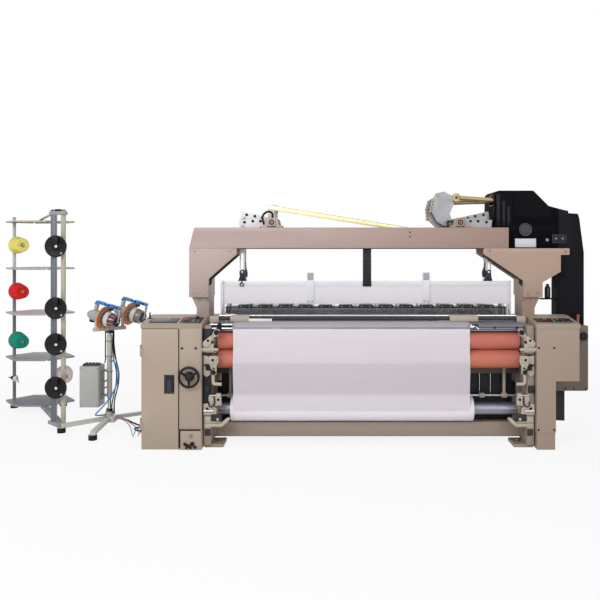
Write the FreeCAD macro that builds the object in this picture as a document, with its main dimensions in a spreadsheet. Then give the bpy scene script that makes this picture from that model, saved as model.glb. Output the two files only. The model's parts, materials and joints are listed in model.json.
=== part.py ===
"""Air-jet power loom with an overhead dobby, two weft feeders on a stand and a yarn creel.

Millimetres. +X runs to the weaver's right, +Y away from the weaver and +Z up. The origin is on the
floor at the centre of the rectangle of the four anchor holes in the side frames' feet.
"""
import FreeCAD, Part

import math
import os

import Sketcher
from FreeCAD import Placement, Rotation, Vector

X_AXIS = Vector(1, 0, 0)
Y_AXIS = Vector(0, 1, 0)
Z_AXIS = Vector(0, 0, 1)

# The driving dimensions: alias, value and what it measures.
DRIVING = [
    # side frames
    ("frame_gap", 2390, "clear width between the side frames"),
    ("frame_wall", 55, "thickness of a side frame's plate"),
    ("gearbox_width", 150, "width of the oil-bath box outside the plate"),
    ("gearbox_front", -240, "front face of the oil-bath box"),
    ("gearbox_back", 420, "back face of the oil-bath box"),
    ("frame_front", -600, "front edge of the side frames"),
    ("frame_back", 770, "back edge of the side frames"),
    ("frame_top", 925, "top of the side frames"),
    ("foot_rise", 55, "clear height under a side frame between its feet"),
    ("pad_height", 25, "thickness of a foot pad"),
    ("pad_reach", 90, "how far a foot pad reaches inwards"),
    ("anchor_x", 1150, "anchor hole from the centre line"),
    ("anchor_y", 475, "anchor hole from the middle, fore and aft"),
    ("anchor_radius", 11, "radius of an anchor hole"),
    ("boss_radius", 50, "radius of a bearing boss"),
    ("boss_depth", 30, "how far a bearing boss stands inwards"),
    ("bearing_depth", 60, "depth of a bearing bore"),
    ("running_fit", 0.05, "radial clearance of a shaft in its bore"),
    # cloth take-up
    ("cloth_level", 939, "underside of the cloth on the breast beam"),
    ("cloth_thick", 1.6, "thickness of the woven cloth"),
    ("cloth_left", -1034, "left selvedge of the cloth"),
    ("cloth_right", 774, "right selvedge of the cloth"),
    ("fell_y", -201, "fell, where the reed beats the weft in"),
    ("nose_y", -553, "front of the breast beam's nose"),
    ("nose_z", 889, "top of the breast beam's nose"),
    ("roller_y", -482, "axis of the take-up rollers, fore and aft"),
    ("upper_roller_z", 806, "axis height of the upper take-up roller"),
    ("lower_roller_z", 660, "axis height of the lower take-up roller"),
    ("roller_radius", 71, "radius of a take-up roller's rubber cover"),
    ("roller_length", 2314, "length of a take-up roller's cover"),
    ("journal_radius", 20, "radius of a roller's journal"),
    ("cloth_roller_y", -462, "axis of the cloth roller, fore and aft"),
    ("cloth_roller_z", 272, "axis height of the cloth roller"),
    ("cloth_tube_radius", 47, "radius of the cloth roller's tube"),
    ("cloth_roll_radius", 94, "radius of the wound cloth"),
    # sley and shed
    ("sley_y", -110, "axis of the rocking shaft, fore and aft"),
    ("sley_z", 640, "axis height of the rocking shaft"),
    ("sley_journal", 25, "radius of the rocking shaft's journals"),
    ("reed_half", 1150, "half the length of the reed"),
    ("reed_foot", 280, "foot of the reed above the rocking shaft"),
    ("reed_top", 395, "top of the reed's cap above the rocking shaft"),
    ("sley_tube", 40, "radius of the rocking shaft's tube"),
    ("reed_gaps", 60, "gaps shown in the reed"),
    ("shaft_pitch", 38, "spacing of the heald frames, fore and aft"),
    ("first_shaft_y", -50, "first heald frame, fore and aft"),
    ("heald_middle", 945, "middle height of a heald frame with its crank level"),
    ("heald_half_height", 210, "half the height of a heald frame"),
    ("heald_half_width", 1150, "half the width of a heald frame"),
    ("heald_thick", 9, "thickness of a heald frame"),
    ("stave_height", 58, "height of a heald frame's stave"),
    ("open_shed", 35, "drop of the front pair, and lift of the back pair, at rest"),
    # overhead gantry
    ("gantry_front", -150, "front face of the gantry"),
    ("gantry_back", 190, "back face of the gantry"),
    ("beam_thick", 60, "width of a gantry beam's section"),
    ("beam_low", 1510, "underside of the gantry beams"),
    ("beam_high", 1680, "top of the gantry beams"),
    ("gantry_left", -1444, "left end of the gantry beams"),
    ("column_inner", 1284, "inner face of a column"),
    ("column_outer", 1442, "outer face of a column"),
    ("column_low", 1110, "lower end of a column's head"),
    ("pivot_x", 770, "crank pivot from the centre line"),
    ("pivot_z", 1722, "height of the crank pivots"),
    ("pivot_radius", 25, "radius of a crank's pivot shaft"),
    ("lift_arm", 250, "pivot to the hanger's slot in a crank"),
    ("link_arm", 125, "pivot to the coupling bar's pin in a crank"),
    ("rod_arm", 193, "pivot to the dobby rod's pin, both across and up"),
    ("crank_thick", 8, "thickness of a crank's plate"),
    ("pin_radius", 10, "radius of a linkage pin"),
    # cabinets and covers
    ("cabinet_left", -1711, "left side of the control cabinet"),
    ("cabinet_right", -1258, "right side of the control cabinet"),
    ("cabinet_split", -1429, "split between the door and the fixed panel"),
    ("cabinet_front", -650, "front face of both cabinets"),
    ("cabinet_back", -245, "back face of both cabinets"),
    ("cabinet_top", 912, "top of the control cabinet and of the right cover"),
    ("sheet_thick", 4, "sheet metal of cabinets and covers"),
    ("console_slope", 6.9, "slope of the consoles' tops, in degrees"),
    ("cover_inner", 1258, "inner side of the right cover"),
    ("cover_outer", 1580, "outer side of the right cover"),
    ("cover_leg", 1403, "outer side of the right cover's leg"),
    ("cover_step", 515, "height of the right cover's step"),
    ("handwheel_x", -1345, "axis of the handwheel"),
    ("handwheel_z", 552, "axis height of the handwheel"),
    ("handwheel_radius", 82, "outer radius of the handwheel"),
    ("dobby_left", 1063, "left face of the dobby"),
    ("dobby_front", -85, "front face of the dobby"),
    ("dobby_back", 330, "back face of the dobby"),
    ("dobby_top", 1986, "top of the dobby"),
    ("belt_cover_left", 1590, "left face of the dobby's belt cover"),
    ("belt_cover_right", 1799, "right face of the dobby's belt cover"),
    ("drive_low", 354, "underside of the main drive's cover"),
    ("drive_high", 882, "top of the main drive's cover"),
    # warp side
    ("warp_beam_y", 620, "axis of the warp beam, fore and aft"),
    ("warp_beam_z", 480, "axis height of the warp beam"),
    ("flange_radius", 340, "radius of a warp beam flange"),
    ("warp_radius", 240, "radius of the wound warp"),
    ("warp_half", 1080, "half the width between the flanges"),
    ("backrest_y", 650, "axis of the back rest, fore and aft"),
    ("backrest_z", 905, "axis height of the back rest"),
    ("backrest_radius", 60, "radius of the back rest"),
    ("lever_y", 520, "pivot of the tension levers, fore and aft"),
    ("lever_z", 840, "pivot height of the tension levers"),
    # weft feeders and creel
    ("stand_x", -2173, "pole of the feeder stand"),
    ("stand_y", 127, "pole of the feeder stand, fore and aft"),
    ("pole_radius", 16, "radius of the feeder stand's pole"),
    ("bracket_z", 840, "top of the feeder bracket"),
    ("feeder_tilt", 12, "nose-down tilt of the feeders, in degrees"),
    ("feeder_turn", -20, "turn of the feeders towards the weaver, in degrees"),
    ("flyer_radius", 98, "radius of a feeder's flyer disc"),
    ("drum_radius", 62, "radius of a feeder's drum"),
    ("creel_x", -3275, "creel's package pole"),
    ("creel_y", 827, "creel's package pole, fore and aft"),
    ("creel_height", 1790, "height of the creel's package poles"),
    ("cone_turn", -51.5, "direction in which the cones point, in degrees"),
    ("cone_length", 170, "length of a yarn cone"),
    ("cone_big", 82, "radius of a yarn cone's base"),
    ("cone_small", 62, "radius of a yarn cone's nose"),
]


class Size:
    """A length or an angle: its number, and the sheet formula that gives it."""

    def __init__(self, number, formula=None):
        self.number = float(number)
        self.formula = repr(self.number) if formula is None else formula

    @staticmethod
    def of(value):
        return value if isinstance(value, Size) else Size(value)

    def joined(self, sign, other, number):
        return Size(number, "({} {} {})".format(self.formula, sign, other.formula))

    def __add__(self, other):
        other = Size.of(other)
        return self.joined("+", other, self.number + other.number)

    def __sub__(self, other):
        other = Size.of(other)
        return self.joined("-", other, self.number - other.number)

    def __mul__(self, other):
        other = Size.of(other)
        return self.joined("*", other, self.number * other.number)

    def __truediv__(self, other):
        other = Size.of(other)
        return self.joined("/", other, self.number / other.number)

    def __radd__(self, other):
        return Size.of(other) + self

    def __rsub__(self, other):
        return Size.of(other) - self

    def __rmul__(self, other):
        return Size.of(other) * self

    def __neg__(self):
        return Size(-self.number, "(0 - {})".format(self.formula))

    def __float__(self):
        return self.number


class Sheet:
    """The spreadsheet of driving dimensions; each one is read as an attribute."""

    def __init__(self, document):
        self.cells = document.addObject("Spreadsheet::Sheet", "Sizes")
        self.known = {}
        for row, (alias, value, meaning) in enumerate(DRIVING, start=1):
            self.cells.set("A{}".format(row), str(value))
            self.cells.setAlias("A{}".format(row), alias)
            self.cells.set("B{}".format(row), meaning)
            self.known[alias] = Size(value, "Sizes.{}".format(alias))
        document.recompute()

    def __getattr__(self, alias):
        return self.known[alias]


def bind(feature, name, value):
    """Gives a property its number, and its formula where the sheet drives it."""
    value = Size.of(value)
    if name in feature.PropertiesList:
        setattr(feature, name, value.number)
    if "Sizes." in value.formula:
        feature.setExpression(name, value.formula)


def rectangle(low_x, low_z, high_x, high_z):
    return [(low_x, low_z), (high_x, low_z), (high_x, high_z), (low_x, high_z)]


def middle(*values):
    return sum(float(v) for v in values) / len(values)


class Outline:
    """Closed lines in a sketch, through points whose two places the sheet drives."""

    def __init__(self, points):
        self.points = [(Size.of(a), Size.of(b)) for a, b in points]

    def draw(self, sketch):
        count = len(self.points)
        first = sketch.GeometryCount
        ends = [Vector(float(a), float(b), 0) for a, b in self.points]
        sides = [Part.LineSegment(ends[i], ends[(i + 1) % count]) for i in range(count)]
        sketch.addGeometry(sides, False)
        for i in range(count):
            joint = Sketcher.Constraint("Coincident", first + i, 2, first + (i + 1) % count, 1)
            sketch.addConstraint(joint)
        for i, (across, up) in enumerate(self.points):
            place(sketch, first + i, 1, across, up)


class Disc:
    """A full circle in a sketch."""

    def __init__(self, across, up, radius):
        self.across, self.up, self.radius = Size.of(across), Size.of(up), Size.of(radius)

    def draw(self, sketch):
        centre = Vector(float(self.across), float(self.up), 0)
        index = sketch.addGeometry(Part.Circle(centre, Z_AXIS, float(self.radius)), False)
        place(sketch, index, 3, self.across, self.up)
        measure(sketch, Sketcher.Constraint("Radius", index, float(self.radius)), self.radius)


class Slot:
    """A slot with round ends; its centres lie `half` either side of the middle."""

    def __init__(self, across, up, half, radius, upright=False):
        self.across, self.up = Size.of(across), Size.of(up)
        self.half, self.radius, self.upright = Size.of(half), Size.of(radius), upright

    def draw(self, sketch):
        first = sketch.GeometryCount
        turn = math.pi / 2 if self.upright else 0.0
        along = Vector(math.cos(turn), math.sin(turn), 0)
        beside = Vector(-along.y, along.x, 0)
        middle_point = Vector(float(self.across), float(self.up), 0)
        half, radius = float(self.half), float(self.radius)
        ends = [middle_point + along * half, middle_point - along * half]
        start = turn - math.pi / 2
        arcs = []
        for end, angle in zip(ends, (start, start + math.pi)):
            circle = Part.Circle(end, Z_AXIS, radius)
            arcs.append(Part.ArcOfCircle(circle, angle, angle + math.pi))
        sides = [
            Part.LineSegment(ends[0] + beside * radius, ends[1] + beside * radius),
            Part.LineSegment(ends[1] - beside * radius, ends[0] - beside * radius),
        ]
        sketch.addGeometry([arcs[0], sides[0], arcs[1], sides[1]], False)
        for i in range(4):
            sketch.addConstraint(Sketcher.Constraint("Tangent", first + i, 2, first + (i + 1) % 4, 1))
        sketch.addConstraint(Sketcher.Constraint("Equal", first, first + 2))
        steps = (self.half, -self.half)
        for index, step in zip((first, first + 2), steps):
            across = self.across if self.upright else self.across + step
            up = self.up + step if self.upright else self.up
            place(sketch, index, 3, across, up)
        measure(sketch, Sketcher.Constraint("Radius", first, radius), self.radius)


def measure(sketch, constraint, value):
    """Adds a dimension to a sketch, driven by the sheet where its formula names it."""
    index = sketch.addConstraint(constraint)
    if "Sizes." in value.formula:
        sketch.setExpression("Constraints[{}]".format(index), value.formula)


def place(sketch, index, point, across, up):
    """Fixes a point of a sketch by its two distances from the sketch's origin."""
    for kind, value in (("DistanceX", across), ("DistanceY", up)):
        measure(sketch, Sketcher.Constraint(kind, -1, 1, index, point, float(value)), value)


class Piece:
    """A body whose features are drawn on its own origin planes.

    `at` places the body, and `turn` is its rotation. Slabs on "XY", "XZ" or "YZ" run from a low to a
    high level along the third axis; a cut slab removes the same space.
    """

    def __init__(self, document, label, at=(0, 0, 0), turn=None):
        self.document = document
        self.body = document.addObject("PartDesign::Body", label)
        self.label = label
        self.body.Placement = Placement(Vector(*[float(v) for v in at]), turn or Rotation())
        for axis, value in zip("xyz", at):
            bind(self.body, "Placement.Base." + axis, value)
        self.roles = {f.Role: f for f in self.body.Origin.OriginFeatures}

    def sketch(self, plane, level, shapes):
        sketch = self.body.newObject("Sketcher::SketchObject", self.label + "_sketch")
        sketch.AttachmentSupport = [(self.roles[plane + "_Plane"], "")]
        sketch.MapMode = "FlatFace"
        sketch.AttachmentOffset = Placement(Vector(0, 0, float(level)), Rotation())
        bind(sketch, "AttachmentOffset.Base.z", level)
        for shape in shapes if isinstance(shapes, (list, tuple)) else [shapes]:
            shape.draw(sketch)
        return sketch

    def slab(self, plane, shapes, low, high, cut=False):
        low, high = Size.of(low), Size.of(high)
        level = -high if plane == "XZ" else low
        kind = "PartDesign::Pocket" if cut else "PartDesign::Pad"
        drawn = self.sketch(plane, level, shapes)
        feature = self.body.newObject(kind, self.label + "_slab")
        feature.Profile = drawn
        feature.Reversed = cut
        bind(feature, "Length", high - low)
        return self

    def cut(self, plane, shapes, low, high):
        return self.slab(plane, shapes, low, high, cut=True)

    def turned(self, shape, axis="X"):
        """Revolves a half profile about the body's own axis.

        The sketch's first distance runs along X or Y, and its second is the radius; for Z the
        radius comes first.
        """
        plane = {"X": "XZ", "Y": "YZ", "Z": "XZ"}[axis]
        drawn = self.sketch(plane, 0, shape)
        feature = self.body.newObject("PartDesign::Revolution", self.label + "_turned")
        feature.Profile = drawn
        feature.ReferenceAxis = (self.roles[axis + "_Axis"], [""])
        feature.Angle = 360
        return self

    def repeated(self, axis, step, count):
        """Repeats the last feature along an axis."""
        original = self.body.Tip
        pattern = self.body.newObject("PartDesign::LinearPattern", self.label + "_row")
        pattern.Originals = [original]
        pattern.Direction = (self.roles[axis + "_Axis"], [""])
        pattern.Length = float(step) * (count - 1)
        pattern.Occurrences = count
        self.body.Tip = pattern
        return self

    def rounded(self, radius, along, places, chamfer=False):
        """Rounds or chamfers the edges parallel to `along` that pass the given places."""
        self.document.recompute()
        base = self.body.Tip
        spare = [i for i in range(3) if i != "XYZ".index(along)]
        wanted = [(float(a), float(b)) for a, b in places]
        names = []
        for number, edge in enumerate(base.Shape.Edges, start=1):
            ends = [vertex.Point for vertex in edge.Vertexes]
            if len(ends) != 2 or not isinstance(edge.Curve, Part.Line):
                continue
            span = ends[1] - ends[0]
            if abs(span["XYZ".index(along)]) < 0.999 * span.Length:
                continue
            at = tuple(ends[0][i] for i in spare)
            if any(math.dist(at, place_) < 0.01 for place_ in wanted):
                names.append("Edge{}".format(number))
        if len(names) < len(wanted):
            raise ValueError("{}: {} edges to round at {}".format(self.label, len(names), wanted))
        kind = "PartDesign::Chamfer" if chamfer else "PartDesign::Fillet"
        feature = self.body.newObject(kind, self.label + "_edges")
        feature.Base = (base, names)
        bind(feature, "Size" if chamfer else "Radius", radius)
        return self


def rod(document, label, start, end, radius):
    """A round bar between two points."""
    start, end = Vector(*map(float, start)), Vector(*map(float, end))
    piece = document.addObject("Part::Cylinder", label)
    bind(piece, "Radius", radius)
    piece.Height = (end - start).Length
    piece.Placement = Placement(start, Rotation(Z_AXIS, end - start))
    return piece


def block(document, label, low, high):
    """A rectangular bar between two opposite corners, driven by the sheet."""
    piece = document.addObject("Part::Box", label)
    for name, axis, near, far in zip(("Length", "Width", "Height"), "xyz", low, high):
        near, far = Size.of(near), Size.of(far)
        bind(piece, name, far - near)
        bind(piece, "Placement.Base." + axis, near)
        base = piece.Placement.Base
        setattr(base, axis, near.number)
        piece.Placement.Base = base
    return piece


def bar(document, label, start, end, width, height):
    """A flat-lying square bar whose underside runs from one point to another."""
    start, end = Vector(*map(float, start)), Vector(*map(float, end))
    piece = document.addObject("Part::Box", label)
    piece.Length, piece.Width, piece.Height = (end - start).Length, width, height
    turn = Rotation(X_AXIS, end - start)
    piece.Placement = Placement(start + turn.multVec(Vector(0, -width / 2, 0)), turn)
    return piece


def fused(document, label, members):
    piece = document.addObject("Part::MultiFuse", label)
    piece.Shapes = members
    return piece


def grouped(document, label, members):
    piece = document.addObject("Part::Compound", label)
    piece.Links = members
    return piece


def lessened(document, label, base, tool):
    piece = document.addObject("Part::Cut", label)
    piece.Base, piece.Tool = base, tool
    return piece


# ---------------------------------------------------------------- side frames and cross members

WARP_JOURNAL = 30
FOOT_HALF = 100
PLATE_BACK_TOE = 600
GEARBOX_LOW = 205
GEARBOX_CORNER = 30
LUG_HALF = 25
CABINET_LUGS = (300, 700)
WINDOWS = ((-325, 480, 270, 48), (490, 330, 130, 32), (695, 690, 80, 36))


def frame_bearings(s):
    """Axis and journal of each shaft that the side frames carry."""
    return [
        (s.roller_y, s.upper_roller_z, s.journal_radius),
        (s.roller_y, s.lower_roller_z, s.journal_radius),
        (s.cloth_roller_y, s.cloth_roller_z, s.journal_radius),
        (s.sley_y, s.sley_z, s.sley_journal),
        (s.lever_y, s.lever_z, s.sley_journal),
        (s.warp_beam_y, s.warp_beam_z, Size(WARP_JOURNAL)),
    ]


def side_frame(document, s, side):
    """A cast side frame: webbed plate on two foot pads, bearing bosses and an oil-bath box."""
    label = "side_frame_right" if side > 0 else "side_frame_left"
    inner, outer = s.frame_gap / 2, s.frame_gap / 2 + s.frame_wall
    bosses = inner - s.boss_depth

    def span(low, high):
        return (low, high) if side > 0 else (-Size.of(high), -Size.of(low))

    toe_front, toe_back = s.anchor_y - FOOT_HALF, s.anchor_y + FOOT_HALF
    underside = s.pad_height + s.foot_rise
    piece = Piece(document, label)
    piece.slab("YZ", Outline([
        (s.frame_front, s.pad_height), (-toe_front, s.pad_height),
        (40 - toe_front, underside), (toe_front - 40, underside),
        (toe_front, s.pad_height), (PLATE_BACK_TOE, s.pad_height),
        (s.frame_back, 330), (s.frame_back, s.frame_top), (s.frame_front, s.frame_top),
    ]), *span(inner, outer))
    piece.cut("YZ", [Slot(y, z, half, r, upright=True) for y, z, half, r in WINDOWS],
              *span(inner, outer))
    for near, far in ((-toe_back, -toe_front), (toe_front, toe_back)):
        low, high = span(inner - s.pad_reach, outer)
        piece.slab("XY", Outline(rectangle(low, near, high, far)), 0, s.pad_height)
    holes = [Disc(side * s.anchor_x, y, s.anchor_radius) for y in (-s.anchor_y, s.anchor_y)]
    piece.cut("XY", holes, 0, s.pad_height)
    bearings = frame_bearings(s)
    piece.slab("YZ", [Disc(y, z, s.boss_radius) for y, z, _ in bearings], *span(bosses, inner))
    piece.slab("YZ", Outline(rectangle(s.gearbox_front, GEARBOX_LOW, s.gearbox_back, s.frame_top)),
               *span(outer, outer + s.gearbox_width))
    corners = [(y, z) for y in (s.gearbox_front, s.gearbox_back) for z in (GEARBOX_LOW, s.frame_top)]
    far_side = outer + s.gearbox_width
    piece.rounded(GEARBOX_CORNER, "X", [corners[0], corners[2]])
    lugs = [Outline(rectangle(middle(s.cabinet_front, s.cabinet_back) - LUG_HALF, z - LUG_HALF,
                              middle(s.cabinet_front, s.cabinet_back) + LUG_HALF, z + LUG_HALF))
            for z in CABINET_LUGS]
    piece.slab("YZ", lugs, *span(outer, -s.cabinet_right))
    bores = [Disc(y, z, r + s.running_fit) for y, z, r in bearings]
    piece.cut("YZ", bores, *span(bosses, bosses + s.bearing_depth))
    lid = rectangle(s.gearbox_front + 30, GEARBOX_LOW + 40, s.gearbox_back - 30, s.frame_top - 40)
    piece.cut("YZ", Outline(lid), *span(far_side - 3, far_side))
    return piece.body


def cross_beams(document, s):
    """Three box beams that tie the side frames together."""
    inner = s.frame_gap / 2
    piece = Piece(document, "cross_beams")
    sections = [
        (-460, 54, -370, 168),
        (-330, 520, -270, 590),
        (540, 30, 680, 118),
    ]
    piece.slab("YZ", [Outline(rectangle(*section)) for section in sections], -inner, inner)
    return piece.body


TANK = (-252, 336, -152, 436)
TANK_CORNER = 20
VALVE_COUNT, VALVE_PITCH = 13, 165


def air_tank(document, s):
    """The long air tank of the relay nozzles, with its row of valves."""
    inner = s.frame_gap / 2
    front, low, back, high = TANK
    piece = Piece(document, "air_tank")
    piece.slab("YZ", Outline(rectangle(*TANK)), -inner, inner)
    piece.rounded(TANK_CORNER, "X", [(y, z) for y in (front, back) for z in (low, high)])
    start = -VALVE_PITCH * (VALVE_COUNT - 1) / 2
    valves = [Outline(rectangle(start + VALVE_PITCH * i - 20, middle(front, back) - 16,
                                start + VALVE_PITCH * i + 20, middle(front, back) + 16))
              for i in range(VALVE_COUNT)]
    piece.slab("XY", valves, high - 4, high + 46)
    return piece.body


def breast_beam(document, s):
    """The folded beam over which the cloth turns down to the rollers."""
    inner = s.frame_gap / 2
    low = s.nose_z - 8
    piece = Piece(document, "breast_beam")
    piece.slab("YZ", Outline([
        (s.nose_y, low), (s.nose_y, s.nose_z), (s.nose_y + 48, s.cloth_level),
        (-335, s.cloth_level), (-335, low),
    ]), -inner, inner)
    piece.cut("YZ", Outline([
        (s.nose_y + 16, low), (s.nose_y + 54, s.cloth_level - 8),
        (-343, s.cloth_level - 8), (-343, low),
    ]), 12 - inner, inner - 12)
    return piece.body


def temple_bar(document, s):
    """The bar across the cloth with a temple clamped at each selvedge."""
    inner = s.frame_gap / 2
    piece = Piece(document, "temple_bar")
    piece.slab("YZ", Outline(rectangle(-412, 947, -390, 977)), 35 - inner, inner - 35)
    for side in (-1, 1):
        for near, far, level in ((inner - 35, inner, s.cloth_level), (inner, inner + 35, s.frame_top)):
            low, high = (near, far) if side > 0 else (-far, -near)
            piece.slab("XY", Outline(rectangle(low, -430, high, -372)), level, 982)
    for low, high in ((s.cloth_left - 35, s.cloth_left + 114), (s.cloth_right - 136, s.cloth_right + 83)):
        piece.slab("YZ", Outline([
            (-452, 943), (-340, 943), (-340, 962), (-366, 988), (-436, 988), (-452, 972),
        ]), low, high)
    return piece.body


# ---------------------------------------------------------------- cloth take-up and let-off

def roller(document, s, label, y, z, radius, half):
    """A roller with a journal at each end, turned in one piece."""
    end = s.frame_gap / 2 - s.boss_depth + s.bearing_depth - 3
    journal = s.journal_radius
    piece = Piece(document, label, at=(0, y, z))
    piece.turned(Outline([
        (-end, 0), (end, 0), (end, journal), (half, journal), (half, radius),
        (-half, radius), (-half, journal), (-end, journal),
    ]))
    return piece.body


def cloth(document, s):
    """The woven cloth from the fell, over the breast beam and down in front of the rollers."""
    gap = 0.5
    front = s.nose_y - gap
    roll_front = s.cloth_roller_y - s.cloth_roll_radius - gap - 0.3
    thick = s.cloth_thick
    top = s.cloth_level + thick
    piece = Piece(document, "cloth")
    piece.slab("YZ", Outline([
        (s.fell_y, s.cloth_level), (s.nose_y + 48, s.cloth_level), (front, s.nose_z),
        (front, s.lower_roller_z), (roll_front, s.cloth_roller_z),
        (roll_front - thick, s.cloth_roller_z), (front - thick, s.lower_roller_z),
        (front - thick, s.nose_z + 0.7), (s.nose_y + 47.3, top), (s.fell_y, top),
    ]), s.cloth_left, s.cloth_right)
    return piece.body


def wound(document, label, y, z, inner, outer, low, high):
    """Cloth or warp wound on a tube, as one closed ring."""
    piece = Piece(document, label, at=(0, y, z))
    piece.turned(Outline([(low, inner), (high, inner), (high, outer), (low, outer)]))
    return piece.body


def warp_beam(document, s):
    """The warp beam: barrel, two flanges with their hubs and two journals."""
    end = s.frame_gap / 2 - s.boss_depth + s.bearing_depth - 3
    half, rim = s.warp_half, s.flange_radius
    barrel = 75
    piece = Piece(document, "warp_beam", at=(0, s.warp_beam_y, s.warp_beam_z))
    piece.turned(Outline([
        (-end, 0), (end, 0), (end, WARP_JOURNAL), (half + 40, WARP_JOURNAL), (half + 16, 90),
        (half + 16, rim), (half, rim), (half, barrel), (-half, barrel), (-half, rim),
        (-half - 16, rim), (-half - 16, 90), (-half - 40, WARP_JOURNAL), (-end, WARP_JOURNAL),
    ]))
    return piece.body


LEVER_IN, LEVER_OUT = 1133, 1159


def tension_levers(document, s):
    """Two levers on a common shaft; they carry the back rest."""
    end = s.frame_gap / 2 - s.boss_depth + s.bearing_depth - 3
    piece = Piece(document, "tension_levers", at=(0, s.lever_y, s.lever_z))
    piece.turned(Outline([(-end, 0), (end, 0), (end, s.sley_journal), (-end, s.sley_journal)]))
    across, up = s.backrest_y - s.lever_y, s.backrest_z - s.lever_z
    for low, high in ((-LEVER_OUT, -LEVER_IN), (LEVER_IN, LEVER_OUT)):
        piece.slab("YZ", Outline([(-20, 38), (20, -38), (across + 14, up - 36), (across - 14, up + 38)]),
                   low, high)
        piece.slab("YZ", [Disc(0, 0, 44)], low, high)
        piece.slab("YZ", [Disc(across, up, 40)], low, high)
        piece.cut("YZ", [Disc(across, up, s.journal_radius + s.running_fit)], low, high)
    return piece.body


def backrest_roller(document, s):
    half, end = Size(1125), Size(LEVER_OUT - 2)
    piece = Piece(document, "backrest_roller", at=(0, s.backrest_y, s.backrest_z))
    piece.turned(Outline([
        (-end, 0), (end, 0), (end, s.journal_radius), (half, s.journal_radius),
        (half, s.backrest_radius), (-half, s.backrest_radius), (-half, s.journal_radius),
        (-end, s.journal_radius),
    ]))
    return piece.body


SHEET_FRONT, SHEET_BACK = 235, 585
SHEET_Z, SHEET_SLOPE = 949.5, 0.041
SHEET_THICK = 1.6
REAR_LOW, REAR_HIGH = (845.6, 566.0), (741.0, 840.0)


def warp_sheet(document, s):
    """The warp from the beam up to the back rest, and from it to the drop wires."""
    rise = SHEET_SLOPE * (SHEET_BACK - SHEET_FRONT)
    piece = Piece(document, "warp_sheet")
    flat = [
        (SHEET_FRONT, SHEET_Z), (SHEET_BACK, SHEET_Z + rise),
        (SHEET_BACK, SHEET_Z + rise + SHEET_THICK), (SHEET_FRONT, SHEET_Z + SHEET_THICK),
    ]
    rear = [
        REAR_LOW, (REAR_LOW[0] + SHEET_THICK, REAR_LOW[1]),
        (REAR_HIGH[0] + SHEET_THICK, REAR_HIGH[1]), REAR_HIGH,
    ]
    half = s.warp_half - 8
    piece.slab("YZ", [Outline(flat), Outline(rear)], -half, half)
    return piece.body


DROP_ROWS, DROP_PITCH, DROP_FIRST = 6, 30, 265


def drop_wire_unit(document, s):
    """Six rows of drop wires between their two side rails."""
    inner = s.frame_gap / 2
    rail = 1112
    piece = Piece(document, "drop_wire_unit")
    back = DROP_FIRST + DROP_PITCH * DROP_ROWS
    for low, high in ((-inner, -rail), (rail, inner)):
        piece.slab("YZ", Outline([
            (240, 868), (back, 868), (back, 990), (back - 20, 1000), (260, 990), (240, 970),
        ]), low, high)
    below, above = [], []
    for row in range(DROP_ROWS):
        y = DROP_FIRST + DROP_PITCH * row
        level = SHEET_Z + SHEET_SLOPE * (y - SHEET_FRONT)
        below.append(Outline(rectangle(y - 3, 872, y + 3, level - 1)))
        above.append(Outline(rectangle(y - 3, level + 3, y + 3, level + 24)))
    piece.slab("YZ", below + above, -rail, rail)
    return piece.body


# ---------------------------------------------------------------- sley and reed

SWORDS = (-1050, -525, 0, 525, 1050)
CLAMP_PITCH, CLAMP_COUNT = 165, 13


def sley(document, s):
    """Rocking shaft, five swords and the sley beam, with the main nozzle at the left."""
    end = s.frame_gap / 2 - s.boss_depth + s.bearing_depth - 3
    half, tube, foot = s.reed_half, s.sley_tube, s.reed_foot
    piece = Piece(document, "sley", at=(0, s.sley_y, s.sley_z))
    piece.turned(Outline([
        (-end, 0), (end, 0), (end, s.sley_journal), (half, s.sley_journal), (half, tube),
        (-half, tube), (-half, s.sley_journal), (-end, s.sley_journal),
    ]))
    for x in SWORDS:
        piece.slab("YZ", Outline([(-30, 20), (30, 20), (17, foot - 45), (-17, foot - 45)]),
                   x - 11, x + 11)
    piece.slab("YZ", Outline([
        (-30, foot - 50), (24, foot - 50), (24, foot - 14), (8, foot), (-20, foot), (-30, foot - 16),
    ]), -half, half)
    piece.slab("YZ", [Outline(rectangle(-28, foot - 14, -12, foot + 44))], -half, 20 - half)
    piece.slab("YZ", [Disc(-20, foot + 36, 8)], -half, 90 - half)
    return piece.body


def reed(document, s):
    """The reed: one wall pierced by its dents, a cap and the row of clamps on the cap."""
    half, foot, top = s.reed_half, s.reed_foot, s.reed_top
    gap_low, gap_high = foot + 24, top - 26
    pitch = 2 * (s.reed_half - 20) / s.reed_gaps
    piece = Piece(document, "reed", at=(0, s.sley_y, s.sley_z))
    piece.slab("YZ", Outline([
        (-4, foot), (4, foot), (4, top - 12), (8, top - 12), (8, top), (-8, top), (-8, top - 12),
        (-4, top - 12),
    ]), -half, half)
    first = 20 - half + pitch / 2
    piece.cut("XZ", Outline(rectangle(first - 5, gap_low, first + 5, gap_high)), -4, 4)
    piece.repeated("X", pitch, int(float(s.reed_gaps)))
    start = -CLAMP_PITCH * (CLAMP_COUNT - 1) / 2
    clamps = [Outline([
        (start + CLAMP_PITCH * i - 52, top + 16), (start + CLAMP_PITCH * i - 66, top - 14),
        (start + CLAMP_PITCH * i + 66, top - 14), (start + CLAMP_PITCH * i + 52, top + 16),
    ]) for i in range(CLAMP_COUNT)]
    piece.slab("XZ", clamps, -14, -8)
    return piece.body


# ---------------------------------------------------------------- heald frames and their levers

SHAFTS = 4
STRAP_FAR, STRAP_NEAR, PIN_END = 9, 5, 7
SLOT_FIT = 0.9
HEALD_WINDOWS = 13
HEALD_WIDTH = 5


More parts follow.
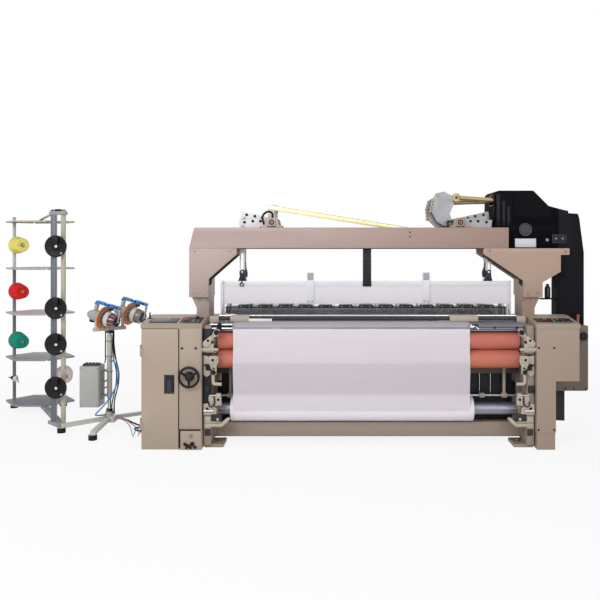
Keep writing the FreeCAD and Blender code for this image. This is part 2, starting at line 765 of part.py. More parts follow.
def set_shafts(s, back):
    """Places, fore and aft, of the two heald frames that move as one."""
    start = SHAFTS // 2 if back else 0
    return [s.first_shaft_y + s.shaft_pitch * (start + i) for i in range(SHAFTS // 2)]


def set_lift(s, back):
    return s.open_shed if back else -s.open_shed


def crank_angle(s, back):
    """Turn of the right cranks from level, in degrees about +Y."""
    lift = float(set_lift(s, back))
    return -math.degrees(math.atan(lift / float(s.lift_arm)))


def heald_frames(document, s, label, back):
    """Two heald frames: staves, end bars, grouped healds, hooks and the two hangers above."""
    half, tall = s.heald_half_width, s.heald_half_height
    lift_x, pin_z = s.pivot_x + s.lift_arm, s.pivot_z - s.heald_middle
    side = 30
    width = (2 * (half - side) - HEALD_WIDTH * (HEALD_WINDOWS - 1)) / HEALD_WINDOWS
    hook, hook_low, hook_high = 27, tall - 20, tall + 78
    strap = 15
    piece = Piece(document, label, at=(0, 0, s.heald_middle + set_lift(s, back)))
    for y in set_shafts(s, back):
        near, far = y - s.heald_thick / 2, y + s.heald_thick / 2
        piece.slab("XZ", Outline(rectangle(-half, -tall, half, tall)), near, far)
        first = side - half
        piece.cut("XZ", Outline(rectangle(first, s.stave_height - tall, first + width,
                                          tall - s.stave_height)), near, far)
        piece.repeated("X", width + HEALD_WIDTH, HEALD_WINDOWS)
        for x in (-lift_x, lift_x):
            piece.slab("XZ", Outline(rectangle(x - hook, hook_low, x + hook, hook_high)),
                       y - STRAP_FAR, far)
            piece.slab("XZ", Outline(rectangle(x - strap, hook_low, x + strap, pin_z + 16)),
                       y - STRAP_FAR, y - STRAP_NEAR)
            piece.slab("XZ", [Disc(x, pin_z, s.pin_radius)], y - STRAP_FAR, y + PIN_END)
    return piece.body


HUB_RADIUS, HUB_HALF = 40, 10
PLATE_END, PLATE_HIGH, PLATE_LOW = 275, 60, -56
HOLE_PLACES = ((230, 36), (230, -33), (160, 34), (160, -33))
HOLE_RADIUS = 12


def crank_pair(document, s, label, side, back):
    """Two cranks on one pivot shaft.

    The perforated arm points outwards and lifts the heald frames. The left crank's other arm stands
    up and the right crank's hangs down, so that the coupling bar turns the two opposite ways. The
    right crank also has the broad lever that the dobby's rod drives.
    """
    angle = crank_angle(s, back) * (1 if side > 0 else -1)
    half = s.crank_thick / 2
    up = -1 if side > 0 else 1
    slot_radius = s.pin_radius + SLOT_FIT
    piece = Piece(document, label, at=(side * s.pivot_x, 0, s.pivot_z), turn=Rotation(Y_AXIS, angle))
    arm = [
        (side * 10, -38), (side * 90, PLATE_LOW), (side * PLATE_END, PLATE_LOW),
        (side * PLATE_END, PLATE_HIGH), (side * 70, 44), (side * 10, 38),
    ]
    link = [(-30, 0), (30, 0), (24, up * (s.link_arm + 26)), (-24, up * (s.link_arm + 26))]
    reach = s.rod_arm
    lever = [
        (-15, -37), (-120, -44), (-178, -14), (28 - reach - 70, 60), (-reach - 48, 150),
        (-reach - 20, reach + 24), (40 - reach, reach + 46), (-88, reach + 22), (-58, 150),
        (-82, 62), (-60, 20), (-15, 37),
    ]
    holes = [Disc(side * x, z, HOLE_RADIUS) for x, z in HOLE_PLACES]
    slots = [
        Slot(side * (s.lift_arm + 2.5), 0, 5, slot_radius),
        Slot(0, up * (s.link_arm + 1.3), 3.3, slot_radius, upright=True),
    ]
    for y in set_shafts(s, back):
        low, high = y - half, y + half
        for outline in [arm, link] + ([lever] if side > 0 else []):
            piece.slab("XZ", Outline(outline), low, high)
        piece.slab("XZ", [Disc(0, 0, HUB_RADIUS)], y - HUB_HALF, y + HUB_HALF)
        piece.cut("XZ", holes, low, high)
        for slot in slots:
            piece.cut("XZ", slot, low, high)
        if side > 0:
            piece.cut("XZ", [Disc(-reach, reach, s.pin_radius + 0.05)], low, high)
        piece.cut("XZ", [Disc(0, 0, s.pivot_radius + s.running_fit)], y - HUB_HALF, y + HUB_HALF)
    return piece.body


def coupling_bars(document, s, label, back):
    """Two flat bars, each from the left crank's upper pin to the right crank's lower pin."""
    shift = set_lift(s, back) * s.link_arm / s.lift_arm
    far, rise = s.pivot_x, s.link_arm
    deep = 16
    piece = Piece(document, label, at=(shift, 0, s.pivot_z))
    for y in set_shafts(s, back):
        piece.slab("XZ", Outline([
            (-far - 16, rise - deep), (-far, rise - deep - 3), (far, -rise - deep),
            (far + 16, -rise - deep + 5), (far + 16, deep - rise), (far, deep + 3 - rise),
            (-far, rise + deep), (-far - 16, rise + deep - 5),
        ]), y - STRAP_FAR, y - STRAP_NEAR)
        piece.slab("XZ", [Disc(-far, rise, s.pin_radius), Disc(far, -rise, s.pin_radius)],
                   y - STRAP_FAR, y + PIN_END)
    return piece.body


ROD_RADIUS, ROD_LENGTH, ROD_CENTRE = 8, 580, 14
ROD_EYE, TURNBUCKLE_AT, TURNBUCKLE_RADIUS = 20, 150, 24
ROD_TARGET = (1150, 1905)


def rod_pin(s, back):
    """Where the dobby rods' pins stand, at the right cranks' rest angle."""
    turn = Rotation(Y_AXIS, crank_angle(s, back))
    arm = turn.multVec(Vector(-float(s.rod_arm), 0, float(s.rod_arm)))
    return Vector(float(s.pivot_x), 0, float(s.pivot_z)) + arm


def dobby_rods(document, s, label, back):
    """Two brass rods from the right cranks into the dobby, each with an eye and a turnbuckle."""
    pin = rod_pin(s, back)
    fall = math.degrees(math.atan2(pin.z - ROD_TARGET[1], ROD_TARGET[0] - pin.x))
    piece = Piece(document, label, at=tuple(pin), turn=Rotation(Y_AXIS, fall))
    for y in set_shafts(s, back):
        centre = y + ROD_CENTRE
        piece.slab("XZ", [Disc(0, 0, s.pin_radius)], y - PIN_END, centre)
        piece.slab("XZ", [Disc(0, 0, ROD_EYE)], y + STRAP_NEAR, centre + ROD_RADIUS - 1)
        piece.slab("XZ", [Disc(TURNBUCKLE_AT, 0, TURNBUCKLE_RADIUS)], y + STRAP_NEAR + 1,
                   centre + ROD_RADIUS + 1)
        piece.slab("YZ", [Disc(centre, 0, ROD_RADIUS)], 10, ROD_LENGTH)
    return piece.body


# ---------------------------------------------------------------- overhead gantry

PLATE = 35
BASE_FRONT, BASE_BACK = -110, 150


def gantry_beams(document, s):
    """The front and rear beams, closed by a box at their left end."""
    low, high, thick = s.beam_low, s.beam_high, s.beam_thick
    left, front, back = s.gantry_left, s.gantry_front, s.gantry_back
    end = [(left, low), (left + 55, low), (left + 55, high), (left + 45, high), (left, high - 45)]
    piece = Piece(document, "gantry_beams")
    for right, near, far in ((1165, front, front + thick), (1060, back - thick, back)):
        piece.slab("XZ", Outline([
            (left, low), (right, low), (right, high), (left + 45, high), (left, high - 45),
        ]), near, far)
    piece.slab("XZ", Outline(end), front + thick, back - thick)
    return piece.body


def gantry_head(document, s, side):
    """A column's head: front and rear gusset plates on a box column, over the base casting."""
    label = "gantry_head_right" if side > 0 else "gantry_head_left"
    inner, outer, low, high = s.column_inner, s.column_outer, s.column_low, s.beam_low
    front, back = s.gantry_front, s.gantry_back
    if side > 0:
        gusset = [
            (961, high), (961, 1462), (inner, 1245), (inner, low), (outer, low), (outer, 1232),
            (s.belt_cover_left, 1319), (s.belt_cover_left, 1456), (1661, 1456), (1661, high),
        ]
    else:
        gusset = [
            (s.gantry_left, high), (-1055, high), (-1055, 1460), (-inner, 1260), (-inner, low),
            (s.gantry_left, low),
        ]
    reach = outer if side > 0 else -s.gantry_left
    base = [
        (side * inner, low), (side * (reach - 20), low), (side * (reach - 20), low - 12),
        (side * (reach - 55), low - 90), (side * (reach - 55), s.frame_top),
        (side * inner, s.frame_top),
    ]
    piece = Piece(document, label)
    piece.slab("XZ", Outline(gusset), front, front + PLATE)
    piece.slab("XZ", Outline(gusset), back - PLATE, back)
    piece.slab("XZ", Outline(rectangle(side * inner, low, side * reach, high) if side > 0 else
                             rectangle(side * reach, low, side * inner, high)),
               front + PLATE, back - PLATE)
    piece.slab("XZ", Outline(base), BASE_FRONT, BASE_BACK)
    if side > 0:
        deck = rectangle(1075, front + PLATE, s.belt_cover_left, s.dobby_back)
        piece.slab("XY", Outline(deck), high - 15, high)
    return piece.body


def crank_bearings(document, s):
    """Pillow blocks on both beams at each crank pivot, with the fixed pivot shaft through them."""
    thick, front, back = s.beam_thick, s.gantry_front, s.gantry_back
    piece = Piece(document, "crank_bearings")
    for x in (-s.pivot_x, s.pivot_x):
        housing = [
            (x - 84, s.beam_high), (x + 84, s.beam_high), (x + 80, s.beam_high + 10),
            (x + 58, s.beam_high + 22), (x + 44, s.pivot_z + 36), (x - 44, s.pivot_z + 36),
            (x - 58, s.beam_high + 22), (x - 80, s.beam_high + 10),
        ]
        for near in (front, back - thick):
            piece.slab("XZ", Outline(housing), near, near + thick)
            corners = [(x + side * 44, s.pivot_z + 36) for side in (-1, 1)]
        piece.rounded(22, "Y", corners)
        piece.slab("XZ", [Disc(x, s.pivot_z, 30)], front - 6, front)
        piece.slab("XZ", [Disc(x, s.pivot_z, s.pivot_radius)], front + thick, back - thick)
    return piece.body


def heald_guard(document, s):
    """The white guard before the heald frames, its end posts, two guide posts and the duct."""
    inner, front = s.frame_gap / 2, -92
    wall = 5
    low, high = 1055, 1240
    piece = Piece(document, "heald_guard")
    piece.slab("XZ", Outline(rectangle(35 - inner, low, inner - 35, high)), front, front + wall)
    piece.slab("YZ", Outline(rectangle(front, high - 4, front + 24, high)), 35 - inner, inner - 35)
    for near, far in ((-inner, 35 - inner), (inner - 35, inner)):
        piece.slab("XY", Outline(rectangle(near, front - 6, far, front + 16)), 880, high)
    for left, right in ((-484, -426), (465, 529)):
        piece.slab("XZ", Outline(rectangle(left, low, right, 1313)), front - 12, front)
    duct = s.gantry_front + s.beam_thick
    piece.slab("XZ", Outline(rectangle(-23, low + 100, 44, s.beam_low + 60)), duct, duct + 6)
    return piece.body


# ---------------------------------------------------------------- control cabinet and right cover

DOOR_THICK = 17
DOOR_GAP = 1
HINGE_OUT = 5.5
BARREL = 4.5
BARREL_SPANS = ((150, 210), (700, 760))
RECESS = (-1532, 428, -1467, 557)
RECESS_DEPTH = 13
LATCH_PIN, LATCH_PIN_IN, LATCH_PIN_SET = 3, 3, 8
GLANDS = ((-462, 125, 8), (-415, 80, 8), (-370, 104, 12))
GLAND_END = 14


def hinge_axis(s):
    return s.cabinet_left + 2 - HINGE_OUT, s.cabinet_front - BARREL


def control_cabinet(document, s):
    """The cabinet: a chamber behind the door and a closed service bay with the handwheel's bore."""
    left, right, split = s.cabinet_left, s.cabinet_right, s.cabinet_split
    front, back, top = s.cabinet_front, s.cabinet_back, s.cabinet_top
    wall = s.sheet_thick
    shell = front + DOOR_THICK + DOOR_GAP
    piece = Piece(document, "control_cabinet")
    piece.slab("XZ", Outline(rectangle(left, 0, right, top)), shell, back)
    piece.slab("XZ", Outline(rectangle(split, 0, right, top)), front, shell)
    piece.cut("XZ", Outline(rectangle(left + wall, 10, split - 11, top - 8)), shell, back - wall)
    piece.cut("XZ", Outline(rectangle(split, 158, right, 164)), front, front + 4)
    piece.cut("XZ", [Disc(s.handwheel_x, s.handwheel_z, WHEEL_SHAFT + s.running_fit)],
              front, front + 60)
    piece.slab("YZ", [Disc(y, z, r) for y, z, r in GLANDS], left - GLAND_END, left)
    hinge_x, hinge_y = hinge_axis(s)
    for _, low in BARREL_SPANS:
        piece.slab("XY", Outline(rectangle(left - 4, hinge_y, left, shell + 12)), low + 1, low + 30)
        piece.slab("XY", [Disc(hinge_x, hinge_y, BARREL)], low + 1, low + 30)
    return piece.body


def cabinet_door(document, s):
    """The cabinet's door, with a recess for its latch."""
    front = s.cabinet_front
    left, right = s.cabinet_left + 2, s.cabinet_split - 3
    piece = Piece(document, "cabinet_door")
    piece.slab("XZ", Outline(rectangle(left, 4, right, s.cabinet_top - 4)), front, front + DOOR_THICK)
    piece.rounded(4, "Z", [(right, front)])
    piece.cut("XZ", Outline(rectangle(*RECESS)), front, front + RECESS_DEPTH)
    bore = Disc(RECESS[0] + LATCH_PIN_SET, front + 6, LATCH_PIN + s.running_fit)
    piece.cut("XY", [bore], RECESS[1] - LATCH_PIN_IN - 1, RECESS[3] + LATCH_PIN_IN + 1)
    hinge_x, hinge_y = hinge_axis(s)
    for low, high in BARREL_SPANS:
        piece.slab("XY", Outline(rectangle(hinge_x, hinge_y, left + 12, front)), low, high)
        piece.slab("XY", [Disc(hinge_x, hinge_y, BARREL)], low, high)
    return piece.body


def door_latch(document, s):
    """The flush paddle of the door's latch, on a pin in the recess at its left."""
    left, low, right, high = RECESS
    front = s.cabinet_front
    piece = Piece(document, "door_latch")
    piece.slab("XY", Outline([
        (left + 4, front + 2), (right - 4, front + 2), (right - 4, front + 8), (right - 18, front + 10),
        (left + 4, front + 10),
    ]), low + 4, high - 4)
    piece.slab("XY", [Disc(left + LATCH_PIN_SET, front + 6, LATCH_PIN)], low - LATCH_PIN_IN,
               high + LATCH_PIN_IN)
    return piece.body


WHEEL_SHAFT, WHEEL_RIM, WHEEL_OUT = 12, 9, 42


def handwheel(document, s):
    """Three-spoked handwheel with a spinner knob, on a shaft that enters the cabinet."""
    ring = s.handwheel_radius - WHEEL_RIM
    piece = Piece(document, "handwheel", at=(s.handwheel_x, s.cabinet_front - WHEEL_OUT, s.handwheel_z))
    piece.turned(Outline([
        (-14, 0), (-14, 20), (-8, 26), (12, 26), (12, WHEEL_SHAFT), (WHEEL_OUT + 55, WHEEL_SHAFT),
        (WHEEL_OUT + 55, 0),
    ]), axis="Y")
    flat = WHEEL_RIM / 2
    piece.turned(Outline([
        (-WHEEL_RIM, ring), (-flat, ring - WHEEL_RIM), (flat, ring - WHEEL_RIM), (WHEEL_RIM, ring),
        (flat, ring + WHEEL_RIM), (-flat, ring + WHEEL_RIM),
    ]), axis="Y")
    for spoke in range(3):
        angle = math.radians(150 + 120 * spoke)
        along, beside = (math.cos(angle), math.sin(angle)), (-math.sin(angle), math.cos(angle))
        ends = [(along[0] * r + beside[0] * w, along[1] * r + beside[1] * w)
                for r, w in ((15, -9), (float(ring), -6), (float(ring), 6), (15, 9))]
        piece.slab("XZ", Outline(ends), -4, 4)
    knob = math.radians(120)
    piece.slab("XZ", [Disc(float(ring) * math.cos(knob), float(ring) * math.sin(knob), 9)], -44, 0)
    return piece.body


CONSOLE_RUN, CONSOLE_RISE = 302, 33
BUTTON_BORE, BUTTON_STEM, BUTTON_HEAD = 8.3, 8, 16
BUTTONS = {"left": (-1400, 150), "right": (1350, 131)}
PANELS = {
    "left": ((-1668, 36, -1452, 200), (-1436, 30, -1272, 250)),
    "right": ((1275, 60, 1560, 210),),
}


def console_frame(s):
    """Where a console's own frame stands: its Y runs up the slope, and its Z is square to it."""
    at = (0, s.cabinet_front, s.cabinet_top + CONSOLE_RISE)
    return at, Rotation(X_AXIS, float(s.console_slope))


def console(document, s, side):
    """A sloping console top with sunk panels and the bore of its stop button."""
    slope = math.radians(float(s.console_slope))

    def tilted(y, z):
        return (y * math.cos(slope) + z * math.sin(slope), z * math.cos(slope) - y * math.sin(slope))

    low, high = (s.cabinet_left - 4, s.cabinet_right + 3) if side == "left" else (
        s.cover_inner - 3, s.cover_outer + 4)
    depth = float(s.cabinet_back) - float(s.cabinet_front)
    crest = CONSOLE_RUN * math.sin(slope)
    at, turn = console_frame(s)
    piece = Piece(document, "console_" + side, at=at, turn=turn)
    piece.slab("YZ", Outline([
        (0, 0), (CONSOLE_RUN, 0), tilted(depth, crest), tilted(depth, -CONSOLE_RISE),
        tilted(0, -CONSOLE_RISE),
    ]), low, high)
    for panel in PANELS[side]:
        piece.cut("XY", Outline(rectangle(*panel)), -3, 0)
    x, y = BUTTONS[side]
    piece.cut("XY", [Disc(x, y, BUTTON_BORE)], -28, 0)
    return piece.body


def stop_button(document, s, side):
    """A mushroom-headed stop button."""
    at, turn = console_frame(s)
    x, y = BUTTONS[side]
    piece = Piece(document, "stop_button_" + side, at=at, turn=turn)
    piece.slab("XY", [Disc(x, y, BUTTON_STEM)], -20, 5)
    piece.slab("XY", [Disc(x, y, BUTTON_HEAD)], 5, 14)
    return piece.body


def side_cover_right(document, s):
    """The right-hand cover: wide at the top, and stepped in below."""
    front, back = s.cabinet_front, s.cabinet_back
    inner, outer, leg, step = s.cover_inner, s.cover_outer, s.cover_leg, s.cover_step
    piece = Piece(document, "side_cover_right")
    piece.slab("XZ", Outline([
        (inner, 130), (leg, 130), (leg, step), (outer, step), (outer, s.cabinet_top),
        (inner, s.cabinet_top),
    ]), front, back)
    piece.rounded(8, "Z", [(leg, front), (outer, front)])
    piece.slab("XZ", Outline(rectangle(inner + 4, 0, leg - 6, 130)), front + 6, back)
    return piece.body


def drive_cover(document, s):
    """The main drive's cover on the right, with the small red-capped post on its top."""
    left, right = s.frame_gap / 2 + s.frame_wall + s.gearbox_width, s.belt_cover_right
    piece = Piece(document, "drive_cover")
    piece.slab("XZ", Outline(rectangle(left, s.drive_low, right, s.drive_high)), -200, 200)
    piece.rounded(20, "Y", [(right, s.drive_low)])
    piece.rounded(14, "Z", [(right, -200), (right, 200)])
    piece.slab("XY", [Disc(1728, -150, 10)], s.drive_high, s.drive_high + 75)
    return piece.body


def main_motor(document, s):
    """The loom's motor, flanged to the oil-bath box, with its terminal box."""
    left = s.frame_gap / 2 + s.frame_wall + s.gearbox_width
    piece = Piece(document, "main_motor", at=(left, 40, 235))
    piece.turned(Outline([
        (0, 0), (0, 105), (14, 105), (14, 90), (180, 90), (203, 78), (203, 0),
    ]))
    piece.slab("XZ", Outline(rectangle(45, 80, 130, 116)), -42, 42)
    return piece.body


# ---------------------------------------------------------------- dobby

def dobby_housing(document, s):
    """The dobby's housing, with the window through which the rods enter and a sight glass."""
    left, right = s.dobby_left, s.belt_cover_left
    low, top = s.beam_low, s.dobby_top
    front, back = s.dobby_front, s.dobby_back
    piece = Piece(document, "dobby_housing")
    piece.slab("XZ", Outline([
        (left, low), (right, low), (right, 1838), (1510, 1859), (1383, top), (left, top),
    ]), front, back)
    piece.rounded(42, "Y", [(left, top)])
    piece.rounded(24, "Y", [(1383, top), (1510, 1859)])
    piece.cut("YZ", Outline(rectangle(-60, 1872, 112, 1944)), left, left + 190)
    piece.slab("XZ", [Disc(1315, 1664, 55)], front - 10, front)
    piece.cut("XZ", [Disc(1315, 1664, 42)], front - 10, front - 4)
    return piece.body


SHELF_Z = 1093


def dobby_belt_cover(document, s):
    """The cover of the belt that drives the dobby, with the grease bottle's shelf."""
    left, right = s.belt_cover_left, s.belt_cover_right
    piece = Piece(document, "dobby_belt_cover")
    piece.slab("XZ", Outline([
        (left, s.drive_high), (right, s.drive_high), (right, 1473), (1763, 1750), (1752, 1795),
        (1671, 1800), (1671, 1818), (left, 1837),
    ]), s.dobby_front, 120)
    piece.rounded(18, "Y", [(1763, 1750), (1752, 1795)])
    piece.slab("XY", Outline(rectangle(1446, -60, left, 40)), SHELF_Z - 6, SHELF_Z)
    return piece.body


def grease_bottle(document, s):
    """The refillable grease bottle that stands on its shelf."""
    piece = Piece(document, "grease_bottle", at=(1520, -10, SHELF_Z))
    piece.turned(Outline([(0, 0), (24, 0), (24, 92), (12, 120), (0, 120)]), axis="Z")
    return piece.body


# ---------------------------------------------------------------- weft feeders and their stand

FEEDER_MIDDLES = ((-2171, 14, 921), (-1991, 173, 941))
FEEDER_STEM = 12
FOOT_RADIUS, FOOT_HIGH = 34, 42
STAND_FEET = ((-2166, -353), (-1880, 410), (-2495, -121))
BOX_LOW, BOX_HIGH = (-2369, -60, 192), (-2208, 110, 530)
MANIFOLD_LOW, MANIFOLD_HIGH = (-2152, 52, 40), (-2112, 126, 88)


def feeder_turn(s):
    return Rotation(Z_AXIS, float(s.feeder_turn)) * Rotation(Y_AXIS, float(s.feeder_tilt))


def feeder_body(document, s, label, at):
    """A weft feeder's fixed parts: motor housing, drum and the arm over the drum."""
    piece = Piece(document, label, at=at, turn=feeder_turn(s))
    drum, stem = s.drum_radius, FEEDER_STEM
    piece.turned(Outline([
        (-180, 0), (-180, 22), (-150, 40), (-38, 56), (-38, stem), (-8, stem), (-8, drum),
        (88, drum), (112, 44), (112, 0),
    ]))
    piece.slab("XZ", Outline([
        (-130, 30), (-92, 30), (-92, 104), (118, 108), (118, -12), (130, -12), (136, 128), (-112, 132),
    ]), -16, 16)
    piece.cut("YZ", [Disc(0, 0, 6)], 114, 134)
    return piece.body


def feeder_flyer(document, s, label, at):
    """The flyer disc that winds the weft on the drum."""
    rim, bore = s.flyer_radius, FEEDER_STEM + 0.3
    piece = Piece(document, label, at=at, turn=feeder_turn(s))
    piece.turned(Outline([(-34, bore), (-28, rim), (-16, rim), (-20, bore)]))
    return piece.body


def stand_legs(document, s):
    """The stand's three legs, from its hub out to the round feet."""
    hub = (float(s.stand_x), float(s.stand_y))
    members = []
    for number, (x, y) in enumerate(STAND_FEET):
        members.append(bar(document, "leg_{}".format(number), (hub[0], hub[1], 52), (x, y, 40), 42, 28))
        members.append(rod(document, "foot_{}".format(number), (x, y, 0), (x, y, FOOT_HIGH), FOOT_RADIUS))
    return members


def feeder_stand(document, s, feeders):
    """Hub, legs, pole, bracket and the clamps that hold the two feeders."""
    x, y = s.stand_x, s.stand_y
    top = s.bracket_z + 15
    members = stand_legs(document, s)
    members.append(rod(document, "hub", (x, y, 44), (x, y, 122), 34))
    members.append(rod(document, "pole", (x, y, 100), (x, y, top), s.pole_radius))
    turn = feeder_turn(s)
    clamps = [Vector(*at) + turn.multVec(Vector(-100, 0, 0)) for at in FEEDER_MIDDLES]
    low = float(s.bracket_z) - 30
    run = clamps[1] - clamps[0]
    run.z = 0
    run.normalize()
    ends = [(c.x + run.x * side * 24, c.y + run.y * side * 24, low) for c, side in zip(clamps, (-1, 1))]
    members.append(bar(document, "bracket", ends[0], ends[1], 34, 30))
    for number, clamp in enumerate(clamps):
        foot, head = (clamp.x, clamp.y, low), (clamp.x, clamp.y, clamp.z)
        members.append(rod(document, "clamp_{}".format(number), foot, head, 14))
    for number, z in enumerate((250, 460)):
        members.append(block(document, "arm_{}".format(number), (BOX_HIGH[0] - 40, BOX_HIGH[1], z),
                             (x, BOX_HIGH[1] + 24, z + 22)))
    members.append(block(document, "manifold", MANIFOLD_LOW, MANIFOLD_HIGH))
    for number, (outlet_y, outlet_z, radius) in enumerate(OUTLETS):
        start = (MANIFOLD_HIGH[0], outlet_y, outlet_z)
        members.append(rod(document, "outlet_{}".format(number), start,
                           (OUTLET_X, outlet_y, outlet_z), radius))
    members.append(rod(document, "loop_inlet", LOOP_INLET[0], LOOP_INLET[1], 8))
    members.append(rod(document, "loop_outlet", LOOP_OUTLET[0], LOOP_OUTLET[1], 8))
    whole = fused(document, "feeder_stand_whole", members)
    return lessened(document, "feeder_stand", whole, feeders)


def stand_control_box(document, s):
    """The feeders' control box, with its strip of connectors on the top."""
    piece = Piece(document, "stand_control_box")
    low, high = BOX_LOW, BOX_HIGH
    piece.slab("XZ", Outline(rectangle(low[0], low[2], high[0], high[2])), low[1], high[1])
    piece.rounded(8, "Z", [(x, low[1]) for x in (low[0], high[0])])
    piece.slab("XY", Outline(rectangle(low[0] + 14, -20, high[0] - 14, 60)), high[2], high[2] + 16)
    return piece.body


# ---------------------------------------------------------------- creel

SHELF_LEVELS = (75, 490, 905, 1320, 1755)
SHELF_HALF_X, SHELF_HALF_Y, SHELF_CUT = 325, 240, 150
SHELF_CENTRE = (-3020, 800)
BACK_POLE = (-2840, 905)
UPRIGHTS = ((-2601, 20), (-2522, 16))
UPRIGHT_TOP = 1829
TENSIONER_Z = (1526, 1014, 716, 357)
SPINDLE_Z = (1535, 1105, 648, 284)
SPINDLE_RADIUS, SPINDLE_LENGTH, COLLAR_AT = 8, 275, 78
EMPTY_SPINDLE, EMPTY_SPINDLE_TURN = 3, -60
PALE_CONE_POLE, PALE_CONE_Z, PALE_CONE_TURN = BACK_POLE, 320, -66


def spindle_line(s, pole, z, turn):
    """Start and direction of a package spindle."""
    angle = math.radians(turn)
    return Vector(float(pole[0]), float(pole[1]), z), Vector(math.cos(angle), math.sin(angle), 0)


def spindles(s):
    pole = (s.creel_x, s.creel_y)
    turns = [float(s.cone_turn)] * len(SPINDLE_Z)
    turns[EMPTY_SPINDLE] = EMPTY_SPINDLE_TURN
    lines = [spindle_line(s, pole, z, turn) for z, turn in zip(SPINDLE_Z, turns)]
    lines.append(spindle_line(s, PALE_CONE_POLE, PALE_CONE_Z, PALE_CONE_TURN))
    return lines


def creel_frame(document, s, stand):
    """Package poles, five hexagonal shelves, package spindles, the front uprights and the base."""
    members = []
    poles = ((s.creel_x, s.creel_y), BACK_POLE)
    for number, (x, y) in enumerate(poles):
        members.append(rod(document, "creel_pole_{}".format(number), (x, y, 25), (x, y, s.creel_height), 15.5))
        members.append(rod(document, "creel_foot_{}".format(number), (x, y, 0), (x, y, 25), FOOT_RADIUS))
    cx, cy = SHELF_CENTRE
    hexagon = [
        (cx - SHELF_HALF_X, cy), (cx - SHELF_CUT, cy - SHELF_HALF_Y), (cx + SHELF_CUT, cy - SHELF_HALF_Y),
        (cx + SHELF_HALF_X, cy), (cx + SHELF_CUT, cy + SHELF_HALF_Y), (cx - SHELF_CUT, cy + SHELF_HALF_Y),
    ]
    for number, z in enumerate(SHELF_LEVELS):
        shelf = Piece(document, "creel_shelf_{}".format(number))
        shelf.slab("XY", Outline(hexagon), z, z + 5)
        members.append(shelf.body)
    for number, (start, along) in enumerate(spindles(s)):
        collar = start + along * COLLAR_AT
        members.append(rod(document, "spindle_{}".format(number), start, start + along * SPINDLE_LENGTH,
                           SPINDLE_RADIUS))
        members.append(rod(document, "collar_{}".format(number), collar, collar + along * 6, 26))
    for number, (x, half) in enumerate(UPRIGHTS):
        members.append(block(document, "upright_{}".format(number), (x - half, -half, 40),
                             (x + half, half, UPRIGHT_TOP)))
    members.append(block(document, "head_clamp", (-2632, -28, UPRIGHT_TOP - 40), (-2496, 28, UPRIGHT_TOP - 12)))
    members.append(bar(document, "base_bar", (cx, cy, 42), (-2560, 0, 42), 50, 33))
    members.append(bar(document, "foot_bar", (-2640, 30, 40), (-2505.4, -110.2, 40), 46, 28))
    members.append(rod(document, "top_bar", (cx, cy, 1770), (-2601, 0, UPRIGHT_TOP - 26), 10))
    whole = fused(document, "creel_frame_whole", members)
    return lessened(document, "creel_frame", whole, stand)


def yarn_cones(document, s):
    """Four yarn cones on their spindles; the lowest spindle of the package pole is empty."""
    cones = []
    lines = [line for number, line in enumerate(spindles(s)) if number != EMPTY_SPINDLE]
    for number, (start, along) in enumerate(lines):
        base = start + along * (COLLAR_AT + 6)
        cone = Piece(document, "cone_{}".format(number), at=tuple(base), turn=Rotation(X_AXIS, along))
        bore = SPINDLE_RADIUS + 1
        cone.turned(Outline([
            (0, bore), (0, s.cone_big - 8), (10, s.cone_big), (s.cone_length, s.cone_small),
            (s.cone_length, bore),
        ]))
        cones.append(cone.body)
    return grouped(document, "yarn_cones", cones)


def yarn_tensioners(document, s):
    """Four disc tensioners on the front uprights."""
    units = []
    for number, z in enumerate(TENSIONER_Z):
        unit = Piece(document, "tensioner_{}".format(number), at=(-2562, -20, z))
        unit.slab("XZ", Outline(rectangle(-64, -26, 62, 26)), -24, 0)
        unit.turned(Outline([(-56, 0), (-50, 92), (-42, 92), (-24, 34), (-24, 0)]), "Y")
        unit.slab("XZ", [Disc(46, -58, 12)], -46, -18)
        unit.slab("XZ", Outline(rectangle(38, -60, 54, -20)), -24, -16)
        units.append(unit.body)
    return grouped(document, "yarn_tensioners", units)


# ---------------------------------------------------------------- hoses and cable

OUTLET_X = -2098
OUTLETS = ((70, 70, 7), (92, 70, 7), (114, 62, 11))
GLAND_X = -1725
LOOP_INLET = ((-2173, 115, 560), (-2148, 88, 560))
LOOP_OUTLET = ((-2218, 78, 98), (-2191, 117, 93.5))
ROUTES = {
    "hose_blue": (8, [
        (OUTLET_X, 70, 70), (-2056, 70, 70), (-2004, 52, 46), (-1966, 8, 16), (-1936, -66, 6),
        (-1912, -150, 5), (-1884, -232, 5), (-1860, -308, 12), (-1838, -374, 42), (-1812, -430, 88),
        (-1772, -462, 125), (GLAND_X, -462, 125),
    ]),
    "hose_red": (8, [
        (OUTLET_X, 92, 70), (-2052, 92, 70), (-1994, 86, 38), (-1940, 56, 10), (-1900, -2, 5),
        (-1872, -84, 5), (-1850, -170, 5), (-1832, -252, 7), (-1816, -324, 22), (-1798, -382, 52),
        (-1768, -415, 80), (GLAND_X, -415, 80),
    ]),
    "signal_cable": (14, [
        (OUTLET_X, 114, 62), (-2044, 114, 62), (-1972, 106, 28), (-1894, 74, 9), (-1842, 4, 8),
        (-1822, -82, 10), (-1828, -168, 22), (-1848, -246, 48), (-1850, -318, 78), (-1808, -370, 104),
        (GLAND_X, -370, 104),
    ]),
    "hose_blue_loop": (12, [
        LOOP_INLET[1], (-2110.5, 47.5, 560), (-2070, -2, 518), (-2052, -32, 440), (-2070, -48, 358),
        (-2110, -58, 276), (-2168, -62, 204), (-2226, -48, 148), (-2256, -10, 118),
        (-2245, 39, 102.5), LOOP_OUTLET[0],
    ]),
}


CORD_SIDES = 8


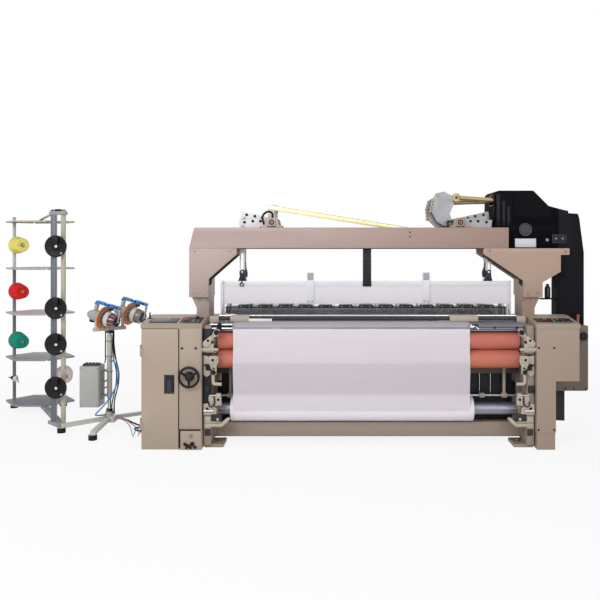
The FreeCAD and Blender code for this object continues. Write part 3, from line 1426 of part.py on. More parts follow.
def tube(document, label, diameter, points):
    """A faceted tube along straight runs that large arcs join, and a print of its radii.

    Its section is a regular polygon of the round section's area.
    """
    points = [Vector(*p) for p in points]
    edges, radii, at = [], [], points[0]
    for i in range(1, len(points) - 1):
        back, ahead = points[i - 1] - points[i], points[i + 1] - points[i]
        shorter = min(back.Length, ahead.Length)
        half_turn = (math.pi - back.getAngle(ahead)) / 2
        setback = 0.45 * shorter
        radius = setback / math.tan(half_turn)
        back.normalize()
        ahead.normalize()
        start, end = points[i] + back * setback, points[i] + ahead * setback
        inward = back + ahead
        inward.normalize()
        bend = radius / math.cos(half_turn) - radius
        edges.append(Part.LineSegment(at, start).toShape())
        edges.append(Part.Arc(start, points[i] + inward * bend, end).toShape())
        radii.append(radius)
        at = end
    edges.append(Part.LineSegment(at, points[-1]).toShape())
    path = Part.Wire(edges)
    first = points[1] - points[0]
    area = math.pi * diameter ** 2 / 4
    corner = math.sqrt(2 * area / (CORD_SIDES * math.sin(2 * math.pi / CORD_SIDES)))
    turn = Rotation(Z_AXIS, first)
    corners = [points[0] + turn.multVec(Vector(corner * math.cos(2 * math.pi * i / CORD_SIDES),
                                               corner * math.sin(2 * math.pi * i / CORD_SIDES), 0))
               for i in range(CORD_SIDES)]
    ring = Part.makePolygon(corners + corners[:1])
    solid = path.makePipeShell([ring], True, False)
    expected = area * path.Length
    print("{}: length {:.0f}, radii {}, volume {:.4f} of section times length".format(
        label, path.Length, " ".join("{:.0f}".format(r) for r in radii), solid.Volume / expected))
    piece = document.addObject("Part::Feature", label)
    piece.Shape = solid
    return piece


# ---------------------------------------------------------------- assembly

def build():
    document = FreeCAD.newDocument("power_loom")
    s = Sheet(document)
    nodes = [side_frame(document, s, side) for side in (-1, 1)]
    nodes += [cross_beams(document, s), air_tank(document, s), breast_beam(document, s),
              temple_bar(document, s)]
    nodes += [
        roller(document, s, "upper_roller", s.roller_y, s.upper_roller_z, s.roller_radius, s.roller_length / 2),
        roller(document, s, "lower_roller", s.roller_y, s.lower_roller_z, s.roller_radius, s.roller_length / 2),
        roller(document, s, "cloth_roller", s.cloth_roller_y, s.cloth_roller_z, s.cloth_tube_radius, Size(1150)),
        wound(document, "cloth_roll", s.cloth_roller_y, s.cloth_roller_z, s.cloth_tube_radius,
              s.cloth_roll_radius, s.cloth_left - 26, s.cloth_right + 36),
        cloth(document, s), warp_beam(document, s),
        wound(document, "warp_winding", s.warp_beam_y, s.warp_beam_z, Size(75), s.warp_radius,
              1 - s.warp_half, s.warp_half - 1),
        tension_levers(document, s), backrest_roller(document, s), warp_sheet(document, s),
        drop_wire_unit(document, s), sley(document, s), reed(document, s),
    ]
    for name, back in (("front", False), ("back", True)):
        nodes += [
            heald_frames(document, s, "heald_frames_" + name, back),
            crank_pair(document, s, "left_cranks_" + name, -1, back),
            crank_pair(document, s, "right_cranks_" + name, 1, back),
            coupling_bars(document, s, "coupling_bars_" + name, back),
            dobby_rods(document, s, "dobby_rods_" + name, back),
        ]
    nodes += [gantry_beams(document, s), gantry_head(document, s, -1), gantry_head(document, s, 1)]
    nodes += [crank_bearings(document, s), heald_guard(document, s)]
    nodes += [control_cabinet(document, s), cabinet_door(document, s), door_latch(document, s)]
    nodes += [handwheel(document, s), side_cover_right(document, s)]
    for side in ("left", "right"):
        nodes += [console(document, s, side), stop_button(document, s, side)]
    nodes += [drive_cover(document, s), main_motor(document, s), dobby_housing(document, s)]
    nodes += [dobby_belt_cover(document, s), grease_bottle(document, s)]
    feeders = []
    for number, at in enumerate(FEEDER_MIDDLES, start=1):
        feeders.append(feeder_body(document, s, "feeder_{}".format(number), at))
        nodes.append(feeder_flyer(document, s, "feeder_flyer_{}".format(number), at))
    feeders = grouped(document, "weft_feeders", feeders)
    stand = feeder_stand(document, s, feeders)
    nodes += [feeders, stand, stand_control_box(document, s), creel_frame(document, s, stand)]
    nodes += [yarn_cones(document, s), yarn_tensioners(document, s)]
    for label, (diameter, points) in ROUTES.items():
        nodes.append(tube(document, label, diameter, points))
    document.recompute()
    return document, nodes


def write(document, nodes):
    """Checks every object, and writes each sub-part's solids."""
    for item in document.Objects:
        if "Invalid" in item.State or "Error" in item.State:
            raise RuntimeError("{} failed: {}".format(item.Label, item.State))
    os.makedirs("parts", exist_ok=True)
    for node in nodes:
        if node.Shape.isNull() or not node.Shape.isValid():
            raise RuntimeError(node.Label + " has no valid shape")
        node.Shape.exportStep(os.path.join("parts", node.Label + ".step"))
        print("{}: {} solids, {:.1f} cm3".format(node.Label, len(node.Shape.Solids), node.Shape.Volume / 1000))


write(*build())
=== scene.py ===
"""Looks of a wide jet loom with its overhead dobby, weft feeders and yarn creel.

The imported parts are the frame. Each sub-assembly below is a class that copies its parts with
softened edges, adds the finer pieces, and rides all of them on the frame's bodies. Sizes are
millimetres in the frame's own axes: +X to the weaver's right, +Y away from the weaver, +Z up.
"""

from __future__ import annotations

import json
import logging
import math
import random
import sys
from dataclasses import dataclass, field
from enum import Enum
from typing import Any, Callable, Iterable, Sequence

import bmesh
import bpy
from mathutils import Matrix, Vector

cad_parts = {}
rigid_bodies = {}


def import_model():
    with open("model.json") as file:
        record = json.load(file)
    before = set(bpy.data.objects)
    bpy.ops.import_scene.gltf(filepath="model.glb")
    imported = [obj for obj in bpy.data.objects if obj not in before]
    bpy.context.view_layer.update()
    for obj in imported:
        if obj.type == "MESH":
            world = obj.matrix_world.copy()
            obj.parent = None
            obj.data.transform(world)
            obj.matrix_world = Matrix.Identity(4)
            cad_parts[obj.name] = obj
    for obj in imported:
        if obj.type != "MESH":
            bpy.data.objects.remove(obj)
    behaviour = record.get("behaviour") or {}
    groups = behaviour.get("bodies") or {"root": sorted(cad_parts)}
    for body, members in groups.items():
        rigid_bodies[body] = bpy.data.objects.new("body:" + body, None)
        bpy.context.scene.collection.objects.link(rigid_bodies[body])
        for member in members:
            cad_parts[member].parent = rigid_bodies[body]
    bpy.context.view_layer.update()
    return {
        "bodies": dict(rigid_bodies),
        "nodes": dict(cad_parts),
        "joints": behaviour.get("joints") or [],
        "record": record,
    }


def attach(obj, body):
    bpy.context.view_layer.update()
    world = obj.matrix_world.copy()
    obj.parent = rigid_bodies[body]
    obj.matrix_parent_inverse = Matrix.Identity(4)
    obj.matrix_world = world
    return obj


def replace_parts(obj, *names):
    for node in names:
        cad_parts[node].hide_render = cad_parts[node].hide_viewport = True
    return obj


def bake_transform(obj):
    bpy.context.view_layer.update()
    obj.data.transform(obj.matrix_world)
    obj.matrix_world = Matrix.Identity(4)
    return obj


LOG = logging.getLogger("power_loom")
MM = 0.001
FULL_TURN = 2 * math.pi
SIDES = ((-1, "left"), (1, "right"))
RIGHT = (1, 0, 0)
FRONT = (0, -1, 0)
BACK = (0, 1, 0)
UP = (0, 0, 1)
WHITE_LIGHT = (1.0, 1.0, 1.0, 1.0)
REST = {"front": -35.0, "back": 35.0}
WARP_PITCH = 4.6
Point = Sequence[float]
Pair = tuple[float, float]
Color = tuple[float, float, float]
Pieces = bpy.types.Object | list[bpy.types.Object]


# ------------------------------------------------------------------ shader graphs


def arithmetic(operation: str, reflected: bool = False) -> Callable[[Socket, Any], Socket]:
    """Gives the method of an operator, or its reflected form with the socket on the right."""

    def method(self: Socket, other: Any) -> Socket:
        """Adds the operator's Math node."""
        first, second = (other, self) if reflected else (self, other)
        return self.reckoned(operation, first, second)

    return method


class Socket:
    """A node's output that takes part in Python expressions."""

    __add__, __radd__ = arithmetic("ADD"), arithmetic("ADD", reflected=True)
    __sub__, __rsub__ = arithmetic("SUBTRACT"), arithmetic("SUBTRACT", reflected=True)
    __mul__, __rmul__ = arithmetic("MULTIPLY"), arithmetic("MULTIPLY", reflected=True)

    def __init__(self, graph: Graph, output: bpy.types.NodeSocket) -> None:
        """Keeps the output and the graph that it belongs to."""
        self.graph = graph
        self.output = output

    def reckoned(self, operation: str, *values: Any) -> Socket:
        """Adds one Math node on one or two sockets or numbers, and gives its result."""
        return self.graph.node("ShaderNodeMath", {"operation": operation}, dict(enumerate(values)))

    def sine(self) -> Socket:
        """Gives the sine."""
        return self.reckoned("SINE", self)

    def spread(self, low: float, high: float, floor: float = 0.0, top: float = 1.0) -> Socket:
        """Maps low to floor and high to top, held between the two."""
        return self.graph.node("ShaderNodeMapRange", {"clamp": True}, {0: self, 1: low, 2: high, 3: floor, 4: top})


class Graph:
    """The nodes of a material or of a world, written as Python expressions."""

    def __init__(self, owner: bpy.types.Material | bpy.types.World) -> None:
        """Empties the owner's node tree."""
        owner.use_nodes = True
        self.tree = owner.node_tree
        self.tree.nodes.clear()

    def _feed(self, target: bpy.types.NodeSocket, value: Any) -> None:
        """Links a socket, or sets a plain value."""
        if isinstance(value, Socket):
            self.tree.links.new(value.output, target)
        else:
            target.default_value = value

    def node(self, kind: str, settings: dict[str, Any], values: dict[Any, Any], out: Any = 0) -> Socket:
        """Adds a node of any kind.

        Args:
            kind: the node's type name.
            settings: attributes that are set before the sockets, such as an operation or a
                ramp's stops.
            values: socket names or numbers, each with a plain value or a Socket.
            out: the name or number of the output that is wanted.

        Returns:
            That output.
        """
        made = self.tree.nodes.new(kind)
        for key, value in settings.items():
            if key == "stops":
                for index, (place, color) in enumerate(value):
                    ramp = made.color_ramp.elements
                    stop = ramp[index] if index < 2 else ramp.new(place)
                    stop.position, stop.color = place, (*color, 1.0)
            else:
                setattr(made, key, value)
        for key, value in values.items():
            self._feed(made.inputs[key], value)
        return Socket(self, made.outputs[out])

    def place(self, scale: Point = (1.0, 1.0, 1.0)) -> Socket:
        """Gives the piece's own coordinates in metres, stretched by a scale."""
        source = self.node("ShaderNodeTexCoord", {}, {}, "Object")
        return self.node("ShaderNodeMapping", {}, {"Vector": source, "Scale": tuple(scale)})

    def laid(self, layer: str = "laid") -> tuple[Socket, Socket]:
        """Gives the two parts of the piece's own UV map, in metres along its surface."""
        source = self.node("ShaderNodeUVMap", {"uv_map": layer}, {})
        parts = self.tree.nodes.new("ShaderNodeSeparateXYZ")
        self._feed(parts.inputs[0], source)
        return Socket(self, parts.outputs[0]), Socket(self, parts.outputs[1])

    def noise(self, scale: float, detail: float = 3.0, stretch: Point = (1.0, 1.0, 1.0)) -> Socket:
        """Gives noise from 0 to 1, `scale` blotches to the metre."""
        return self.node("ShaderNodeTexNoise", {}, {"Vector": self.place(stretch), "Scale": scale, "Detail": detail})

    def axis(self, index: int) -> Socket:
        """Gives one of the three coordinates, in metres."""
        parts = self.tree.nodes.new("ShaderNodeSeparateXYZ")
        self._feed(parts.inputs[0], self.place())
        return Socket(self, parts.outputs[index])

    def mixed(self, share: Any, first: Any, second: Any) -> Socket:
        """Mixes two colours by a share from 0 to 1."""
        first, second = ((*c, 1.0) if isinstance(c, tuple) else c for c in (first, second))
        return self.node("ShaderNodeMix", {"data_type": "RGBA"}, {0: share, 6: first, 7: second}, 2)

    def bump(self, height: Socket, strength: float, distance: float) -> Socket:
        """Turns a height into a normal; distance is in metres."""
        return self.node("ShaderNodeBump", {}, {"Height": height, "Strength": strength, "Distance": distance})

    def seen(self) -> Socket:
        """Gives 1 for what the camera sees, also by a reflection or through glass, and else 0."""
        path = self.tree.nodes.new("ShaderNodeLightPath")
        names = ("Is Camera Ray", "Is Glossy Ray", "Is Transmission Ray")
        camera, glossy, through = (Socket(self, path.outputs[name]) for name in names)
        return (camera + glossy + through).spread(0.0, 1.0)


class Surface(Graph):
    """A material with a Principled shader at the end of its nodes."""

    def __init__(self, name: str) -> None:
        """Starts an empty material of that name."""
        self.material = bpy.data.materials.new(name)
        super().__init__(self.material)
        self.shader = self.tree.nodes.new("ShaderNodeBsdfPrincipled")
        self.end = self.tree.nodes.new("ShaderNodeOutputMaterial")
        self.tree.links.new(self.shader.outputs[0], self.end.inputs[0])

    def finish(self, **values: Any) -> bpy.types.Material:
        """Sets the shader's sockets by their names, with spaces as underscores."""
        for key, value in values.items():
            value = (*value, 1.0) if isinstance(value, tuple) and len(value) == 3 else value
            self._feed(self.shader.inputs[key.replace("_", " ")], value)
        return self.material


def shaded(color: Color, factor: float) -> Color:
    """Gives a colour made lighter or darker by a factor."""
    return tuple(min(1.0, part * factor) for part in color)


@dataclass(frozen=True)
class Paint:
    """Sprayed paint on metal: a fine orange peel, slow colour drift, dust near the floor, and painted shade towards +X
    where a far colour is given.
    """

    name: str
    color: Color
    roughness: float = 0.45
    peel: float = 0.25
    drift: float = 0.07
    dust: float = 0.18
    peel_scale: float = 900.0
    coat: float = 0.0
    specular: float = 0.4
    # A colour that the paint turns to towards +X: painted shade, darker on the side away from the light.
    far: Color | None = None

    def build(self) -> bpy.types.Material:
        """Makes the material."""
        graph = Surface(self.name)
        cloudy = graph.noise(3.0, 4.0)
        speckle = graph.noise(60.0, 5.0)
        base = graph.mixed(cloudy, shaded(self.color, 1 - self.drift), shaded(self.color, 1 + self.drift))
        # Painted shade: the colour turns to the far colour from left to right.
        if self.far:
            base = graph.mixed(graph.axis(0).spread(-1.2, 1.3) * 0.9 + cloudy * 0.1, base, self.far)
        low = graph.axis(2).spread(0.0, 0.35, 1.0, 0.0) * self.dust * graph.noise(9.0, 5.0).spread(0.3, 0.7)
        rubbed = speckle.spread(0.66, 0.78) * 0.16
        worn = graph.mixed(rubbed, base, shaded(self.color, 0.72))
        dusty = graph.mixed(low, worn, (0.30, 0.26, 0.21))
        peel = graph.noise(self.peel_scale, 2.0)
        rough = cloudy.spread(0.3, 0.7, self.roughness - 0.06, self.roughness + 0.08) + low * 0.4
        return graph.finish(
            Base_Color=dusty, Roughness=rough, Normal=graph.bump(peel, self.peel, 0.0006), Coat_Weight=self.coat,
            Coat_Roughness=0.12, Specular_IOR_Level=self.specular)


@dataclass(frozen=True)
class Metal:
    """Bare metal with fine drawn lines along one axis and patches of handling."""

    name: str
    color: Color
    roughness: float = 0.32
    lines: Point = (4.0, 300.0, 300.0)
    scratch: float = 0.12
    stain: float = 0.12
    metallic: float = 1.0

    def build(self) -> bpy.types.Material:
        """Makes the material."""
        graph = Surface(self.name)
        lines = graph.noise(4.0, 4.0, self.lines)
        patches = graph.noise(14.0, 5.0)
        base = graph.mixed(lines, shaded(self.color, 0.88), shaded(self.color, 1.06))
        aged = graph.mixed(patches.spread(0.5, 0.75) * self.stain, base, shaded(self.color, 0.5))
        rough = lines * 0.14 + patches * 0.12 + (self.roughness - 0.12)
        return graph.finish(
            Base_Color=aged, Roughness=rough, Metallic=self.metallic, Normal=graph.bump(lines, self.scratch, 0.0004))


@dataclass(frozen=True)
class Plastic:
    """Moulded plastic or rubber with a fine grain."""

    name: str
    color: Color
    roughness: float = 0.4
    grain: float = 0.2
    grain_scale: float = 1400.0
    coat: float = 0.0
    glow: float = 0.0
    specular: float = 0.4

    def build(self) -> bpy.types.Material:
        """Makes the material."""
        graph = Surface(self.name)
        grain = graph.noise(self.grain_scale, 2.0)
        smudge = graph.noise(22.0, 4.0)
        base = graph.mixed(smudge, shaded(self.color, 0.9), shaded(self.color, 1.1))
        rough = smudge.spread(0.35, 0.7, self.roughness - 0.05, self.roughness + 0.1)
        return graph.finish(
            Base_Color=base, Roughness=rough, Normal=graph.bump(grain, self.grain, 0.0003), Coat_Weight=self.coat,
            Coat_Roughness=0.08, Specular_IOR_Level=self.specular, Emission_Color=(*self.color, 1.0),
            Emission_Strength=self.glow)


@dataclass(frozen=True)
class RibbedRubber:
    """A take-up roller's rubber: fine ribs across its length, and a matt bloom."""

    name: str
    color: Color
    pitch: float = 0.004

    def build(self) -> bpy.types.Material:
        """Makes the material."""
        graph = Surface(self.name)
        along, _ = graph.laid()
        rib = (along * (FULL_TURN / self.pitch)).sine()
        bloom = graph.noise(12.0, 5.0, (0.4, 1.0, 1.0))
        base = graph.mixed(bloom, shaded(self.color, 0.84), shaded(self.color, 1.12))
        ribbed = graph.mixed(rib.spread(-1.0, 1.0, 0.22, 0.0), base, shaded(self.color, 0.6))
        return graph.finish(
            Base_Color=ribbed, Roughness=bloom.spread(0.3, 0.7, 0.55, 0.75), Normal=graph.bump(rib, 0.5, 0.0008))


@dataclass(frozen=True)
class Weave:
    """Plain weave on a piece's own UV map, with slow bands from picking, a soft sheen, and painted shade along its run
    where shade stops are given.
    """

    name: str
    color: Color
    pitch: float = 0.0016
    bands: float = 0.05
    # The colour of the painted shade, and the stops along the run that mix it in.
    shade: Color = (0.30, 0.275, 0.315)
    shade_tones: tuple[Pair, ...] = ()

    def build(self) -> bpy.types.Material:
        """Makes the material."""
        graph = Surface(self.name)
        across, along = graph.laid()
        ends = (across * (FULL_TURN / self.pitch)).sine()
        picks = (along * (FULL_TURN / self.pitch)).sine()
        thread = ends * picks
        streak = graph.node(
            "ShaderNodeTexNoise", {}, {"Vector": graph.place((60.0, 1.5, 1.5)), "Scale": 6.0, "Detail": 4.0})
        band = graph.node(
            "ShaderNodeTexNoise", {}, {"Vector": graph.place((0.6, 9.0, 9.0)), "Scale": 3.0, "Detail": 3.0})
        tint = (streak + band) * 0.5
        base = graph.mixed(
            tint.spread(0.3, 0.7), shaded(self.color, 1 - self.bands), shaded(self.color, 1 + self.bands))
        # Painted shade: a ramp along the run mixes the base colour towards the shade colour.
        if self.shade_tones:
            stops = [(run, (tone, tone, tone)) for run, tone in self.shade_tones]
            deep = graph.node("ShaderNodeValToRGB", {"stops": stops}, {0: along})
            base = graph.mixed(deep, base, self.shade)
        woven = graph.mixed(thread.spread(-1.0, 1.0, 0.0, 0.12), base, shaded(self.color, 0.82))
        return graph.finish(
            Base_Color=woven, Roughness=0.82, Normal=graph.bump(thread, 0.35, 0.0004), Sheen_Weight=0.25,
            Sheen_Roughness=0.5)


@dataclass(frozen=True)
class Yarn:
    """Yarns laid side by side or crossed, on a piece's own UV map."""

    name: str
    color: Color
    pitch: float = 0.0022
    crossed: bool = False

    def build(self) -> bpy.types.Material:
        """Makes the material."""
        graph = Surface(self.name)
        across, along = graph.laid()
        turn = FULL_TURN / self.pitch
        if self.crossed:
            right = ((across + along * 0.55) * turn).sine()
            left = ((across - along * 0.55) * turn).sine()
            patch = graph.noise(95.0, 2.0).spread(0.46, 0.54)
            strand = right * patch + left * (1.0 - patch)
        else:
            strand = (across * turn).sine()
        tone = graph.noise(40.0, 4.0)
        base = graph.mixed(tone, shaded(self.color, 0.86), shaded(self.color, 1.12))
        lined = graph.mixed(strand.spread(-1.0, 0.4, 0.2, 0.0), base, shaded(self.color, 0.6))
        return graph.finish(
            Base_Color=lined, Roughness=0.8, Normal=graph.bump(strand, 0.4, 0.0005), Sheen_Weight=0.04,
            Sheen_Roughness=0.4, Specular_IOR_Level=0.15)


@dataclass(frozen=True)
class ClearPlastic:
    """A translucent bottle or glass."""

    name: str
    color: Color
    roughness: float = 0.15
    clear: float = 0.6

    def build(self) -> bpy.types.Material:
        """Makes the material."""
        graph = Surface(self.name)
        cloud = graph.noise(30.0, 3.0)
        base = graph.mixed(cloud, shaded(self.color, 0.95), self.color)
        return graph.finish(
            Base_Color=base, Roughness=cloud.spread(0.3, 0.7, self.roughness, self.roughness + 0.1),
            Transmission_Weight=self.clear, IOR=1.45)


class Finishes:
    """The loom's finishes, named for where they are used."""

    CAST = Paint("cast_frame_paint", (0.305, 0.240, 0.195), 0.5, 0.5, 0.09, 0.3, 420.0)
    CASTING = Paint("pale_casting_paint", (0.47, 0.41, 0.335), 0.5, 0.5, 0.10, 0.1, 420.0)
    # The far colours of the cover, gantry and head paints are painted shade towards the right.
    COVER = Paint("cover_paint", (0.405, 0.326, 0.259), 0.42, 0.22, 0.03, far=(0.350, 0.266, 0.209))
    PANEL = Paint("service_panel_paint", (0.400, 0.316, 0.252), 0.42, 0.22, 0.03)
    # Painted shade: a dark copy of the frame paint for the cross beams inside the loom.
    DRIVE = Paint("drive_cover_paint", (0.165, 0.125, 0.098), 0.45, 0.25, 0.05)
    INNER_SHADE = Paint("inner_beam_painted_shade", (0.130, 0.100, 0.080), 0.55, 0.4, 0.09, 0.2, 420.0)
    GANTRY = Paint("gantry_paint", (0.500, 0.385, 0.365), 0.45, 0.3, 0.05, 0.0, far=(0.315, 0.208, 0.162))
    HEAD = Paint("gantry_head_paint", (0.480, 0.370, 0.345), 0.45, 0.3, 0.05, 0.0, far=(0.46, 0.325, 0.255))
    CONSOLE = Paint("console_paint", (0.36, 0.29, 0.225), 0.42, 0.25, 0.03)
    GUARD = Paint("guard_white_paint", (0.80, 0.775, 0.83), 0.3, 0.12, 0.03, 0.0, 700.0, 0.2)
    BOX = Paint("control_box_paint", (0.405, 0.412, 0.402), 0.4, 0.25, 0.03, 0.05)
    STAND = Paint("stand_paint", (0.56, 0.55, 0.51), 0.38, 0.2, 0.05, 0.1)
    MOTOR = Paint("motor_paint", (0.022, 0.024, 0.028), 0.5, 0.6, 0.15, 0.2, 300.0, 0.0, 0.2)
    CREAM = Paint("cream_paint", (0.46, 0.40, 0.325), 0.42, 0.3, 0.06, 0.0)
    SHELF = Paint("creel_shelf_paint", (0.30, 0.29, 0.31), 0.45, 0.3, 0.06, 0.0)
    SHELF_PALE = Paint("creel_pale_shelf", (0.47, 0.42, 0.43), 0.45, 0.3, 0.05, 0.0)
    SHELF_DARK = Paint("creel_low_shelf", (0.17, 0.175, 0.205), 0.45, 0.3, 0.06, 0.1)
    POLE = Metal("creel_dark_pole", (0.16, 0.165, 0.18), 0.4, (200.0, 200.0, 4.0), 0.1, 0.2, 0.7)
    TAN_POST = Paint("creel_tan_post", (0.50, 0.45, 0.36), 0.4, 0.2, 0.05, 0.1)
    STEEL = Metal("ground_steel", (0.55, 0.55, 0.57))
    ROLL_STEEL = Metal("cloth_roller_steel", (0.27, 0.275, 0.325), 0.38, (4.0, 200.0, 200.0), 0.25, 0.3, 0.85)
    BEAM_STEEL = Metal("breast_beam_steel", (0.235, 0.23, 0.275), 0.5, (3.0, 400.0, 400.0), 0.25, 0.2, 0.8)
    CHROME = Metal("bright_chrome", (0.76, 0.76, 0.78), 0.18, (300.0, 4.0, 4.0), 0.04, 0.05)
    PLATE = Metal("zinc_plate_steel", (0.32, 0.315, 0.33), 0.42, (60.0, 60.0, 60.0), 0.1, 0.3, 0.75)
    # Painted light: a lighter copy of the plate steel, for the left cranks.
    PLATE_PAINTED_LIGHT = Metal("plate_steel_painted_light", (0.62, 0.61, 0.625), 0.45, (60.0, 60.0, 60.0), 0.1, 0.15, 0.6)
    ALUMINIUM = Metal("anodised_aluminium", (0.66, 0.67, 0.69), 0.38, (4.0, 200.0, 200.0))
    DARK = Metal("oiled_dark_steel", (0.040, 0.040, 0.046), 0.42, (4.0, 200.0, 200.0), 0.12, 0.2, 0.6)
    BOLT = Metal("bolt_steel", (0.26, 0.255, 0.25), 0.4, (200.0, 200.0, 200.0), 0.1, 0.3)
    ZINC = Metal("yellow_passivated_zinc", (0.88, 0.79, 0.46), 0.4, (6.0, 200.0, 200.0), 0.1, 0.2, 0.6)
    BRASS = Metal("passivated_round_bar", (0.42, 0.32, 0.18), 0.4, (4.0, 200.0, 200.0), 0.2, 0.45, 0.7)
    GLOSS = Paint("dobby_gloss_black", (0.0042, 0.0044, 0.0056), 0.3, 0.08, 0.1, 0.0, 500.0, 0.05, 0.0)
    BELT = Paint("belt_cover_black", (0.0125, 0.0130, 0.0170), 0.3, 0.08, 0.1, 0.0, 500.0, 0.05, 0.0)
    RIB = Paint("dobby_rib_black", (0.006, 0.006, 0.011), 0.16, 0.05, 0.1, 0.0, 500.0, 0.25, 0.0)
    BLACK = Plastic("moulded_black_plastic", (0.009, 0.009, 0.011), 0.42, 0.35, specular=0.2)
    SATIN_BLACK = Plastic("satin_black_plastic", (0.014, 0.015, 0.018), 0.35, 0.1, specular=0.25)
    RUBBER = Plastic("black_rubber", (0.011, 0.011, 0.012), 0.65, 0.5, 900.0, specular=0.2)
    RED = Plastic("stop_button_red", (0.62, 0.018, 0.015), 0.28, 0.05, 900.0, 0.4)
    GREEN = Plastic("start_button_green", (0.02, 0.34, 0.08), 0.28, 0.05, 900.0, 0.4)
    WHITE = Plastic("white_ceramic", (0.80, 0.80, 0.78), 0.22, 0.05, 900.0, 0.3)
    SCREEN = Plastic("dark_screen", (0.030, 0.034, 0.045), 0.2, 0.02, 300.0, 0.2, specular=0.25)
    PANE = Plastic("console_screen", (0.110, 0.103, 0.132), 0.3, 0.02, 300.0, 0.0, specular=0.2)
    LABEL = Paint("bare_pale_plate", (0.66, 0.66, 0.69), 0.4, 0.15, 0.02, 0.0)
    FEEDER_GREY = Plastic("feeder_grey_plastic", (0.42, 0.40, 0.40), 0.42, 0.25)
    DRUM_GREY = Plastic("drum_green_grey", (0.26, 0.27, 0.24), 0.4, 0.25)
    FEEDER_BLUE = Plastic("feeder_blue_plastic", (0.015, 0.19, 0.50), 0.35, 0.2, 900.0, 0.2)
    ORANGE = Plastic("flyer_orange_plastic", (0.72, 0.22, 0.05), 0.35, 0.15, 900.0, 0.2)
    DARK_RED = Plastic("drum_dark_red", (0.19, 0.04, 0.055), 0.35, 0.15)
    RUBBER_COVER = RibbedRubber("roller_rubber_cover", (0.61, 0.178, 0.12))
    # The cloth's stops along its run are painted shade: strong on the flat cloth before the bend, faint on the front
    # run, stronger again on the slope to the roll.
    CLOTH = Weave("woven_cloth", (0.725, 0.665, 0.715), shade_tones=(
        (0.0, 0.72), (0.355, 0.78), (0.366, 0.0), (0.400, 0.03), (0.600, 0.10), (0.628, 0.16), (0.640, 0.36),
        (0.860, 0.40), (0.885, 0.08)))
    CLOTH_ROLL = Weave("wound_cloth_weave", (0.835, 0.80, 0.835))
    WARP = Yarn("warp_yarn", (0.78, 0.77, 0.78), 0.0024)
    CONE_YELLOW = Yarn("cone_yarn_yellow", (1.0, 0.83, 0.20), 0.0034, True)
    CONE_RED = Yarn("cone_yarn_red", (0.78, 0.018, 0.018), 0.0034, True)
    CONE_GREEN = Yarn("cone_yarn_green", (0.005, 0.30, 0.20), 0.0034, True)
    CONE_PALE = Yarn("cone_yarn_pale", (0.74, 0.62, 0.58), 0.0034, True)
    CARD = Plastic("cone_card_tube", (0.22, 0.15, 0.10), 0.7, 0.4, 300.0)
    HOSE_BLUE = Plastic("blue_hose", (0.01, 0.22, 0.58), 0.25, 0.05, 500.0, 0.3)
    HOSE_RED = Plastic("red_hose", (0.60, 0.06, 0.03), 0.25, 0.05, 500.0, 0.3)
    CABLE = Plastic("black_cable_sheath", (0.010, 0.010, 0.012), 0.45, 0.15, specular=0.25)
    BOTTLE = ClearPlastic("smoked_bottle", (0.030, 0.030, 0.036), 0.2, 0.2)
    GLASS = ClearPlastic("sight_glass", (0.20, 0.21, 0.22), 0.05, 0.3)


class Palette:
    """Builds each finish once."""

    def __init__(self) -> None:
        """Starts with no materials."""
        self.made: dict[str, bpy.types.Material] = {}

    def get(self, finish: Any) -> bpy.types.Material:
        """Gives the finish's material, and builds it at its first use."""
        if finish.name not in self.made:
            self.made[finish.name] = finish.build()
        return self.made[finish.name]


# ------------------------------------------------------------------ modelling


BASE_FACE = -110.0


class Plane(Enum):
    """A plane of the frame: its two directions and its level's direction."""

    XY = (0, 1, 2)
    XZ = (0, 2, 1)
    YZ = (1, 2, 0)

    def point(self, across: float, up: float, level: float) -> Vector:
        """Gives a point in metres from three millimetre values."""
        place = [0.0, 0.0, 0.0]
        for index, value in zip(self.value, (across, up, level)):
            place[index] = value * MM
        return Vector(place)


def box_outline(left: float, low: float, right: float, high: float) -> list[Pair]:
    """Gives a rectangle's four corners, in order."""
    return [(left, low), (right, low), (right, high), (left, high)]


def evenly(first: float, last: float, count: int) -> list[float]:
    """Gives evenly spaced values with both ends."""
    return [first + (last - first) * i / (count - 1) for i in range(count)]


def around(count: int, start: float = 0.0) -> list[float]:
    """Gives evenly spaced angles round a circle."""
    return evenly(start, start + FULL_TURN, count + 1)[:-1]


def metres(place: Point) -> Vector:
    """Gives a place in metres from its millimetres."""
    return Vector(place) * MM


def shift(place: Point) -> Matrix:
    """Gives the matrix of a shift in millimetres."""
    return Matrix.Translation(metres(place))


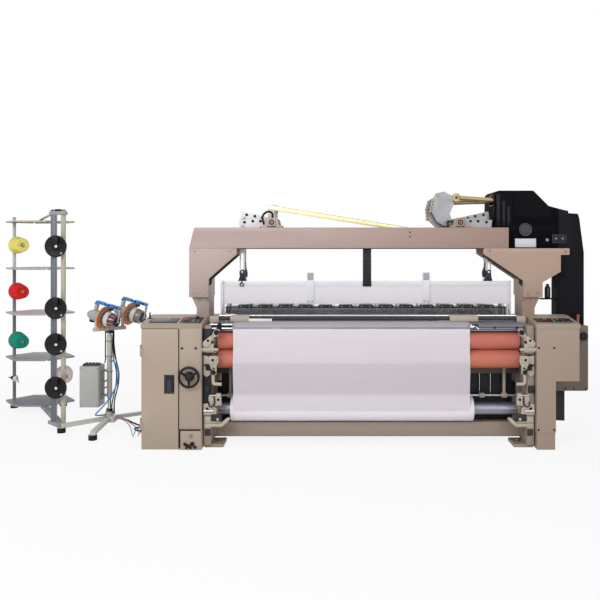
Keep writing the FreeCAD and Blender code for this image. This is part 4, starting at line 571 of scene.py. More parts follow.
class Workshop:
    """Models pieces with Blender's own tools, and fits them to the frame's bodies."""

    def __init__(self, frame: dict[str, Any]) -> None:
        """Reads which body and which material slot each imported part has."""
        self.nodes = frame["nodes"]
        record = frame["record"]
        self.slots = {part["node"]: part["material_slot"] for part in record["subparts"]}
        self.bodies = {n: body for body, names in record["behaviour"]["bodies"].items() for n in names}
        self.palette = Palette()

    # -- starting and shaping

    def deselect(self) -> None:
        """Leaves edit mode and clears the selection."""
        if bpy.context.mode != "OBJECT":
            bpy.ops.object.mode_set(mode="OBJECT")
        bpy.ops.object.select_all(action="DESELECT")

    def choose(self, *pieces: bpy.types.Object) -> None:
        """Selects only these pieces; the first is active."""
        self.deselect()
        for piece in pieces:
            piece.select_set(True)
        bpy.context.view_layer.objects.active = pieces[0]

    def settled(self, name: str = "part") -> bpy.types.Object:
        """Names the primitive that was just added, and puts its place in its mesh."""
        piece = bpy.context.active_object
        piece.name = piece.data.name = name
        bpy.ops.object.transform_apply(location=True, rotation=True, scale=True)
        return piece

    def edited(self, piece: bpy.types.Object, work: Callable[[], Any]) -> bpy.types.Object:
        """Runs edit-mode operators on the whole of a piece."""
        self.choose(piece)
        bpy.ops.object.mode_set(mode="EDIT")
        bpy.ops.mesh.select_all(action="SELECT")
        work()
        bpy.ops.object.mode_set(mode="OBJECT")
        return piece

    def cleaned(self, piece: bpy.types.Object, reach: float = 1e-5) -> bpy.types.Object:
        """Merges doubled points and turns every face outwards."""

        def work() -> None:
            """Merges, then turns."""
            bpy.ops.mesh.remove_doubles(threshold=reach)
            bpy.ops.mesh.normals_make_consistent(inside=False)

        return self.edited(piece, work)

    def modified(self, piece: bpy.types.Object, kind: str, **settings: Any) -> bpy.types.Object:
        """Adds a modifier and applies it."""
        self.choose(piece)
        modifier = piece.modifiers.new(kind.lower(), kind)
        for key, value in settings.items():
            setattr(modifier, key, value)
        bpy.ops.object.modifier_apply(modifier=modifier.name)
        return piece

    def softened(
            self, piece: bpy.types.Object, width: float, segments: int = 2, angle: float = 35.0) -> bpy.types.Object:
        """Bevels the edges that turn by more than an angle; width is in millimetres."""
        return self.modified(
            piece, "BEVEL", width=width * MM, segments=segments, limit_method="ANGLE", angle_limit=math.radians(angle),
            use_clamp_overlap=True)

    def block(self, low: Point, high: Point, bevel: float = 2.0, segments: int = 2) -> bpy.types.Object:
        """Makes a rectangular piece with softened edges between two corners."""
        self.deselect()
        near, far = metres(low), metres(high)
        bpy.ops.mesh.primitive_cube_add(size=1.0, location=(near + far) / 2, scale=far - near)
        return self.softened(self.settled(), bevel, segments)

    def prism(self, outline: Sequence[Pair], plane: Plane, low: float, high: float, bevel: float = 1.5,
              segments: int = 2) -> bpy.types.Object:
        """Extrudes an outline from one level of its plane to another."""
        self.deselect()
        bpy.ops.mesh.primitive_circle_add(vertices=len(outline), radius=1.0, fill_type="NGON")
        piece = self.settled()
        for vertex, (across, up) in zip(piece.data.vertices, outline):
            vertex.co = plane.point(across, up, low)
        move = plane.point(0.0, 0.0, high - low)

        def work() -> None:
            """Extrudes, then turns the faces outwards."""
            bpy.ops.mesh.extrude_region_move(TRANSFORM_OT_translate={"value": move})
            bpy.ops.mesh.select_all(action="SELECT")
            bpy.ops.mesh.normals_make_consistent(inside=False)

        self.edited(piece, work)
        return self.softened(piece, bevel, segments) if bevel else piece

    def turned(self, profile: Sequence[Pair], origin: Point, axis: Point = RIGHT, steps: int = 48,
               bevel: float = 0.0) -> bpy.types.Object:
        """Spins a half profile round a line.

        Args:
            profile: pairs of distance along the axis and radius, in millimetres.
            origin: where the distance is zero.
            axis: the line's direction.
            steps: faces round the piece.
            bevel: softening of the sharp edges, or 0.

        Returns:
            The piece.
        """
        self.deselect()
        bpy.ops.mesh.primitive_circle_add(vertices=len(profile), radius=1.0, fill_type="NOTHING")
        piece = self.settled()
        along = Vector(axis).normalized()
        across = along.orthogonal().normalized()
        centre = metres(origin)
        for vertex, (distance, radius) in zip(piece.data.vertices, profile):
            vertex.co = centre + (along * distance + across * radius) * MM
        solid = profile[0][1] == 0 and profile[-1][1] == 0

        def work() -> None:
            """Opens a solid's profile on its axis, spins it and closes the seam."""
            if solid:
                mesh = bmesh.from_edit_mesh(piece.data)
                mesh.edges.ensure_lookup_table()
                bmesh.ops.delete(mesh, geom=[mesh.edges[-1]], context="EDGES")
                bmesh.update_edit_mesh(piece.data)
                bpy.ops.mesh.select_all(action="SELECT")
            bpy.ops.mesh.spin(steps=steps, angle=FULL_TURN, center=centre, axis=along)
            bpy.ops.mesh.select_all(action="SELECT")
            bpy.ops.mesh.remove_doubles(threshold=2e-6)
            bpy.ops.mesh.normals_make_consistent(inside=False)

        self.edited(piece, work)
        return self.softened(piece, bevel) if bevel else piece

    def rod(self, start: Point, end: Point, radius: float, sides: int = 24, bevel: float = 1.0) -> bpy.types.Object:
        """Makes a round bar with chamfered ends between two points."""
        span = Vector(end) - Vector(start)
        chamfer = min(bevel, radius * 0.4)
        return self.turned([
            (0, 0), (0, radius - chamfer), (chamfer, radius), (span.length - chamfer, radius),
            (span.length, radius - chamfer), (span.length, 0)], start, span, sides)

    def curved(self, name: str, points: Sequence[Point], radius: float, sides: int) -> bpy.types.Object:
        """Lays a smooth curve of round section along a line of points."""
        curve = bpy.data.curves.new(name, "CURVE")
        curve.dimensions = "3D"
        curve.bevel_depth, curve.bevel_resolution = radius * MM, sides
        curve.resolution_u, curve.use_fill_caps = 8, True
        spline = curve.splines.new("NURBS")
        spline.points.add(len(points) - 1)
        for knot, place in zip(spline.points, points):
            knot.co = (*metres(place), 1.0)
        spline.order_u, spline.use_endpoint_u = 3, True
        piece = bpy.data.objects.new(name, curve)
        bpy.context.scene.collection.objects.link(piece)
        return piece

    def piped(self, points: Sequence[Point], radius: float, sides: int = 4) -> bpy.types.Object:
        """Makes a bent rigid pipe along a smooth line."""
        self.choose(self.curved("pipe", points, radius, sides))
        bpy.ops.object.convert(target="MESH")
        return self.cleaned(bpy.context.active_object)

    def ring(self, centre: Point, axis: Point, radius: float, wire: float, steps: int = 48) -> bpy.types.Object:
        """Makes a round ring of round wire."""
        self.deselect()
        turn = Vector(axis).to_track_quat("Z", "Y").to_euler()
        bpy.ops.mesh.primitive_torus_add(
            location=metres(centre), rotation=turn, major_segments=steps, minor_segments=16, major_radius=radius * MM,
            minor_radius=wire * MM)
        return self.settled()

    def dome(self, centre: Point, radius: float, squash: float = 1.0) -> bpy.types.Object:
        """Makes a ball, flattened along Z."""
        self.deselect()
        bpy.ops.mesh.primitive_uv_sphere_add(
            segments=32, ring_count=16, radius=radius * MM, location=metres(centre), scale=(1.0, 1.0, squash))
        return self.settled()

    # -- repeating and joining

    def joined(self, name: str, pieces: Sequence[bpy.types.Object]) -> bpy.types.Object:
        """Joins pieces into one."""
        self.choose(*pieces)
        if len(pieces) > 1:
            bpy.ops.object.join()
        piece = bpy.context.active_object
        piece.name = piece.data.name = name
        return piece

    def copied(self, piece: bpy.types.Object, moves: Iterable[Matrix]) -> list[bpy.types.Object]:
        """Copies a piece to several places, each with its own mesh, and removes the first."""
        made = []
        for move in moves:
            twin = piece.copy()
            twin.data = piece.data.copy()
            twin.data.transform(move)
            bpy.context.scene.collection.objects.link(twin)
            made.append(twin)
        bpy.data.objects.remove(piece)
        return made

    def moved(self, piece: bpy.types.Object, move: Matrix) -> bpy.types.Object:
        """Moves a piece's mesh by a matrix."""
        piece.data.transform(move)
        return piece

    def row(self, piece: bpy.types.Object, step: Point, count: int) -> bpy.types.Object:
        """Repeats a piece in a straight row."""
        return self.modified(
            piece, "ARRAY", count=count, use_relative_offset=False, use_constant_offset=True,
            constant_offset_displace=metres(step))

    def bolts(self, places: Sequence[Point], axis: Point, size: float) -> bpy.types.Object:
        """Makes hexagon-headed bolts with washers; size is the thread's."""
        head = self.rod((0, 0, size * 0.15), (0, 0, size * 0.8), size * 0.9, 6, size * 0.12)
        washer = self.rod((0, 0, 0), (0, 0, size * 0.2), size * 1.15, 20, size * 0.05)
        turn = Vector(axis).to_track_quat("Z", "Y").to_matrix().to_4x4()
        model = self.joined("bolt", [head, washer])
        return self.joined("bolts", self.copied(model, [shift(place) @ turn for place in places]))

    # -- the frame's own parts

    def refined(self, node: str, finish: Any, width: float = 2.0, segments: int = 2,
                angle: float = 35.0, suffix: str = "_dressed") -> bpy.types.Object:
        """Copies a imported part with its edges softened, and shows the copy in its place.

        Args:
            node: the part's name.
            finish: its finish.
            width: bevel in millimetres, or 0 for sharp edges.
            segments: faces across a bevel.
            angle: the least turn, in degrees, of an edge that is softened.
            suffix: what is added to the part's name.

        Returns:
            The copy, fitted to the part's body.
        """
        piece = bpy.data.objects.new(node + suffix, self.nodes[node].data.copy())
        bpy.context.scene.collection.objects.link(piece)

        def work() -> None:
            """Merges the loose triangles into flat faces."""
            bpy.ops.mesh.remove_doubles(threshold=1e-6)
            bpy.ops.mesh.dissolve_limited(angle_limit=math.radians(0.3))

        self.edited(piece, work)
        if width:
            self.softened(piece, width, segments, angle)
        self.fitted(node + suffix, piece, finish, self.slots[node], self.bodies[node])
        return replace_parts(piece, node)

    def fitted(self, name: str, pieces: Pieces, finish: Any, slot: str, body: str = "root",
               smooth: float = 32.0) -> bpy.types.Object:
        """Joins and names pieces of one finish, shades them and rides them on a body."""
        piece = self.joined(name, pieces if isinstance(pieces, list) else [pieces])
        bpy.ops.object.shade_smooth_by_angle(angle=math.radians(smooth))
        piece.data.materials.clear()
        piece.data.materials.append(self.palette.get(finish))
        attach(piece, body)
        LOG.info("%s rides on %s", name, body)
        return piece

    def standing_for(self, name: str, pieces: Pieces, node: str, finish: Any, smooth: float = 32.0) -> bpy.types.Object:
        """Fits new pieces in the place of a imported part."""
        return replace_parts(self.fitted(name, pieces, finish, self.slots[node], self.bodies[node], smooth), node)

    def strung(self, name: str, pieces: list[bpy.types.Object]) -> bpy.types.Object:
        """Joins rows of yarns, shades them flat and gives them the warp's finish."""
        piece = self.joined(name, pieces)
        bpy.ops.object.shade_flat()
        piece.data.materials.append(self.palette.get(Finishes.WARP))
        return piece

    def region(self, piece: bpy.types.Object, finish: Any, test: Callable[[Vector], bool]) -> None:
        """Gives the faces whose middle passes a test, in millimetres, another finish."""
        piece.data.materials.append(self.palette.get(finish))
        index = len(piece.data.materials) - 1
        for face in piece.data.polygons:
            if test(face.center / MM):
                face.material_index = index

    def wrapped(self, piece: bpy.types.Object, origin: Point, axis: Point, radius: float) -> None:
        """Lays a UV map round a turned piece: metres along it, and metres round it."""
        layer = piece.data.uv_layers.new(name="laid")
        along = Vector(axis).normalized()
        across = along.orthogonal().normalized()
        third = along.cross(across)
        centre = metres(origin)

        def angle(point: Vector) -> float:
            """Gives a point's angle round the axis."""
            away = point - centre
            return math.atan2(away.dot(third), away.dot(across))

        for face in piece.data.polygons:
            middle = angle(face.center)
            for loop in face.loop_indices:
                place = piece.data.vertices[piece.data.loops[loop].vertex_index].co
                turn = angle(place)
                turn += FULL_TURN * round((middle - turn) / FULL_TURN)
                away = place - centre
                slope = (away - along * away.dot(along)).length
                layer.data[loop].uv = (away.dot(along) + slope - radius * MM, turn * radius * MM)


# ------------------------------------------------------------------ the loom's sub-assemblies


@dataclass
class SideFrames:
    """The cast frames, their bearing rings, front brackets, feet and cross members."""

    shop: Workshop
    plate: float = 1195.0
    boss_face: float = 1165.0
    box_face: float = 1400.0
    front: float = -600.0
    bearings: tuple[tuple[float, float, float], ...] = (
        (-482, 806, 20), (-482, 660, 20), (-462, 272, 20), (-110, 640, 25), (520, 840, 25), (620, 480, 30))

    def build(self) -> None:
        """Builds both frames and what ties them."""
        for node in ("side_frame_left", "side_frame_right"):
            self.shop.refined(node, Finishes.CAST, 3.0)
        beams = self.shop.refined("cross_beams", Finishes.CAST, 5.0)
        # The cross beams above 400 mm get the dark copy of the frame paint as painted shade.
        self.shop.region(beams, Finishes.INNER_SHADE, lambda p: p.z > 400)
        self.feet()
        for side, word in SIDES:
            self.rings(side, word)
            self.box_lid(side, word)
            self.front_brackets(side, word)
        self.flanges()
        self.stretch_rail()
        self.dark_parts()

    def feet(self) -> None:
        """Puts an anchor bolt in each foot."""
        places = [(x, y, 25) for x in (-1150, 1150) for y in (-475, 475)]
        bolts = self.shop.bolts(places, UP, 20)
        self.shop.fitted("anchor_bolts", bolts, Finishes.BOLT, "bright_steel")

    def rings(self, side: int, word: str) -> None:
        """Puts a retaining ring round each journal."""
        made = [self.shop.turned(
            [(0.0, journal + 1.5), (0.0, 46.0), (3.0, 47.0), (4.0, 45.5), (4.0, journal + 3.0), (2.5, journal + 1.5)],
            (side * self.boss_face, y, z), (-side, 0, 0), 40) for y, z, journal in self.bearings]
        self.shop.fitted(f"bearing_rings_{word}", made, Finishes.STEEL, "bright_steel")

    def box_lid(self, side: int, word: str) -> None:
        """Closes the oil-bath box with a lid, its bolts and a round oil glass."""
        shop, face = self.shop, side * self.box_face
        outline = [(-206, 262), (-190, 249), (372, 249), (386, 262), (386, 866), (372, 881), (-190, 881), (-206, 866)]
        low, high = sorted((face - side * 2.8, face - side * 0.2))
        lid = shop.prism(outline, Plane.YZ, low, high, 0.8)
        shop.fitted(f"oil_box_lid_{word}", lid, Finishes.CAST, "frame_paint")
        places = [
            (face - side * 0.4, y, z) for y in (-193, 90, 373) for z in (266, 565, 864) if not (y == 90 and z == 565)]
        bolts = shop.bolts(places, (side, 0, 0), 8)
        shop.fitted(f"oil_box_bolts_{word}", bolts, Finishes.BOLT, "bright_steel")
        glass = shop.turned([(0, 0), (0, 19), (4, 19), (6, 17), (6, 12), (3, 11), (3, 0)],
                            (face - side * 0.4, 300, 330), (side, 0, 0), 32)
        shop.fitted(f"oil_glass_{word}", glass, Finishes.STEEL, "bright_steel")
        shop.region(glass, Finishes.GLASS, lambda p: math.hypot(p.y - 300, p.z - 330) < 11)

    def front_brackets(self, side: int, word: str) -> None:
        """Adds the castings on the frame's front edge, with their studs, knobs, pipes and arms."""
        shop, front = self.shop, self.front

        def at(points: Iterable[Pair]) -> list[Pair]:
            """Mirrors an outline to this side."""
            return [(side * x, z) for x, z in points]

        def stud(x0: float, x1: float, y: float, z: float, radius: float) -> bpy.types.Object:
            """Makes a level round bar across the front."""
            return shop.rod((side * x0, y, z), (side * x1, y, z), radius, 24, 2.0)

        outlines = (
            ([(1126, 900), (1160, 905), (1176, 880), (1186, 858), (1252, 800), (1252, 728), (1150, 728), (1150, 752),
              (1172, 760), (1172, 838), (1140, 850)], -624),
            ([(1180, 846), (1196, 852), (1252, 806), (1252, 776), (1216, 770), (1192, 792)], -636),
            ([(1140, 700), (1205, 700), (1215, 660), (1196, 622), (1190, 560), (1150, 560), (1150, 622),
              (1135, 660)], -626),
            ([(1148, 690), (1196, 690), (1204, 664), (1180, 640), (1150, 660)], -638),
            ([(1196, 690), (1250, 706), (1250, 560), (1228, 540), (1196, 560)], -612),
            ([(1112, 330), (1160, 326), (1168, 372), (1150, 420), (1118, 418)], -626),
            ([(1150, 262), (1250, 254), (1250, 338), (1196, 344), (1150, 300)], -618),
            ([(1160, 330), (1206, 340), (1212, 392), (1188, 404), (1168, 390)], -622))
        castings = [shop.prism(at(outline), Plane.XZ, near, front + 0.5, 3.0) for outline, near in outlines]
        arm = [(1048, 222), (1062, 236), (1082, 224), (1118, 190), (1246, 190), (1246, 162), (1110, 162), (1070, 198)]
        castings.append(shop.prism(at(arm), Plane.XZ, -612, -585, 4.0))
        castings.append(shop.prism(at(box_outline(1120, 196, 1246, 204)), Plane.XZ, -616, -598, 2.0))
        castings.append(shop.prism(at(box_outline(1196, 150, 1246, 240)), Plane.XZ, -606, -598, 2.0))
        castings.append(stud(1256, 1139, -630, 751, 11))
        castings.append(stud(1247, 1262, -630, 751, 15))
        castings.append(shop.turned(
            [(0, 21), (0, 42), (3, 44), (12, 44), (13, 40), (13, 21)], (side * 1152, -462, 272), (side, 0, 0), 40))
        castings.append(shop.piped([
            (side * 1176, -614, 566), (side * 1176, -616, 520), (side * 1174, -618, 492), (side * 1146, -618, 488),
            (side * 1112, -618, 488)], 13, 5))
        shop.fitted(f"roller_brackets_{word}", castings, Finishes.CASTING, "frame_paint")
        knobs = []
        for x, z, radius in ((1146, 881, 19), (1170, 580, 17)):
            knobs.append(shop.turned(
                [(0, 0), (0, 7), (10, 8), (13, radius - 3), (16, radius), (27, radius), (31, radius - 4), (32, 0)],
                (side * x, front - 24, z), FRONT, 32))
        knobs.append(shop.piped([(side * 1170, -634, 585), (side * 1204, -636, 606), (side * 1240, -640, 640)], 6))
        for x, z, radius, near in (
                (1212, 818, 10, -636.6), (1182, 805, 12, -624.6), (1161, 740, 8, -624.6), (1176, 672, 11, -638.6),
                (1170, 608, 8, -626.6), (1136, 372, 11, -626.6), (1222, 300, 13, -618.6)):
            knobs.append(shop.rod((side * x, near + 3, z), (side * x, near, z), radius, 24, 0.4))
        knobs.append(shop.piped([
            (side * 1165, -630, 392), (side * 1158, -634, 340), (side * 1186, -634, 316), (side * 1210, -632, 330),
            (side * 1206, -622, 352)], 5))
        shop.fitted(f"bracket_knobs_{word}", knobs, Finishes.BLACK, "black_plastic")
        bright = [stud(1118, 1206, -632, 406, 4), stud(1168, 1246, -626, 288, 9), stud(1132, 1140, -630, 751, 7)]
        for x, z, near, radius in ((1160, 893, -624, 6), (1238, 744, -624, 8), (1190, 640, -626, 6),
                                   (1236, 300, -618, 7), (1132, 344, -626, 6), (1142, 221, -604, 10)):
            bright.append(shop.rod((side * x, near + 2, z), (side * x, near - 9, z), radius, 20))
        shop.fitted(f"bracket_nubs_{word}", bright, Finishes.STEEL, "bright_steel")

    def dark_parts(self) -> None:
        """Adds black sheets as painted shade behind the front castings and across the loom behind the rollers, and the
        black blocks, guard plates and thin rods round the rollers.
        """
        shop = self.shop
        # The first four blocks are black sheets of painted shade: behind the left and right front castings, and across
        # the loom behind the rollers.
        dark = [
            shop.block((-1262, -606, 140), (-1254.5, -600.2, 908), 1.0),
            shop.block((-1251, -603, 262), (-1188, -600.2, 905), 1.0),
            shop.block((1190, -603, 560), (1251, -600.2, 712), 1.0),
            shop.block((-1160, -269.5, 104), (1160, -266, 565), 1.0, 1)]
        for side in (-1, 1):
            for x0, z0, x1, z1, near in ((1112, 206, 1186, 256, -606), (1196, 96, 1240, 146, -608),
                                         (1204, 420, 1246, 474, -620), (1196, 590, 1232, 640, -618)):
                low, high = sorted((side * x0, side * x1))
                dark.append(shop.block((low, near, z0), (high, -590 if z0 == 206 else -600.2, z1), 4.0))
        dark.append(shop.prism([(1470, 96), (1636, 88), (1640, 356), (1470, 356)], Plane.XZ, -84, -76, 2.0))
        dark.append(shop.prism([(-84, 88), (150, 88), (150, 356), (-84, 356)], Plane.YZ, 1634, 1640, 1.0))
        shop.fitted("dark_frame_parts_and_shade_sheets", dark, Finishes.MOTOR, "dark_steel")
        rods = [shop.rod((x, -300, 356), (x, -300, 522), 4, 16) for x in (-1090, 895, 982)]
        for x0, x1, z in ((-1205, -1036, 932), (-1205, -1036, 903)):
            rods.append(shop.rod((x0, -562, z), (x1, -562, z), 6.5, 20))
        shop.fitted("thin_rods", rods, Finishes.CHROME, "bright_steel")
        cutter = [shop.block((-1196, -557, 896), (-1040, -553.2, 940), 1.5),
                  shop.block((-1150, -572, 890), (-1118, -553, 946), 3.0)]
        cutter += [shop.rod((-1146, -574, 918), (-1146, -588, 918), 14, 28, 2.0)]
        shop.fitted("cutter_block", cutter, Finishes.BLACK, "black_plastic")

    def flanges(self) -> None:
        """Bolts each cross beam to the frames through a flange."""
        shop = self.shop
        plates, places = [], []
        for side in (-1, 1):
            for y0, z0, y1, z1 in ((-460, 54, -370, 168), (540, 30, 680, 118)):
                low, high = sorted((side * (self.plate - 14), side * self.plate))
                outline = box_outline(y0 - 22, z0 + 4, y1 + 22, z1 + 22)
                plates.append(shop.prism(outline, Plane.YZ, low, high, 2.0))
                places += [(side * (self.plate - 14), y, z1 + 11) for y in (y0 - 10, y1 + 10)]
                places += [(side * (self.plate - 14), y, z0 + 20) for y in (y0 - 11, y1 + 11)]
        shop.fitted("beam_flanges", plates, Finishes.CAST, "frame_paint")
        heads = [shop.bolts([p for p in places if p[0] * side > 0], (-side, 0, 0), 8) for side in (-1, 1)]
        shop.fitted("flange_bolts", heads, Finishes.BOLT, "bright_steel")

    def stretch_rail(self) -> None:
        """Adds the steel rail behind the cloth roll, with its clamps and hangers."""
        shop, y, z = self.shop, -350.0, 352.0
        rail = shop.rod((-self.plate + 1, y, z), (self.plate - 1, y, z), 8)
        shop.fitted("cloth_rail", rail, Finishes.STEEL, "bright_steel")
        clamps = []
        for x in (-1080, -902, 902, 1080):
            outline = [(y - 20, z - 16), (y + 16, z - 16), (y + 20, z - 8), (y + 20, z + 18), (y - 14, z + 18),
                       (y - 20, z + 10)]
            clamps.append(shop.prism(outline, Plane.YZ, x - 22, x + 22, 3.0))
        for x in (-1080, 1080):
            clamps.append(shop.block((x - 11, y - 4, z + 10), (x + 11, -329.5, 580), 2.0))
        shop.fitted("rail_clamps", clamps, Finishes.CASTING, "frame_paint")


@dataclass
class TakeUp:
    """The take-up rollers, the cloth roller and its wound cloth, and the cloth itself."""

    shop: Workshop
    y: float = -482.0
    radius: float = 71.0
    half: float = 1157.0
    end: float = 1222.0
    left: float = -1034.0
    right: float = 774.0
    rows: int = 96
    roll: Point = (0, -462, 272)

    def build(self) -> None:
        """Builds the rollers and the cloth."""
        for node, z in (("upper_roller", 806.0), ("lower_roller", 660.0)):
            self.roller(node, z)
        self.cloth_roller()
        self.cloth_roll()
        self.cloth()
        self.shop.refined("breast_beam", Finishes.BEAM_STEEL, 2.5)
        self.cloth_lip()
        self.selvedge_cutter()

    def roller(self, node: str, z: float) -> None:
        """Makes one roller: a rubber cover on a steel core with its two journals."""
        shop, half, radius = self.shop, self.half, self.radius
        cover = shop.turned([
            (-half, 52), (-half, radius - 3), (3 - half, radius), (half - 3, radius), (half, radius - 3), (half, 52),
            (half - 6, 50), (6 - half, 50)], (0, self.y, z), RIGHT, 96)
        shop.wrapped(cover, (0, self.y, z), RIGHT, radius)
        shop.standing_for(node + "_cover", cover, node, Finishes.RUBBER_COVER)
        core = shop.turned([
            (-self.end, 0), (-self.end, 18), (2 - self.end, 20), (6 - half, 20), (4 - half, 51.5), (half - 4, 51.5),
            (half - 6, 20), (self.end - 2, 20), (self.end, 18), (self.end, 0)], (0, self.y, z), RIGHT, 48)
        shop.fitted(node + "_core", core, Finishes.STEEL, "bright_steel", shop.bodies[node])

    def cloth_roller(self) -> None:
        """Makes the steel cloth roller with its collars."""
        shop, end = self.shop, self.end
        profile = [(-end, 0), (-end, 18), (2 - end, 20), (-1150, 20), (-1149, 46)]
        for x in (-1118, -1100, 838, 858, 1085, 1118):
            profile += [(x - 5, 46), (x - 4, 47), (x + 4, 47), (x + 5, 46)]
        profile += [(1149, 46), (1150, 20), (end - 2, 20), (end, 18), (end, 0)]
        piece = shop.turned(profile, self.roll, RIGHT, 64)
        shop.standing_for("cloth_roller_tube", piece, "cloth_roller", Finishes.ROLL_STEEL)

    def cloth_roll(self) -> None:
        """Makes the wound cloth, a little uneven, with its layers showing at the ends."""
        shop, draw = self.shop, random.Random(4)
        low, high, outer, inner = self.left - 26, self.right + 36, 94.0, 47.4
        profile: list[Pair] = [(low + 5, inner)]
        for radius in evenly(51, 88, 9):
            profile += [(low + draw.uniform(0.5, 4.0), radius), (low + draw.uniform(0.5, 4.0), radius + 2.1)]
        for x in evenly(low + 6, high - 6, 44):
            profile.append((x, outer - draw.uniform(0.0, 1.3)))
        for radius in evenly(88, 51, 9):
            profile += [(high - draw.uniform(0.5, 4.0), radius + 2.1), (high - draw.uniform(0.5, 4.0), radius)]
        profile.append((high - 5, inner))
        piece = shop.turned(profile, self.roll, RIGHT, self.rows)
        shop.wrapped(piece, self.roll, RIGHT, outer)
        shop.standing_for("wound_cloth", piece, "cloth_roll", Finishes.CLOTH_ROLL, 50.0)

    def path(self) -> list[Pair]:
        """Gives the cloth's line from the fell to the roll, as Y and Z pairs."""
        line: list[Pair] = [(y, 940.0) for y in evenly(-201, -494, 18)]
        bend = 58.0
        for turn in evenly(0, math.pi / 2, 10)[1:]:
            line.append((-496 - bend * math.sin(turn), 940.0 - bend + bend * math.cos(turn)))
        line += [(-554.2, z) for z in evenly(868, 664, 12)]
        line += [(-554.2 - 3.3 * share, 664 - 392 * share) for share in evenly(0.05, 1, 16)]
        return line

    def cloth(self) -> None:
        """Makes the taut woven cloth with faint waves and a soft selvedge."""
        shop, path, columns = self.shop, self.path(), 84
        shop.deselect()
        bpy.ops.mesh.primitive_grid_add(x_subdivisions=columns, y_subdivisions=len(path) - 1, size=1.0)
        piece = shop.settled("cloth_web")
        layer = piece.data.uv_layers.new(name="laid")
        width = self.right - self.left
        runs = [0.0]
        for (y0, z0), (y1, z1) in zip(path, path[1:]):
            runs.append(runs[-1] + math.hypot(y1 - y0, z1 - z0))
        flat = []
        for index, vertex in enumerate(piece.data.vertices):
            row, column = divmod(index, columns + 1)
            share = column / columns
            y, z = path[row]
            edge = (1 - 2 * share) * 1.5 * math.sin(runs[row] / 61.0)
            wave = 0.5 * math.sin(share * 31 + runs[row] / 170.0) * (1 if row > 18 else 0)
            vertex.co = metres((self.left + width * share + edge, y - wave if row > 18 else y, z))
            flat.append((share * width * MM, runs[row] * MM))
        for loop in piece.data.loops:
            layer.data[loop.index].uv = flat[loop.vertex_index]
        shop.cleaned(piece)
        shop.modified(piece, "SOLIDIFY", thickness=0.9 * MM, offset=0.0)
        shop.standing_for("cloth_web", piece, "cloth", Finishes.CLOTH, 60.0)

    def cloth_lip(self) -> None:
        """Adds the bright edge strip where the cloth turns down, and its fixing screws."""
        shop = self.shop
        strip = shop.prism(
            [(-552.8, 902), (-549.5, 908), (-508, 938.2), (-506, 936.6), (-546, 905), (-549, 896), (-552.8, 896)],
            Plane.YZ, -1190, 1190, 0.5)
        shop.fitted("breast_beam_strip", strip, Finishes.BEAM_STEEL, "bright_steel")
        screws = [shop.rod((x, -551, 910), (x, -561, 905), 8, 24, 2.0) for x in (965, 1130, -1120)]
        line = shop.block((776, -551.6, 908.5), (1190, -547.2, 911.5), 0.3, 1)
        shop.fitted("beam_screws", [*screws, line], Finishes.BLACK, "black_plastic")

    def selvedge_cutter(self) -> None:
        """Adds the small selvedge cutter at the cloth's right edge."""
        shop = self.shop
        black = [
            shop.block((786, -566, 902), (812, -549, 934), 2.5), shop.block((768, -572, 922), (836, -560, 934), 2.5)]
        bright = [shop.rod((820, -560, 912), (838, -576, 896), 4.5, 20),
                  shop.rod((778, -572, 928), (778, -584, 928), 8, 24, 1.5),
                  shop.prism([(758, 914), (800, 924), (812, 918), (790, 906)], Plane.XZ, -574, -571.5, 0.5)]
        shop.fitted("selvedge_bodies", black, Finishes.BLACK, "black_plastic")
        shop.fitted("selvedge_blades", bright, Finishes.CHROME, "bright_steel")


@dataclass
class Temples:
    """The temple bar, its two temples and the round bar above them."""

    shop: Workshop

    def build(self) -> None:
        """Builds the bar and what it carries."""
        shop = self.shop
        piece = shop.refined("temple_bar", Finishes.DARK, 1.5)
        shop.region(piece, Finishes.CREAM, lambda p: p.y < -413 or p.y > -389 or abs(p.x) > 1160)
        rod = shop.rod((-1162, -401, 984), (1162, -401, 984), 7.4)
        shop.fitted("temple_round_bar", rod, Finishes.CHROME, "bright_steel")
        plates, rollers = [], []
        for side, (low, high) in ((-1, (-1069, -920)), (1, (638, 857))):
            near, far = low - (86 if side > 0 else 0), high + (86 if side < 0 else 0)
            outline = [(low + 8, -449), (high - 8, -449), (far, -442), (far, -422), (high - 8, -418),
                       (low + 8, -418), (near, -422), (near, -442)]
            plates.append(shop.prism(outline, Plane.XY, 944.0, 947.0, 0.8))
            rollers.append(shop.rod((low + 4, -346, 951), (high - 4, -346, 951), 9, 24))
        plates.append(shop.block((-930, -452, 943.5), (-745, -449, 966), 0.8))
        shop.fitted("temple_plates", plates, Finishes.WHITE, "guard_white")
        shop.fitted("temple_rollers", rollers, Finishes.CHROME, "bright_steel")
        places = [(x, -401, 981.8) for x in (-1205, -1180, 1180, 1205)]
        shop.fitted("temple_bracket_bolts", shop.bolts(places, UP, 8), Finishes.BOLT, "bright_steel")


